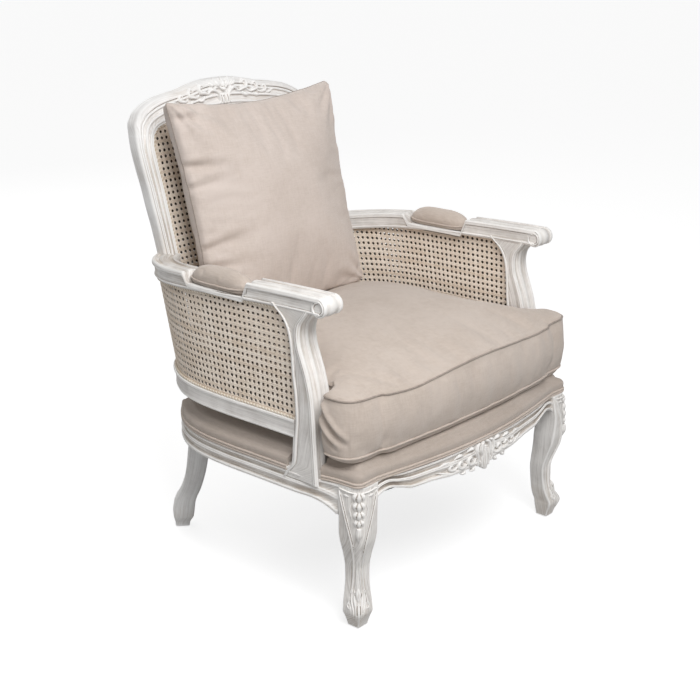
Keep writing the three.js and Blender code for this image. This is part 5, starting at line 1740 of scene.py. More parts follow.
@dataclass(frozen=True)
class Cane:
    """Cane woven by hand in four directions, with a twisted border."""

    pitch: float = 0.013
    pair: float = 0.0017  # from the middle of a pair of strands to each of them
    strand: float = 0.0016  # half the width of a strand
    thickness: float = 0.0008
    wave: float = 0.0003
    lap: float = 0.004
    outer_inset: float = 0.0095
    inner_inset: float = 0.037
    rear_depth: float = 0.0075
    front_depth: float = 0.0245
    border: float = 0.0017
    border_twist: float = 0.0085
    border_lift: float = 0.0035
    border_edge: float = 0.0025
    back_half: float = 0.236
    side_stagger: tuple[float, float] = (-0.0010, 0.0033)  # how far the inner sheet is woven off the outer
    back_stagger: tuple[float, float] = (-0.0017, 0.0026)

    def weave(self, low: tuple[float, float], high: tuple[float, float],
              inside: Callable[[np.ndarray, np.ndarray], np.ndarray],
              place: Lay,
              stagger: tuple[float, float]) -> Shape:
        """Weaves a sheet.

        Args:
            low: Lowest place of the sheet in its own plane.
            high: Highest place.
            inside: Which places of the plane the sheet covers.
            place: Puts places of the plane, with a height above it, on the chair.
            stagger: How far the pattern is moved in the plane.

        Returns:
            The strands as one shape.
        """
        reach = math.dist(low, high) / 2
        middle = (np.array(low) + np.array(high)) / 2
        half_pitch = self.pitch / 2
        sets = [(0, 0.0, (-self.pair, self.pair), 0), (90, 0.0, (-self.pair, self.pair), 1),
                (45, half_pitch / math.sqrt(2), (0.0,), 2), (135, half_pitch / math.sqrt(2), (0.0,), 3)]
        strands = []
        for angle, start, pairs, layer in sets:
            way = np.array([math.cos(math.radians(angle)), math.sin(math.radians(angle))])
            across = np.array([-way[1], way[0]])
            gap = self.pitch if layer < 2 else self.pitch / math.sqrt(2)
            origin = np.floor(middle / self.pitch) * self.pitch + np.array(stagger)
            count = int(reach / gap) + 2
            for number in range(-count, count + 1):
                for offset in pairs:
                    line = origin + across * (number * gap + offset + start)
                    strands += self.strands(line, way, reach, layer, number, inside, place)
        return Shape.joined(strands)

    def strands(self, line: np.ndarray, way: np.ndarray, reach: float, layer: int, number: int,
                inside: Callable[[np.ndarray, np.ndarray], np.ndarray], place: Lay) -> list[Shape]:
        """The runs of one line of the weave that lie inside the sheet.

        Args:
            line: A point of the line.
            way: Its direction.
            reach: How far it may run.
            layer: Which of the four directions it has.
            number: Its number among the lines of that direction.
            inside: Which places of the plane the sheet covers.
            place: Puts places of the plane on the chair.

        Returns:
            A shape for each run.
        """
        step = self.pitch / (4 if layer < 2 else 2 * math.sqrt(2))
        fine = 5
        at = np.arange(-reach * 1.1, reach * 1.1, step / fine)
        at -= at[0] % (step / fine)
        places = line + at[:, None] * way
        found = []
        for start, stop in runs_of(inside(places[:, 0], places[:, 1])):
            if stop - start < 2 * fine:
                continue
            pick = np.unique([start, *range(start + fine, stop - 1, fine), stop - 1])
            found.append(self.strand_shape(places[pick], at[pick], way, layer, number, place))
        return found

    def strand_shape(self, places: np.ndarray, at: np.ndarray, way: np.ndarray, layer: int, number: int,
                     place: Lay) -> Shape:
        """A strand with a rounded outer face, which passes over and under the others.

        Args:
            places: Places of its middle line in the plane.
            at: Distances along it.
            way: Its direction.
            layer: Which of the four directions it has.
            number: Its number among the lines of that direction.
            place: Puts places of the plane on the chair.

        Returns:
            The shape.
        """
        phase = number % 2 * math.pi
        lift = self.wave * np.cos(at / self.pitch * 2 * math.pi + phase) + self.wave * (1.6 - layer * 0.9)
        across = np.array([-way[1], way[0]]) * self.strand
        rows = [(-1.0, 0.0), (0.0, self.thickness), (1.0, 0.0)]
        rings = [place(*(places + side * across).T, lift + rise) for side, rise in rows]
        shape = Shape.lofted(np.stack(rings, axis=1))
        tone = (math.sin(number * 12.9898 + layer * 78.233) * 43758.5453) % 1
        shape.values["tone"] = np.full(len(shape.points), tone)
        return shape

    def rope(self, path: np.ndarray, radius: float) -> Shape:
        """A closed border of two strands twisted about each other.

        Args:
            path: Closed path of its middle.
            radius: Radius of a strand.

        Returns:
            The shape.
        """
        length = float(np.linalg.norm(np.diff(np.vstack([path, path[:1]]), axis=0), axis=1).sum())
        turns = round(length / self.border_twist)
        line = even_line(np.vstack([path, path[:1]]), turns * 8, closed=True)
        way = unit(np.roll(line, -1, axis=0) - np.roll(line, 1, axis=0))
        guide = unit(np.cross(way, line.mean(axis=0) - line))
        side = np.cross(way, guide)
        angle = np.arange(len(line)) / 8 * 2 * math.pi
        strands = []
        for start in (0.0, math.pi):
            swing = np.cos(angle + start)[:, None] * guide + np.sin(angle + start)[:, None] * side
            strand = Shape.tube(line + swing * radius * 0.55, radius, 6, closed=True)
            strand.values["tone"] = np.full(len(strand.points), 0.25 + 0.5 * (start > 0))
            strands.append(strand)
        return Shape.joined(strands)

    # Sides

    def side_table(self) -> tuple[np.ndarray, np.ndarray]:
        """Distances along a side at its middle height, and the steps that they belong to.

        Returns:
            The distances and the steps.
        """
        steps = np.linspace(0, 1, 400)
        line = PLAN.outline(steps, 0.53)
        return np.concatenate([[0], np.cumsum(np.linalg.norm(np.diff(line, axis=0), axis=1))]), steps

    def side_sheet(self, side: Side, inset: float, arms: Arms) -> Shape:
        """A woven sheet of one side.

        Args:
            side: Left or right.
            inset: How far the sheet lies in from the outer face.
            arms: The arms, whose sizes it takes.

        Returns:
            The shape.
        """
        lengths, steps = self.side_table()
        low = arms.lower_high - self.lap

        def inside(along: np.ndarray, height: np.ndarray) -> np.ndarray:
            """Whether places lie between the rails and behind the arm post.

            Args:
                along: Distances along the side.
                height: Heights.

            Returns:
                Whether each place is covered.
            """
            step = np.interp(along, lengths, steps)
            top = PLAN.arm_top(step) - PLAN.arm_thickness + self.lap
            rear = -table_at(arms.post, np.clip(height, 0.3, 0.654))[:, 1] + SHIFT - self.lap
            y = PLAN.outline(step, height)[:, 1]
            return (along > 0) & (along < lengths[-1]) & (height > low) & (height < top) & (y > rear)

        def place(along: np.ndarray, height: np.ndarray, lift: np.ndarray) -> np.ndarray:
            """Places on the chair; the outer sheet shows its rounded face outwards."""
            outward = 1 if inset < 0.02 else -1
            return PLAN.on_side(side, np.interp(along, lengths, steps), height, inset - lift * outward)

        stagger = (0.0, 0.0) if inset < 0.02 else tuple(side.value * part for part in self.side_stagger)
        return self.weave((0.0, low), (lengths[-1], 0.66), inside, place, stagger)

    def side_border(self, side: Side, arms: Arms) -> np.ndarray:
        """Path of the border round the opening of one side.

        Args:
            side: Left or right.
            arms: The arms, whose sizes it takes.

        Returns:
            Points of the closed path.
        """
        inset, edge = self.outer_inset - self.border_lift, self.border_edge
        heights = np.linspace(arms.lower_high + edge, 0.634, 24)
        steps = np.linspace(0.055, 0.985, 80)
        rear = -table_at(arms.post, heights)[:, 1] + SHIFT + edge
        grid = np.linspace(0.0, 0.4, 200)
        front = [float(np.interp(y, PLAN.outline(grid, z)[:, 1], grid)) for y, z in zip(rear, heights)]
        tops = PLAN.arm_top(steps) - PLAN.arm_thickness - edge
        first = float(np.interp(front[-1], steps, tops))
        bottom = [(step, arms.lower_high + edge) for step in steps[::-1] if step > front[0]]
        upward = [(step, z) for step, z in zip(front, heights) if z < first - 0.004]
        top = [(step, z) for step, z in zip(steps, tops) if step > front[-1] + 0.006]
        keys = np.array([*bottom, *upward, *top])
        return PLAN.on_side(side, keys[:, 0], keys[:, 1], np.full(len(keys), inset))

    # Back

    def back_sheet(self, depth: float, facing: int, back: BackFrame) -> Shape:
        """A woven sheet of the back.

        Args:
            depth: Distance from the rear face of the back.
            facing: 1 where its glossy face looks forwards, -1 where it looks back.
            back: The frame of the back, whose sizes it takes.

        Returns:
            The shape.
        """
        inner, _ = back.inner_edge(90)
        low = back.opening_low - self.lap

        def inside(x: np.ndarray, height: np.ndarray) -> np.ndarray:
            """Whether places lie inside the opening of the back, or just under its edge.

            Args:
                x: Places across.
                height: Heights.

            Returns:
                Whether each place is covered.
            """
            half = back.half_widths(np.clip(height, 0.34, 0.9))[:, 1]
            top = np.interp(np.abs(x), inner[::-1, 0], inner[::-1, 1])
            below = (height <= 0.9) & (np.abs(x) < half + self.lap)
            above = (height > 0.9) & (np.abs(x) < inner[0, 0] + self.lap) & (height < top + self.lap)
            return (below | above) & (height > low)

        def place(x: np.ndarray, height: np.ndarray, lift: np.ndarray) -> np.ndarray:
            """Places on the chair."""
            return PLAN.on_back(x, height, depth + facing * lift)

        stagger = (0.0, 0.0) if facing > 0 else self.back_stagger
        return self.weave((-self.back_half, low), (self.back_half, 0.94), inside, place, stagger)

    def back_border(self, depth: float, back: BackFrame) -> np.ndarray:
        """Path of the border round the opening of the back.

        Args:
            depth: Distance from the rear face of the back.
            back: The frame of the back, whose sizes it takes.

        Returns:
            Points of the closed path.
        """
        edge = self.border_edge
        heights = np.linspace(back.opening_low + edge, 0.895, 40)
        half = back.half_widths(heights)[:, 1] - edge
        inner, _ = back.inner_edge(60)
        crest = inner[inner[:, 0] < half[-1] - 0.002] - np.array([0, edge])
        right = np.vstack([np.c_[half, heights], crest])
        across = np.linspace(-half[0], half[0], 30)[1:-1]
        foot = np.c_[across, np.full(len(across), heights[0])]
        keys = np.vstack([foot, right, right[::-1] * np.array([-1, 1])])
        return PLAN.on_back(keys[:, 0], keys[:, 1], depth)

    @staticmethod
    def show_sheet(name: str, sheet: Shape, node: str, outward: Callable[[np.ndarray], np.ndarray]) -> None:
        """Shows a sheet, with the rear faces of its strands painted dark as painted shade between the sheets.

        Args:
            name: Name of the piece.
            sheet: The woven strands.
            node: Node of the frame that it stands for.
            outward: Which way the glossy face of the sheet looks at places on it.
        """
        mesh = sheet.mesh(name)
        piece = show(name, mesh, CANE, replaces=[node])
        mesh.materials.append(SHADED_CANE_REAR.material())
        count = len(mesh.polygons)
        facing, middle = np.empty(count * 3), np.empty(count * 3)
        mesh.polygons.foreach_get("normal", facing)
        mesh.polygons.foreach_get("center", middle)
        # Painted shade: faces that look away from the glossy side get the dark rear material.
        ahead = np.sum(facing.reshape(-1, 3) * outward(middle.reshape(-1, 3)), axis=1)
        piece.data.polygons.foreach_set("material_index", (ahead < 0).astype(np.int32))

    def build(self, arms: Arms, back: BackFrame) -> None:
        """Makes the canes of the sides and of the back with their borders.

        Args:
            arms: The arms.
            back: The frame of the back.
        """
        flat = np.array([1.0, 1.0, 0.0])
        for side in Side:
            prefix = side.prefix
            for place, inset, sign in (("outer", self.outer_inset, 1), ("inner", self.inner_inset, -1)):
                node = f"{prefix}_cane_{place}"
                self.show_sheet(f"{node}_woven", self.side_sheet(side, inset, arms), node,
                                lambda middle, sign=sign: middle * flat * sign)
            rope = self.rope(self.side_border(side, arms), self.border).mesh(f"{prefix}_cane_border")
            show(rope.name, rope, BINDER, replaces=[f"{prefix}_cane_binder"])
        for place, depth, facing in (("rear", self.rear_depth, -1), ("front", self.front_depth, 1)):
            node = f"back_cane_{place}"
            self.show_sheet(f"{node}_woven", self.back_sheet(depth, facing, back), node,
                            lambda middle, facing=facing: np.array([0.0, -facing, 0.0]))
            rope = self.rope(self.back_border(depth + facing * self.border_lift, back), self.border)
            border = rope.mesh(f"back_border_{place}")
            show(border.name, border, BINDER, replaces=[f"back_binder_{place}"])


# Upholstery


@dataclass(frozen=True)
class Filling:
    """How a cover is filled: its cloth is simulated under pressure, held at its seams."""

    voxel: float  # size of the facets that the cloth is made of
    cap: float  # the furthest that a point may move
    growth: float  # how much larger the cloth is cut than the cover is drawn
    pressure: float = 3.0
    frames: int = 20

    def plump(self, mesh: bpy.types.Mesh, pinned: Callable[[np.ndarray], np.ndarray]) -> bpy.types.Mesh:
        """Fills a cover and smooths it.

        Args:
            mesh: The closed cover, a little smaller than it ends up.
            pinned: How firmly a seam holds each place, from 0 to 1.

        Returns:
            The filled cover.
        """
        cover = regridded(mesh, self.voxel)
        start = positions(cover)
        moved = self.settle(cover, pinned(start)) - start
        far = np.linalg.norm(moved, axis=1, keepdims=True)
        moved *= np.minimum(1.0, self.cap / np.maximum(far, 1e-9))
        move_points(cover, start + moved)
        smoothed(cover, 2)
        return subdivided(cover)

    def settle(self, mesh: bpy.types.Mesh, hold: np.ndarray) -> np.ndarray:
        """Runs the cloth simulation.

        Args:
            mesh: The cover.
            hold: How firmly each of its points is held, from 0 to 1.

        Returns:
            Where the points end up.
        """
        scene = bpy.context.scene
        holder = linked("cloth", mesh.copy())
        group = holder.vertex_groups.new(name="seams")
        for level in np.unique(np.round(hold[hold > 0.01], 1)):
            rows = np.flatnonzero(np.abs(hold - level) <= 0.05).tolist()
            group.add(rows, float(level), "REPLACE")
        cloth = holder.modifiers.new("cloth", "CLOTH")
        use = cloth.settings
        use.quality = 6
        use.mass = 0.25
        use.tension_stiffness = use.compression_stiffness = 18
        use.shear_stiffness = 6
        use.bending_stiffness = 0.12
        use.air_damping = 2.0
        use.use_pressure = True
        use.uniform_pressure_force = self.pressure
        use.shrink_min = -self.growth
        use.vertex_group_mass = "seams"
        use.effector_weights.gravity = 0
        cloth.point_cache.frame_start, cloth.point_cache.frame_end = 1, self.frames
        for frame_number in range(1, self.frames + 1):
            scene.frame_set(frame_number)
        graph = bpy.context.evaluated_depsgraph_get()
        settled = holder.evaluated_get(graph).to_mesh()
        found = positions(settled)
        bpy.data.objects.remove(holder)
        scene.frame_set(1)
        return found


def smoothed(mesh: bpy.types.Mesh, passes: int) -> None:
    """Evens out a mesh by drawing each point towards its neighbours.

    Args:
        mesh: The mesh.
        passes: How many times its points are drawn in.
    """
    first, second = edge_ends(mesh)
    places = positions(mesh)
    count = np.bincount(np.concatenate([first, second]), minlength=len(places)).astype(float)[:, None]
    for _ in range(passes):
        total = np.zeros_like(places)
        for axis in range(3):
            total[:, axis] += np.bincount(first, places[second, axis], len(places))
            total[:, axis] += np.bincount(second, places[first, axis], len(places))
        places += 0.5 * (total / np.maximum(count, 1) - places)
    move_points(mesh, places)


def pushed(mesh: bpy.types.Mesh, depth: Callable[[np.ndarray], np.ndarray]) -> None:
    """Moves the points of a mesh along their normals by a depth that depends on the place.

    Args:
        mesh: The mesh.
        depth: Gives the depth for each place.
    """
    places = positions(mesh)
    move_points(mesh, places + normals(mesh) * depth(places)[:, None])
    mesh.update()


def subdivided(mesh: bpy.types.Mesh) -> bpy.types.Mesh:
    """The same mesh, divided smoothly once."""
    return refined(mesh, lambda piece: piece.modifiers.new("divide", "SUBSURF"))


def laid_on(path: np.ndarray, mesh: bpy.types.Mesh, lift: float, reach: float = 0.04) -> np.ndarray:
    """Moves a path onto the surface of a mesh.

    Args:
        path: Points near the surface.
        mesh: The mesh.
        lift: How far above its surface the path ends up.
        reach: How far off the surface may be.

    Returns:
        The points on the surface, evened out along the path.
    """
    work = bmesh.new()
    work.from_mesh(mesh)
    tree = BVHTree.FromBMesh(work)
    work.free()
    found = []
    for point in path:
        place, normal, _, _ = tree.find_nearest(Vector(point), reach)
        found.append(np.array(point) if place is None else np.array(place + normal * lift))
    line = np.array(found)
    for _ in range(3):
        line = 0.5 * line + 0.25 * (np.roll(line, 1, axis=0) + np.roll(line, -1, axis=0))
    return line


def offset(outline: np.ndarray, distance: float) -> np.ndarray:
    """Moves a closed anticlockwise outline outwards."""
    way = unit(np.roll(outline, -1, axis=0) - np.roll(outline, 1, axis=0))
    return outline + distance * np.c_[way[:, 1], -way[:, 0]]


def rounded(corners: Sequence[tuple[float, float, float]], fineness: int = 8) -> np.ndarray:
    """A line through corners, each rounded off with a radius.

    Args:
        corners: Place and radius of each corner.
        fineness: How many points an arc has.

    Returns:
        Points of the line.
    """
    points = [np.array(corners[0][:2], float)]
    for before, here, after in zip(corners, corners[1:], corners[2:]):
        corner = np.array(here[:2], float)
        back, ahead = (np.array(other[:2], float) - corner for other in (before, after))
        start = corner + unit(back[None])[0] * here[2]
        end = corner + unit(ahead[None])[0] * here[2]
        for t in np.linspace(0, 1, fineness if here[2] else 1):
            points.append((1 - t) ** 2 * start + 2 * t * (1 - t) * corner + t**2 * end)
    points.append(np.array(corners[-1][:2], float))
    return np.array(points)


def both_halves(half: np.ndarray, count: int) -> np.ndarray:
    """Closes an outline whose right half runs from the middle of the front to the middle of the rear.

    Args:
        half: Points of the right half.
        count: How many points the whole outline gets.

    Returns:
        Points of the closed outline.
    """
    mirror = half[1:-1][::-1] * np.array([-1, 1])
    whole = np.vstack([half, mirror, half[:1]])
    return even_line(whole, count, closed=True)


def level_ring(outline: np.ndarray, height: float) -> np.ndarray:
    """Points of a plan, put at a height."""
    return np.c_[outline, np.full(len(outline), height)]


def drawn_in(outline: np.ndarray, inset: float, middle: float, even: float = 0.0056) -> np.ndarray:
    """Draws an outline in, evenly at first and then towards a place on the middle line.

    Args:
        outline: Points in plan.
        inset: How far the outline is drawn in.
        middle: Place on the middle line, along Y.
        even: How much of the inset is at right angles to the outline.

    Returns:
        The points of the smaller outline.
    """
    near = offset(outline, -min(inset, even))
    centre = np.array([0.0, middle])
    reach = float(np.abs(outline[:, 0]).max())
    return centre + (near - centre) * (1 - max(0.0, inset - even) / reach)


@dataclass(frozen=True)
class TightSeat:
    """The stuffed seat under the cushion, with double welting along its foot."""

    low: float = 0.3125
    top: float = 0.3545
    inset: float = 0.024  # from its foot to its flat top
    cord: float = 0.0028
    cord_levels: tuple[float, float] = (0.95, 2.85)  # as shares of the radius of a cord
    cord_sink: float = 0.62
    post_gap: float = 0.0006
    middle: float = -0.05

    def outline(self, seat: SeatFrame, count: int = 420) -> np.ndarray:
        """Outline of the seat, from the middle of the front to the right.

        Args:
            seat: The seat frame that it stands on.
            count: How many points it has.

        Returns:
            Points in plan.
        """
        xs = np.linspace(0, seat.rail_half, 40)
        front = np.c_[xs, seat.face(xs)]
        side, _ = seat.side_line(np.linspace(0, 0.985, 60))
        leg_corner = (seat.leg_x + seat.leg_side / 2, -(seat.leg_y + seat.leg_side / 2) + SHIFT, 0.02)
        corner = rounded([(seat.rail_half, front[-1, 1], 0), leg_corner, (side[0, 0], side[0, 1], 0)])
        rear_y = PLAN.frame_rear + SHIFT
        rear = np.array([[PLAN.seat_rear_half - 0.004, rear_y], [0.0, rear_y]])
        return both_halves(np.vstack([front[:-1], corner, side[1:], rear]), count)

    def blocks(self) -> list[tuple[tuple[float, float], tuple[float, float]]]:
        """Plan of the posts that pass through the seat on the right, as low and high corners.

        Returns:
            Low and high corner of each post.
        """
        gap = self.post_gap
        leg_x = PLAN.seat_rear_half - BackFrame.post_width - gap
        leg_y = PLAN.frame_rear - BackFrame.post_depth + SHIFT - gap
        return [((0.330 - gap, -0.2625 + SHIFT - gap), (0.40, -0.182 + SHIFT + gap)),
                ((leg_x, leg_y), (0.30, 0.30))]

    def clear(self, points: np.ndarray) -> np.ndarray:
        """Whether points of the plan lie outside the posts.

        Args:
            points: Points in plan.

        Returns:
            Whether each point is free.
        """
        free = np.ones(len(points), bool)
        for (x0, y0), (x1, y1) in self.blocks():
            x, y = np.abs(points[:, 0]), points[:, 1]
            free &= ~((x > x0) & (x < x1) & (y > y0) & (y < y1))
        return free

    def stuffed(self, seat: SeatFrame) -> bpy.types.Mesh:
        """The stuffed top with its posts cut out.

        Args:
            seat: The seat frame that it stands on.

        Returns:
            The mesh.
        """
        outline = self.outline(seat)
        levels = [(self.low, 0.007), (self.low, 0.0035), (0.3225, 0.0021), (0.3305, 0.0009), (0.3360, 0.0020),
                  (0.3400, 0.0056), (0.3420, 0.011), (0.3430, 0.016), (0.3500, 0.020), (self.top, self.inset)]
        rings = [level_ring(drawn_in(outline, inset, self.middle), z) for z, inset in levels]
        inner = drawn_in(outline, self.inset, self.middle)
        rings += [level_ring(inner * share, self.top) for share in (0.85, 0.6, 0.3)]
        mesh = Shape.lofted(np.array(rings), along=False).mesh("tight_seat")
        cutters = []
        for (x0, y0), (x1, y1) in self.blocks():
            for sign in (-1, 1):
                ring = np.array([(x0, y0), (x1, y0), (x1, y1), (x0, y1)]) * np.array([sign, 1])
                pair = [level_ring(ring, z) for z in (0.30, 0.37)]
                cutters.append(Shape.lofted(np.array(pair), along=False))
        tool = linked("tool", Shape.joined(cutters).mesh("tool"))

        def cut(piece: bpy.types.Object) -> None:
            """Takes the posts out of the seat."""
            away = piece.modifiers.new("posts", "BOOLEAN")
            away.operation, away.object = "DIFFERENCE", tool

        made = refined(mesh, cut)
        bpy.data.objects.remove(tool)
        return made

    def welting(self, seat: SeatFrame) -> Shape:
        """Two cords along the foot of the seat, from post to post.

        Args:
            seat: The seat frame that it stands on.

        Returns:
            The shape.
        """
        count, shortest = 1400, 20
        outline = np.roll(self.outline(seat, count), count // 2, axis=0)
        free = self.clear(outline) & (outline[:, 1] < PLAN.frame_rear + SHIFT - 0.001)
        line = offset(outline, -self.cord * self.cord_sink)
        cords = []
        for start, stop in runs_of(free):
            if stop - start < shortest:
                continue
            for level in self.cord_levels:
                run = level_ring(line[start:stop], self.low + self.cord * level)
                cords.append(Shape.tube(even_line(run, max(12, (stop - start) // 3)), self.cord, 10))
        return Shape.joined(cords)

    def rear_welting(self) -> Shape:
        """Two cords across the back of the seat.

        Returns:
            The shape.
        """
        half = PLAN.seat_rear_half - 0.0415
        y = PLAN.frame_rear + SHIFT - self.cord * self.cord_sink
        line = np.array([(x, y) for x in np.linspace(-half, half, 24)])
        levels = [self.low + self.cord * level for level in self.cord_levels]
        return Shape.joined(Shape.tube(level_ring(line, level), self.cord, 10) for level in levels)

    def build(self, seat: SeatFrame) -> None:
        """Makes the stuffed seat and its welting.

        Args:
            seat: The seat frame that it stands on.
        """
        mesh = self.stuffed(seat)
        mark_hollows(mesh)
        top = show("tight_seat", mesh, SHADED_DECK_LINEN, replaces=["seat_deck"], crease=60)
        for place, cords in (("seat", self.welting(seat)), ("rear", self.rear_welting())):
            name = f"{place}_welting_cords"
            show(name, cords.mesh(name), LINEN, replaces=[f"{place}_welting"])


@dataclass(frozen=True)
class SeatCushion:
    """The loose T-shaped cushion of the seat."""

    front: float = 0.345
    bow: float = 0.023
    ear_half: float = 0.381
    ear_rear: float = 0.266
    body_half: float = 0.326
    rear: float = 0.213
    middle: float = -0.06
    under: float = 0.3556
    low_seam: float = 0.371
    high_seam: float = 0.489
    ear_round: float = 0.045
    ear_middle: float = -0.30
    # Where the front edge sags or lifts: place across, width and height
    waves: tuple[tuple[float, float, float], ...] = (
        (-0.21, 0.085, -0.0085), (0.02, 0.10, 0.005), (0.24, 0.07, -0.004),
    )
    # Folds of the ends: depth from the front and height of both ends, width and depth
    folds: tuple[tuple[float, float, float, float, float, float], ...] = (
        (0.085, 0.470, 0.012, 0.392, 0.0060, 0.0085), (0.088, 0.440, 0.035, 0.384, 0.0055, 0.0080),
    )
    crown: float = 0.038
    crown_power: float = 2.3
    piping: float = 0.0024
    filling: Filling = Filling(voxel=0.0065, cap=0.022, growth=0.012)
    # Rear corner: half width and depth
    corner: tuple[tuple[float, float], ...] = (
        (0.326, 0.06), (0.318, 0.117), (0.294, 0.164), (0.258, 0.198), (0.222, 0.211),
    )

    def outline(self, count: int = 520) -> np.ndarray:
        """Outline of the cushion in plan.

        Args:
            count: How many points it has.

        Returns:
            Points in plan.
        """
        margin = 0.03
        xs = np.linspace(0, self.ear_half - margin, 30)
        xs = xs[xs < self.ear_half - self.ear_round - margin]
        front = np.c_[xs, -self.front - self.bow * np.cos(xs / self.ear_half * math.pi / 2)]
        ear = rounded([
            (xs[-1] - 0.02, -self.front, 0), (self.ear_half, -self.front, self.ear_round),
            (self.ear_half, -self.ear_rear, 0.016), (self.body_half, -self.ear_rear, 0.012),
            (self.body_half, 0.0, 0),
        ])
        rear = curve_through([(self.body_half, 0.0), *self.corner, (0.1, self.rear), (0.0, self.rear)], 60)
        half = np.vstack([front[:-1], ear, rear[1:]])
        return both_halves(half, count) + np.array([0, SHIFT])

    def drawn(self) -> bpy.types.Mesh:
        """The cover before it is filled.

        Returns:
            The closed cover.
        """
        outline, low, high, rim_inset = self.outline(), self.low_seam, self.high_seam, 0.0085
        levels = [(self.under, 0.020), (self.under + 0.003, 0.013), (low - 0.003, 0.0045), (low, 0.001),
                  (low + 0.012, 0.0012), ((low + high) / 2, -0.0005), (high - 0.012, 0.0008), (high, 0.001),
                  (high + 0.0025, 0.003), (high + 0.006, rim_inset)]
        rings = [level_ring(drawn_in(outline, inset, self.ear_middle), z) for z, inset in levels]
        rim = offset(outline, -rim_inset)
        middle = np.array([0, self.middle + SHIFT])
        for share in (0.93, 0.85, 0.76, 0.62, 0.45, 0.25, 0.08):
            height = high + 0.004 + self.crown * (1 - share**self.crown_power)
            rings.append(level_ring(middle + (rim - middle) * share, height))
        shape = Shape.lofted(np.array(rings), along=False)
        shape.points[:, 2] += self.sag(shape.points)
        return shape.mesh("seat_cushion")

    def sag(self, places: np.ndarray) -> np.ndarray:
        """How far the front edge of the top lies above or below its drawn height.

        Args:
            places: Points of the cover.

        Returns:
            A rise for each point, below 0 where it sags.
        """
        x, y, z = places.T
        near = smoothstep(-0.22, -0.33, y - SHIFT) * smoothstep(self.low_seam + 0.02, self.high_seam, z)
        waves = [rise * np.exp(-(((x - middle) / width) ** 2)) for middle, width, rise in self.waves]
        return near * sum(waves)

    def held(self, places: np.ndarray) -> np.ndarray:
        """How firmly the two seams and the underside hold the cover.

        Args:
            places: Points of the cover.

        Returns:
            How firmly each point is held, from 0 to 1.
        """
        firm = np.zeros(len(places))
        height = places[:, 2] - self.sag(places)
        for seam in (self.low_seam, self.high_seam):
            firm = np.maximum(firm, 1 - smoothstep(0.003, 0.006, np.abs(height - seam)))
        inner = (height > self.high_seam + 0.0015) & (self.edge_distance(places) > 0.012)
        firm[inner] = 0
        return np.where(height < self.low_seam - 0.002, 1.0, firm)

    def edge_distance(self, places: np.ndarray) -> np.ndarray:
        """Distance in plan from the outline.

        Args:
            places: Points of the cover.

        Returns:
            A distance for each point.
        """
        outline = self.outline(260)
        gaps = places[:, None, :2] - outline[None]
        return np.sqrt((gaps**2).sum(axis=2)).min(axis=1)

    def creases(self, places: np.ndarray) -> np.ndarray:
        """Folds of the cover: at its ears, along the boxing, and shallow ones on top.

        Args:
            places: Points of the cover.

        Returns:
            How far each point is pushed out.
        """
        x, y, z = places.T
        y = y - SHIFT
        wall = smoothstep(self.low_seam - 0.004, self.low_seam + 0.012, z)
        wall = wall * (1 - smoothstep(self.high_seam - 0.02, self.high_seam - 0.004, z))
        # The end of each ear sags in long folds from its front corner
        ear = smoothstep(self.ear_half - 0.02, self.ear_half - 0.006, np.abs(x)) * wall
        fold = np.zeros(len(x))
        for depth_high, high, depth_low, low, width, sink in self.folds:
            start = np.array([depth_high - self.front, high])
            end = np.array([depth_low - self.front, low])
            reach = float(np.linalg.norm(end - start))
            way = (end - start) / reach
            along = (y - start[0]) * way[0] + (z - start[1]) * way[1]
            away = ((y - start[0]) * way[1] - (z - start[1]) * way[0]) / width
            run = smoothstep(-0.02, 0.01, along) * (1 - smoothstep(reach * 0.55, reach * 1.1, along))
            fold += ear * run * sink * (0.6 * np.exp(-((away - 1.8) ** 2)) - np.exp(-(away**2)))
        # The filling rounds the front and the ends out at the middle of their height
        front = smoothstep(-0.32, -0.335, y) * wall
        height = np.clip((z - self.low_seam) / (self.high_seam - self.low_seam), 0, 1)
        fold = fold + np.maximum(front, ear) * 0.0050 * np.sin(height * math.pi)
        # Soft upright folds of the front
        upright = np.sin(x * 61 + 1.1) + 0.7 * np.sin(x * 113 + z * 30) + 0.5 * np.sin(x * 37)
        fold = fold + front * 0.0011 * upright
        # Shallow dents and gathers on top
        top = smoothstep(self.high_seam, self.high_seam + 0.012, z)
        rim = np.exp(-((np.abs(y + 0.345) / 0.055) ** 2))
        fold = fold + top * rim * 0.0014 * np.sin(x * 95 + 8 * y) * smoothstep(0.36, 0.2, np.abs(x))
        dents = np.sin(x * 17 + 1.3) * np.sin(y * 15 + 0.4) + 0.5 * np.sin(x * 29 - y * 23)
        return fold + top * 0.0016 * dents

    def build(self) -> None:
        """Makes the cushion with its piping."""
        cover = self.filling.plump(self.drawn(), self.held)
        pushed(cover, self.creases)
        outline = offset(self.outline(900), 0.002)
        cords = {}
        seams = (("top", self.high_seam, self.piping * 0.85), ("foot", self.low_seam, self.piping))
        for place, seam, radius in seams:
            line = level_ring(outline, seam)
            line[:, 2] += self.sag(line)
            path = laid_on(line, cover, 0.0004)
            path[:, 2] = 0.3 * path[:, 2] + 0.7 * line[:, 2]
            cords[place] = Shape.tube(path, radius, 8, closed=True)
        mark_hollows(cover, 3)
        piece = show("seat_cushion_filled", cover, LINEN, "seat_cushion",
                     ["seat_cushion_cover", "seat_cushion_foam", "seat_cushion_zip"], crease=80)
        for (place, cord), finish in zip(cords.items(), (SHADED_SEAM, LINEN)):
            name = f"seat_cushion_piping_{place}"
            show(name, cord.mesh(name), finish, "seat_cushion", crease=80)


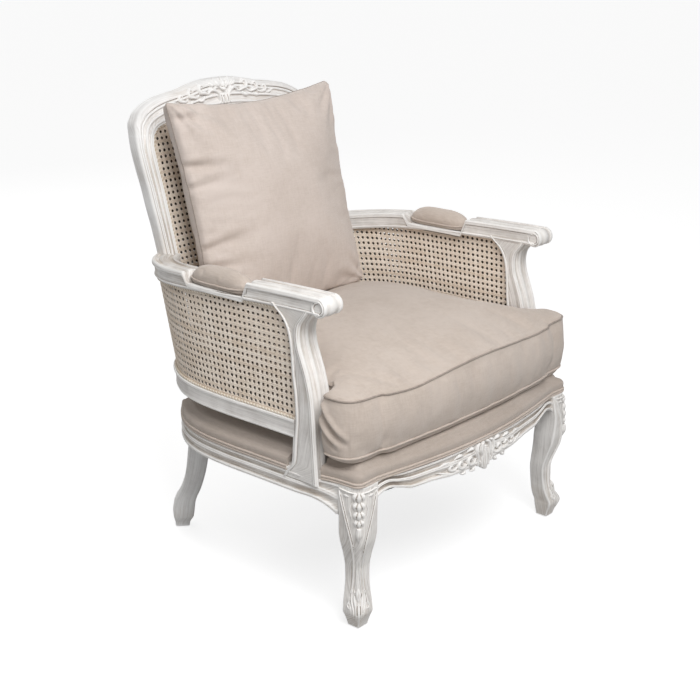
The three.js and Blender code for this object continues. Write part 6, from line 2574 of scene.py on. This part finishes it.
@dataclass(frozen=True)
class BackPillow:
    """The loose pillow of the back."""

    width: float = 0.508
    height: float = 0.489
    foot_y: float = 0.183
    foot_z: float = 0.5025
    seam_forward: float = 0.015
    front_swell: float = 0.054
    rear_swell: float = 0.072
    # How far the foot, the right side, the top and the left side are drawn in at their middle
    draws: tuple[float, float, float, float] = (0.003, 0.013, 0.0247, 0.013)
    foot_taper: float = 0.008
    swell_power: float = 0.42
    piping: float = 0.0012
    filling: Filling = Filling(voxel=0.006, cap=0.022, growth=0.02)
    # Folds at the left side: height, length, depth and slant
    folds: tuple[tuple[float, float, float, float], ...] = (
        (0.206, 0.075, 0.0060, -0.10), (0.104, 0.085, 0.0060, -0.16), (0.052, 0.085, 0.0065, 0.14),
        (-0.084, 0.100, 0.0060, 0.20), (-0.120, 0.080, 0.0065, -0.05), (-0.165, 0.060, 0.0040, 0.10),
    )

    def edge(self, count: int = 400) -> np.ndarray:
        """Seam of the pillow in its own plane, anticlockwise from its lower left corner.

        Args:
            count: How many points it has.

        Returns:
            Points across and up.
        """
        w, h = self.width / 2, self.height / 2
        points = []
        corners = np.array([(-w, -h), (w, -h), (w, h), (-w, h)])
        for start, end, drawn in zip(corners, np.roll(corners, -1, axis=0), self.draws):
            way = unit((end - start)[None])[0]
            inward = np.array([-way[1], way[0]])
            for share in np.linspace(0, 1, 60, endpoint=False):
                bend = inward * drawn * math.sin(share * math.pi) ** 0.9
                points.append(start + (end - start) * share + bend)
        line = np.array([*points, points[0]])
        line[:, 0] *= 1 - self.foot_taper / w * (0.5 - line[:, 1] / self.height)
        return even_line(line, count, closed=True)

    def placed(self, local: np.ndarray) -> np.ndarray:
        """Puts points given as across, up and forwards onto the chair.

        Args:
            local: Points across, up and forwards.

        Returns:
            Points in chair coordinates.
        """
        turn = math.atan(PLAN.lean)
        x, up, out = local.T
        up = up + self.height / 2
        y = self.foot_y + SHIFT + up * math.sin(turn) - out * math.cos(turn)
        z = self.foot_z + up * math.cos(turn) + out * math.sin(turn)
        return np.c_[x, y, z]

    def local(self, places: np.ndarray) -> np.ndarray:
        """Across, up and forwards of points on the chair.

        Args:
            places: Points in chair coordinates.

        Returns:
            Points across, up and forwards.
        """
        turn = math.atan(PLAN.lean)
        y, z = places[:, 1] - self.foot_y - SHIFT, places[:, 2] - self.foot_z
        up = y * math.sin(turn) + z * math.cos(turn) - self.height / 2
        out = -y * math.cos(turn) + z * math.sin(turn)
        return np.c_[places[:, 0], up, out]

    def drawn(self) -> bpy.types.Mesh:
        """The cover before it is filled.

        Returns:
            The closed cover.
        """
        edge = self.edge()
        shares = (1.0, 0.985, 0.95, 0.9, 0.82, 0.7, 0.55, 0.38, 0.2, 0.06)
        round_edge = unit(edge) * self.width / 2
        rings = []
        for swell in (-self.rear_swell, self.front_swell):
            start = self.seam_forward + math.copysign(0.0025, swell)
            half = [level_ring((round_edge + (edge - round_edge) * share) * share,
                               start + swell * (1 - share**2) ** self.swell_power) for share in shares]
            rings += half[::-1] if swell < 0 else half
        shape = Shape.lofted(np.array(rings), along=False)
        shape.points = self.placed(shape.points)
        return shape.mesh("pillow")

    def held(self, places: np.ndarray) -> np.ndarray:
        """How firmly the seam and what it leans on hold the cover.

        Args:
            places: Points of the cover.

        Returns:
            How firmly each point is held, from 0 to 1.
        """
        local = self.local(places)
        edge = self.edge(240)
        far = np.sqrt(((local[:, None, :2] - edge[None]) ** 2).sum(axis=2)).min(axis=1)
        seam = 1 - smoothstep(0.003, 0.008, far)
        rear = smoothstep(-0.04, -0.056, local[:, 2])
        return np.maximum(seam, rear)

    def creases(self, places: np.ndarray) -> np.ndarray:
        """Folds that run in from the seams, deepest at the left side and at the corners.

        Args:
            places: Points of the cover.

        Returns:
            How far each point is pushed out.
        """
        x, up, out = self.local(places).T
        front = smoothstep(self.seam_forward - 0.01, self.seam_forward + 0.02, out)
        fold = np.zeros(len(x))
        inside = x + self.width / 2
        for height, length, depth, slant in self.folds:
            away = (up - height - slant * inside) / (0.0075 + 0.05 * np.maximum(inside, 0))
            run = np.exp(-((np.maximum(inside - 0.012, 0) / length) ** 2)) * smoothstep(0.0, 0.014, inside)
            fold += front * depth * run * (0.55 * np.exp(-((away - 1.9) ** 2)) - np.exp(-(away**2)))
        left = np.exp(-(inside / 0.075)) * smoothstep(0.0, 0.02, inside)
        fold += front * left * 0.0010 * np.sin(up * 78 + 9 * np.sin(x * 21) + 0.8)
        right = np.exp(-((self.width / 2 - x) / 0.05)) * smoothstep(0.0, 0.02, 0.262 - x)
        fold += front * right * 0.0016 * np.sin(up * 70 + 7 * np.sin(x * 25))
        top = np.exp(-((self.height / 2 - up) / 0.05)) * smoothstep(0.0, 0.02, 0.25 - up)
        fold += front * top * 0.0018 * np.sin(x * 82 + 10 * up)
        for sx, sy in ((-1, 1), (1, 1), (-1, -1), (1, -1)):
            dx, dy = x - sx * self.width / 2, up - sy * self.height / 2
            far = np.hypot(dx, dy)
            angle = np.arctan2(np.abs(dy), np.abs(dx))
            fold += front * 0.0028 * np.sin(angle * 15 + sx) * np.exp(-((far - 0.07) / 0.055) ** 2)
        return fold + front * 0.0014 * np.sin(x * 19 + 2) * np.sin(up * 16 + x * 6)

    def build(self) -> None:
        """Makes the pillow with its piping."""
        cover = self.filling.plump(self.drawn(), self.held)
        pushed(cover, self.creases)
        path = self.placed(level_ring(self.edge(700) * 1.003, self.seam_forward))
        cord = Shape.tube(laid_on(path, cover, -0.0002), self.piping, 8, closed=True)
        mark_hollows(cover, 3)
        piece = show("back_pillow_filled", cover, LIT_PILLOW_LINEN, "back_pillow",
                     ["back_pillow_cover", "back_pillow_filling", "back_pillow_zip"], crease=80)
        show("back_pillow_piping", cord.mesh("back_pillow_piping"), SHADED_SEAM, "back_pillow", crease=80)


@dataclass(frozen=True)
class ArmPads:
    """Stuffed pads in the beds of the arms."""

    width: float = 0.047
    rise: float = 0.0415
    cord: float = 0.0019
    filling: Filling = Filling(voxel=0.003, cap=0.008, growth=0.015)

    def drawn(self, arms: Arms) -> Shape:
        """The right pad before it is filled.

        Args:
            arms: The arms, whose sizes it takes.

        Returns:
            The shape.
        """
        low, middle, half = self.seat(arms)
        section = moulded([(-0.46, 0.0, 0.0), (0.46, 0.0, 0.0), (0.5, 0.2, 0.01), (0.5, 0.36, 0.0),
                           (0.36, 0.82, 0.055), (0.0, 0.985, 0.04), (-0.36, 0.82, 0.04), (-0.5, 0.36, 0.055),
                           (-0.5, 0.2, 0.0)], 5)
        rings = []
        for along in -np.cos(np.linspace(0.02, math.pi - 0.02, 40)):
            swell = max((1 - abs(along) ** 3.6) ** 0.5, 0.12)
            x = middle[0] + section[:, 0] * self.width * swell
            z = low + self.rise * (section[:, 1] * swell)
            rings.append(np.c_[x, np.full(len(x), middle[1] + half * along), z])
        return Shape.lofted(np.array(rings), along=False)

    def seat(self, arms: Arms) -> tuple[float, tuple[float, float], float]:
        """Bed height, middle in plan, and half length of the right pad."""
        middle = (PLAN.half_width - arms.width / 2, (arms.pad_front + arms.pad_rear) / 2 + SHIFT)
        return arms.bed() + 0.0004, middle, (arms.pad_rear - arms.pad_front) / 2 + 0.004

    def held(self, low: float) -> Callable[[np.ndarray], np.ndarray]:
        """How firmly the tacked foot holds the cover."""
        return lambda places: 1 - smoothstep(low + 0.007, low + 0.011, places[:, 2])

    def build(self, arms: Arms) -> None:
        """Makes both pads with the cord at their foot.

        Args:
            arms: The arms, whose sizes it takes.
        """
        low, middle, half = self.seat(arms)
        for side in Side:
            cover = self.filling.plump(self.drawn(arms).on(side).mesh("pad"), self.held(low))
            turns = np.linspace(0, 2 * math.pi, 160, endpoint=False)
            round_x = np.sign(np.cos(turns)) * np.abs(np.cos(turns)) ** 0.7
            round_y = np.sign(np.sin(turns)) * np.abs(np.sin(turns)) ** 0.7
            line = np.c_[side.value * (middle[0] + round_x * self.width / 2), middle[1] + round_y * half,
                         low + 0.0085 + 0.004 * np.abs(round_y) ** 4]
            cord = Shape.tube(laid_on(line, cover, 0.0005), self.cord, 8, closed=True)
            mark_hollows(cover, 3)
            node = f"{side.prefix}_arm_pad"
            show(f"{node}_stuffed", cover, LINEN, replaces=[node], crease=80)
            show(f"{node}_cord", cord.mesh("pad_cord"), LINEN, crease=80)


# Carving


@dataclass(frozen=True)
class Stroke:
    """One lobe, petal or scroll of a carving, drawn on a flat pattern and raised from it."""

    points: tuple[tuple[float, float], ...]
    widest: float
    rise: float
    start: float = 0.35  # width where it begins, as a share of its widest
    end: float = 0.12
    peak: float = 0.4  # where along it it is widest

    def turned_over(self) -> "Stroke":
        """The same stroke on the other side of the middle line."""
        return replace(self, points=tuple((-x, y) for x, y in self.points))

    def shape(self, place: Lay, sides: int = 10) -> Shape:
        """Raises the stroke from the surface that a pattern is laid on.

        Args:
            place: Lays the pattern on the surface.
            sides: How many sides the stroke has.

        Returns:
            The shape.
        """
        length = sum(math.dist(a, b) for a, b in zip(self.points, self.points[1:]))
        line = curve_through(self.points, max(8, int(length / 0.0012)))
        way = unit(np.gradient(line, axis=0))
        across = np.c_[-way[:, 1], way[:, 0]]
        share = np.linspace(0, 1, len(line))
        grow = smoothstep(0, self.peak, share) * (1 - self.start) + self.start
        fall = 1 - (1 - self.end) * smoothstep(self.peak, 1, share)
        size = np.minimum(grow, fall) * np.sin(np.clip(share / 0.05, 0.25, 1) * math.pi / 2)
        size = size * np.sin(np.clip((1 - share) / 0.05, 0.25, 1) * math.pi / 2)
        rings = []
        for turn in np.arange(sides) / sides * 2 * math.pi:
            flat = line + across * (math.cos(turn) * self.widest * size)[:, None]
            lift = math.sin(turn) * self.rise * size**0.7 * (1.0 if math.sin(turn) > 0 else 0.5)
            rings.append(place(flat[:, 0], flat[:, 1], lift))
        return Shape.lofted(np.stack(rings, axis=1), along=False)


def curl(x: float, y: float, radius: float, start: float, turns: float, tail: Sequence[tuple[float, float]],
         widest: float, rise: float) -> Stroke:
    """A scroll that ends in a spiral.

    Args:
        x: Middle of the spiral across.
        y: Middle of the spiral up.
        radius: Outer radius of the spiral.
        start: Angle in degrees at which the spiral begins.
        turns: How far it turns, anticlockwise, or clockwise when it is negative.
        tail: Points that lead to the spiral.
        widest: Half width of the scroll.
        rise: How far it is raised.

    Returns:
        The stroke.
    """
    spiral = []
    for share in np.linspace(0, 1, 7):
        angle = math.radians(start) + share * turns * 2 * math.pi
        reach = radius * (1 - 0.72 * share)
        spiral.append((x + reach * math.cos(angle), y + reach * math.sin(angle)))
    return Stroke((*tail, *spiral), widest, rise, 0.3, 0.75, 0.45)


@dataclass(frozen=True)
class Carving:
    """A carved ornament: strokes and their mirror images, joined into one relief."""

    middle: tuple[Stroke, ...]
    paired: tuple[Stroke, ...]
    voxel: float = 0.0009

    def mesh(self, place: Lay) -> bpy.types.Mesh:
        """The relief on a surface.

        Args:
            place: Lays the pattern on the surface.

        Returns:
            The mesh.
        """
        strokes = [*self.middle, *self.paired, *(stroke.turned_over() for stroke in self.paired)]
        whole = Shape.joined(stroke.shape(place) for stroke in strokes)
        made = regridded(whole.mesh("strokes"), self.voxel)
        smoothed(made, 2)
        return made


def carve(name: str, mesh: bpy.types.Mesh, finish: Finish = CARVED) -> None:
    """Shows a carving on the frame."""
    mark_hollows(mesh, 2)
    show(name, mesh, finish, crease=80)


CREST_CARVING = Carving(
    middle=(
        Stroke(((0, 0.975), (0, 0.990), (0, 1.004)), 0.0074, 0.0125),
        Stroke(((-0.0045, 0.9745), (0, 0.9785), (0.0045, 0.9745)), 0.0062, 0.0130, 0.9, 0.9, 0.5),
    ),
    paired=(
        Stroke(((0.0040, 0.9445), (0.0060, 0.956), (0.0060, 0.969)), 0.0046, 0.0085, 0.7, 0.6, 0.3),
        Stroke(((0.0160, 0.9440), (0.0125, 0.956), (0.0170, 0.969), (0.030, 0.977), (0.043, 0.974),
                (0.051, 0.965)), 0.0052, 0.0095, 0.6, 0.5, 0.5),
        Stroke(((0.009, 0.979), (0.018, 0.991), (0.024, 1.003)), 0.0070, 0.0120),
        Stroke(((0.024, 0.983), (0.035, 0.990), (0.044, 0.999)), 0.0066, 0.0110),
        curl(0.065, 0.9845, 0.0122, -115, 0.90, ((0.036, 0.976), (0.048, 0.9695)), 0.0058, 0.0110),
        Stroke(((0.058, 0.966), (0.070, 0.958), (0.085, 0.958)), 0.0056, 0.0090),
        curl(0.099, 0.9775, 0.0112, -110, 0.90, ((0.070, 0.973), (0.084, 0.9650)), 0.0054, 0.0100),
        Stroke(((0.094, 0.961), (0.105, 0.954), (0.120, 0.957)), 0.0050, 0.0075),
        curl(0.129, 0.9690, 0.0088, -105, 0.85, ((0.106, 0.966), (0.117, 0.9600)), 0.0046, 0.0080),
        Stroke(((0.124, 0.957), (0.142, 0.956), (0.162, 0.962), (0.184, 0.960)), 0.0040, 0.0060),
    ),
)

APRON_CARVING = Carving(
    middle=(
        Stroke(((0, 0.303), (0, 0.290), (0, 0.270), (0, 0.247)), 0.0066, 0.0105, 0.5, 0.75, 0.7),
    ),
    paired=(
        Stroke(((0.0020, 0.3110), (0.0115, 0.3075), (0.0150, 0.2960), (0.0110, 0.2830), (0.0125, 0.2670),
                (0.0100, 0.2530)), 0.0056, 0.0100, 0.6, 0.7, 0.35),
        Stroke(((0.0165, 0.3110), (0.0265, 0.3060), (0.0300, 0.2940), (0.0250, 0.2810), (0.0250, 0.2700),
                (0.0225, 0.2600)), 0.0054, 0.0092, 0.6, 0.7, 0.35),
        curl(0.050, 0.283, 0.0100, -100, 0.95, ((0.026, 0.285), (0.036, 0.275)), 0.0048, 0.0090),
        Stroke(((0.034, 0.266), (0.041, 0.258), (0.051, 0.256)), 0.0050, 0.0080),
        Stroke(((0.035, 0.303), (0.048, 0.307), (0.061, 0.301)), 0.0050, 0.0080),
        curl(0.080, 0.282, 0.0090, -105, 0.95, ((0.054, 0.283), (0.066, 0.274)), 0.0044, 0.0080),
        Stroke(((0.062, 0.266), (0.071, 0.259), (0.082, 0.261)), 0.0044, 0.0070),
        Stroke(((0.070, 0.298), (0.085, 0.302), (0.100, 0.296)), 0.0042, 0.0068),
        curl(0.108, 0.283, 0.0070, -100, 0.9, ((0.085, 0.283), (0.096, 0.276)), 0.0036, 0.0062),
        Stroke(((0.092, 0.268), (0.110, 0.268), (0.132, 0.276), (0.156, 0.284)), 0.0034, 0.0052),
        Stroke(((0.110, 0.295), (0.128, 0.296), (0.150, 0.293)), 0.0030, 0.0046),
    ),
)


def petal(y: float, size: float, shares: Sequence[tuple[float, float]], widest: float, rise: float) -> Stroke:
    """A petal of a bell flower, drawn in shares of the flower's size."""
    return Stroke(tuple((across * size, y + up * size) for across, up in shares), widest * size, rise * size)


def knee_carving() -> Carving:
    """The shield of a knee with its chain of bell flowers, the fluted ankle and the leafed foot.

    Returns:
        The carving, on a pattern with its middle on the outer corner of the leg.
    """
    middle, paired = [], []
    for y, size in ((0.2930, 0.0195), (0.2745, 0.0190), (0.2565, 0.0180), (0.2400, 0.0160)):
        middle.append(petal(y, size, ((0, 0.6), (0, -0.1), (0, -0.75)), 0.30, 0.36))
        paired.append(petal(y, size, ((0.12, 0.5), (0.42, 0.12), (0.40, -0.45)), 0.26, 0.30))
    middle.append(Stroke(((0, 0.2320), (0, 0.219), (0, 0.200)), 0.0072, 0.0092, 0.7, 0.3, 0.45))
    border = (
        (0.0445, 0.3055), (0.0415, 0.290), (0.0345, 0.265), (0.0265, 0.238), (0.0195, 0.214), (0.0145, 0.190),
        (0.0115, 0.165), (0.0100, 0.140), (0.0105, 0.115), (0.0135, 0.092), (0.0185, 0.070),
    )
    paired += [
        Stroke(border, 0.0023, 0.0036, 0.9, 0.6, 0.5),
        Stroke(tuple((x - 0.0042, y) for x, y in border[:7]), 0.0011, 0.0016, 0.9, 0.6, 0.5),
        Stroke(((0.0025, 0.15), (0.0026, 0.125), (0.0045, 0.098), (0.0085, 0.078)), 0.0014, 0.0022, 0.5, 0.5),
        Stroke(((0.004, 0.3015), (0.020, 0.3035), (0.0445, 0.3055)), 0.0016, 0.0030, 0.9, 0.9, 0.5),
        Stroke(((0.020, 0.294), (0.031, 0.2955), (0.0365, 0.292)), 0.0028, 0.0028),
        Stroke(((0.014, 0.284), (0.0185, 0.268), (0.015, 0.252), (0.0105, 0.240)), 0.0016, 0.0022),
    ]
    # Foot: a bud between leaves that fan out to scrolled toes
    middle += [
        Stroke(((0, 0.088), (0, 0.077), (0, 0.062)), 0.0062, 0.0052, 0.3, 0.35, 0.45),
        Stroke(((0, 0.060), (0, 0.044), (0, 0.018)), 0.0030, 0.0042, 0.6, 0.3, 0.3),
    ]
    paired += [
        Stroke(((0.0075, 0.086), (0.0085, 0.068), (0.0055, 0.050), (0.006, 0.022)), 0.0027, 0.0042, 0.4, 0.3),
        Stroke(((0.0135, 0.082), (0.0155, 0.064), (0.012, 0.046), (0.0115, 0.026)), 0.0028, 0.0042, 0.4, 0.3),
        curl(0.0215, 0.0500, 0.0062, 80, -0.9, ((0.0185, 0.080), (0.0195, 0.066)), 0.0027, 0.0045),
    ]
    return Carving(tuple(middle), tuple(paired))


@dataclass(frozen=True)
class FrontLegs:
    """Cabriole front legs with carved knees and feet."""

    seat: SeatFrame
    levels: int = 170
    steps: int = 96
    shield: float = 0.0010
    # Half width of the carved shield at heights
    shield_edge: tuple[tuple[float, float], ...] = (
        (0.06, 0.016), (0.1, 0.012), (0.14, 0.010), (0.19, 0.0145), (0.214, 0.0195), (0.265, 0.0345),
        (0.3055, 0.0445),
    )

    def surface(self) -> tuple[np.ndarray, np.ndarray, np.ndarray]:
        """Rings of the right leg, the way of their points round the corner, and their normals.

        Returns:
            The rings, the ways and the normals.
        """
        rings, ways = self.seat.leg_grid(np.linspace(0, 1, self.levels), self.steps)
        round_way = np.roll(rings, -1, axis=1) - np.roll(rings, 1, axis=1)
        facing = unit(np.cross(round_way, np.gradient(rings, axis=0)))
        middle = rings.mean(axis=1, keepdims=True)
        sign = np.sign(np.sum(facing * (rings - middle), axis=2).mean())
        return rings, ways, facing * sign

    def relief(self, ways: np.ndarray, heights: np.ndarray) -> np.ndarray:
        """How far the ground of the carving is cut back.

        Args:
            ways: Ways of the points round from the outer corner.
            heights: Their heights.

        Returns:
            A depth for each point, below 0 where it is cut back.
        """
        edge = np.interp(heights, *np.array(self.shield_edge).T)
        inside = smoothstep(0.001, -0.002, np.abs(ways) - edge)
        upper = smoothstep(0.06, 0.08, heights) * smoothstep(0.312, 0.305, heights)
        flute = np.exp(-(((np.abs(ways) - edge - 0.0055) / 0.002) ** 2)) * upper
        toe = np.exp(-(((heights - 0.048) / 0.016) ** 2)) * np.exp(-(((np.abs(ways) - 0.021) / 0.008) ** 2))
        return -self.shield * inside * upper - 0.0011 * flute + 0.0022 * toe

    def build(self) -> None:
        """Makes both legs and their carvings."""
        rings, ways, facing = self.surface()
        carved = rings + facing * self.relief(ways, rings[..., 2])[..., None]
        top = rings[-1] * np.array([1, 1, 0]) + np.array([0, 0, 0.3128])
        shape = Shape.lofted(np.concatenate([carved, top[None]]))
        heights = rings[:, 0, 2]

        def place(across: np.ndarray, height: np.ndarray, lift: np.ndarray) -> np.ndarray:
            """Lays the pattern round the outer corner of the leg.

            Args:
                across: Ways round from the corner.
                height: Heights.
                lift: Heights above the surface.

            Returns:
                Points in chair coordinates.
            """
            row = np.interp(height, heights, np.arange(len(heights)))
            low = np.clip(row.astype(int), 0, len(heights) - 2)
            part = (row - low)[:, None]
            found = np.empty((len(across), 3))
            outward = np.empty((len(across), 3))
            for at, (ring, way) in enumerate(zip(low, across)):
                for target, source in ((found, rings), (outward, facing)):
                    near = [[np.interp(way, ways[level], source[level, :, axis]) for axis in range(3)]
                            for level in (ring, ring + 1)]
                    target[at] = np.array(near[0]) * (1 - part[at]) + np.array(near[1]) * part[at]
            return found + unit(outward) * np.broadcast_to(lift, (len(across),))[:, None]

        ornament = knee_carving().mesh(place)
        for side in Side:
            wood(f"{side.prefix}_front_leg_carved", shape.on(side), [f"{side.prefix}_front_leg"], crease=42)
            relief = ornament.copy()
            if side is Side.LEFT:
                move_points(relief, positions(relief) * np.array([-1, 1, 1]))
                relief.flip_normals()
            carve(f"{side.prefix}_knee_carving", relief)


def build_carvings(seat: SeatFrame, back: BackFrame) -> None:
    """Makes the ornaments of the crest rail and of the front rail.

    Args:
        seat: The seat frame.
        back: The frame of the back.
    """
    ground = back.depth - 0.0060

    def on_crest(x: np.ndarray, height: np.ndarray, lift: np.ndarray) -> np.ndarray:
        """Lays the pattern on the face of the crest rail."""
        return PLAN.on_back(x, height, ground + lift)

    def on_apron(x: np.ndarray, height: np.ndarray, lift: np.ndarray) -> np.ndarray:
        """Lays the pattern on the face of the front rail."""
        return np.stack(np.broadcast_arrays(x, seat.face(x) + 0.0035 - lift, height), axis=-1)

    carve("crest_carving", CREST_CARVING.mesh(on_crest), LIT_CARVED)
    carve("apron_carving", APRON_CARVING.mesh(on_apron))


# Stage


@dataclass(frozen=True)
class Studio:
    """Floor, soft lights and the camera of the photograph."""

    azimuth: float = -48.87
    elevation: float = 18.61
    distance: float = 2.974
    aim_height: float = 0.5
    aim_across: float = 0.008
    aim_up: float = -0.070
    focal_share: float = 1329.5 / 700
    sensor: float = 36.0
    floor_half: float = 30.0
    floor_glow: float = 0.74
    floor_tone: float = 0.45
    sky: float = 0.43
    # Soft lights: place, size and power
    key: tuple[tuple[float, float, float], float, float] = ((-1.0, -1.6, 2.25), 1.2, 48.0)
    rear: tuple[tuple[float, float, float], float, float] = ((0.9, 2.9, 2.5), 2.0, 26.0)

    def camera(self) -> None:
        """Makes the camera at the photograph's viewing angle."""
        turn, lift = math.radians(self.azimuth), math.radians(self.elevation)
        back = Vector((math.sin(turn) * math.cos(lift), -math.cos(turn) * math.cos(lift), math.sin(lift)))
        across = Vector((math.cos(turn), math.sin(turn), 0))
        up = back.cross(across)
        aim = Vector((0, SHIFT, self.aim_height)) + across * self.aim_across + up * self.aim_up
        data = bpy.data.cameras.new("camera")
        data.sensor_width = self.sensor
        data.lens = self.focal_share * self.sensor
        camera = linked("camera", data)
        camera.location = aim + back * self.distance
        camera.rotation_mode = "QUATERNION"
        camera.rotation_quaternion = (-back).to_track_quat("-Z", "Y")
        bpy.context.scene.camera = camera

    def lamp(self, name: str, place: tuple[float, float, float], size: float, power: float) -> None:
        """Adds a square soft light that points at the chair.

        Args:
            name: Name of the light.
            place: Where it stands.
            size: Length of its side.
            power: Its power in watts.
        """
        data = bpy.data.lights.new(name, "AREA")
        data.size, data.energy = size, power
        lamp = linked(name, data)
        lamp.location = place
        lamp.visible_camera = False
        lamp.rotation_mode = "QUATERNION"
        lamp.rotation_quaternion = (Vector(place) - Vector((0, 0, self.aim_height))).to_track_quat("Z", "Y")

    def white_for_camera(self, shop: NodeShop) -> Value:
        """1 for what the camera, gloss or glass sees directly, and 0 for other light.

        Args:
            shop: Maker of the nodes.

        Returns:
            The value.
        """
        path = shop.node("ShaderNodeLightPath")
        seen = Value(shop, path.outputs["Is Camera Ray"]).most(Value(shop, path.outputs["Is Glossy Ray"]))
        return seen.most(Value(shop, path.outputs["Is Transmission Ray"]))

    def floor(self) -> None:
        """Adds a pale floor that goes on to the horizon."""
        half = self.floor_half
        mesh = bpy.data.meshes.new("floor")
        corners = [(-half, -half, 0), (half, -half, 0), (half, half, 0), (-half, half, 0)]
        mesh.from_pydata(corners, [], [(0, 1, 2, 3)])
        shop = NodeShop(bpy.data.materials.new("pale_floor"))
        tone = (self.floor_tone, self.floor_tone, self.floor_tone, 1)
        plain = shop.node("ShaderNodeBsdfPrincipled", sockets={"Base Color": tone, "Roughness": 0.9})
        glow = shop.node("ShaderNodeEmission", sockets={"Color": (1, 1, 1, 1), "Strength": self.floor_glow})
        dark = shop.node("ShaderNodeEmission", sockets={"Color": (0, 0, 0, 1), "Strength": 0.0})
        parts = {0: self.white_for_camera(shop), 1: dark.outputs[0], 2: glow.outputs[0]}
        lit = shop.node("ShaderNodeMixShader", sockets=parts)
        shop.end_with(shop.node("ShaderNodeAddShader", sockets={0: plain.outputs[0], 1: lit.outputs[0]}))
        mesh.materials.append(shop.owner)
        linked("floor", mesh)

    def surroundings(self) -> None:
        """Lights the chair evenly and shows white behind it."""
        world = bpy.data.worlds.new("studio")
        bpy.context.scene.world = world
        shop = NodeShop(world)
        light, white = (shop.node("ShaderNodeBackground", sockets={"Color": (1, 1, 1, 1), "Strength": power})
                        for power in (self.sky, 1.0))
        seen = shop.node("ShaderNodeLightPath").outputs["Is Camera Ray"]
        parts = {0: seen, 1: light.outputs[0], 2: white.outputs[0]}
        shop.end_with(shop.node("ShaderNodeMixShader", sockets=parts))

    def build(self) -> None:
        """Sets up the camera, the lights and the floor."""
        bpy.context.scene.view_settings.view_transform = "Standard"
        self.camera()
        self.lamp("key", *self.key)
        self.lamp("rear", *self.rear)
        self.floor()
        self.surroundings()


def dress_hidden_nodes() -> None:
    """Finishes the nodes of the frame that stay as they are."""
    for side in Side:
        for place in ("front", "rear"):
            PlainWood().dress_node(f"{side.prefix}_{place}_block")
            Steel().dress_node(f"{side.prefix}_{place}_screw")
            Steel().dress_node(f"{side.prefix}_{place}_glide")
    Jute().dress_node("seat_webbing")
    DustCloth().dress_node("dust_cover")


def main() -> None:
    """Builds the chair piece by piece."""
    logging.basicConfig(level=logging.INFO, format="%(name)s: %(message)s")
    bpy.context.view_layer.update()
    Studio().build()
    back, arms, seat = BackFrame(), Arms(), SeatFrame()
    back.build()
    arms.build()
    seat.build()
    FrontLegs(seat).build()
    build_carvings(seat, back)
    log.info("wood built")
    Cane().build(arms, back)
    log.info("cane woven")
    TightSeat().build(seat)
    ArmPads().build(arms)
    SeatCushion().build()
    BackPillow().build()
    log.info("upholstery filled")
    dress_hidden_nodes()


if __name__ == "__main__":
    main()
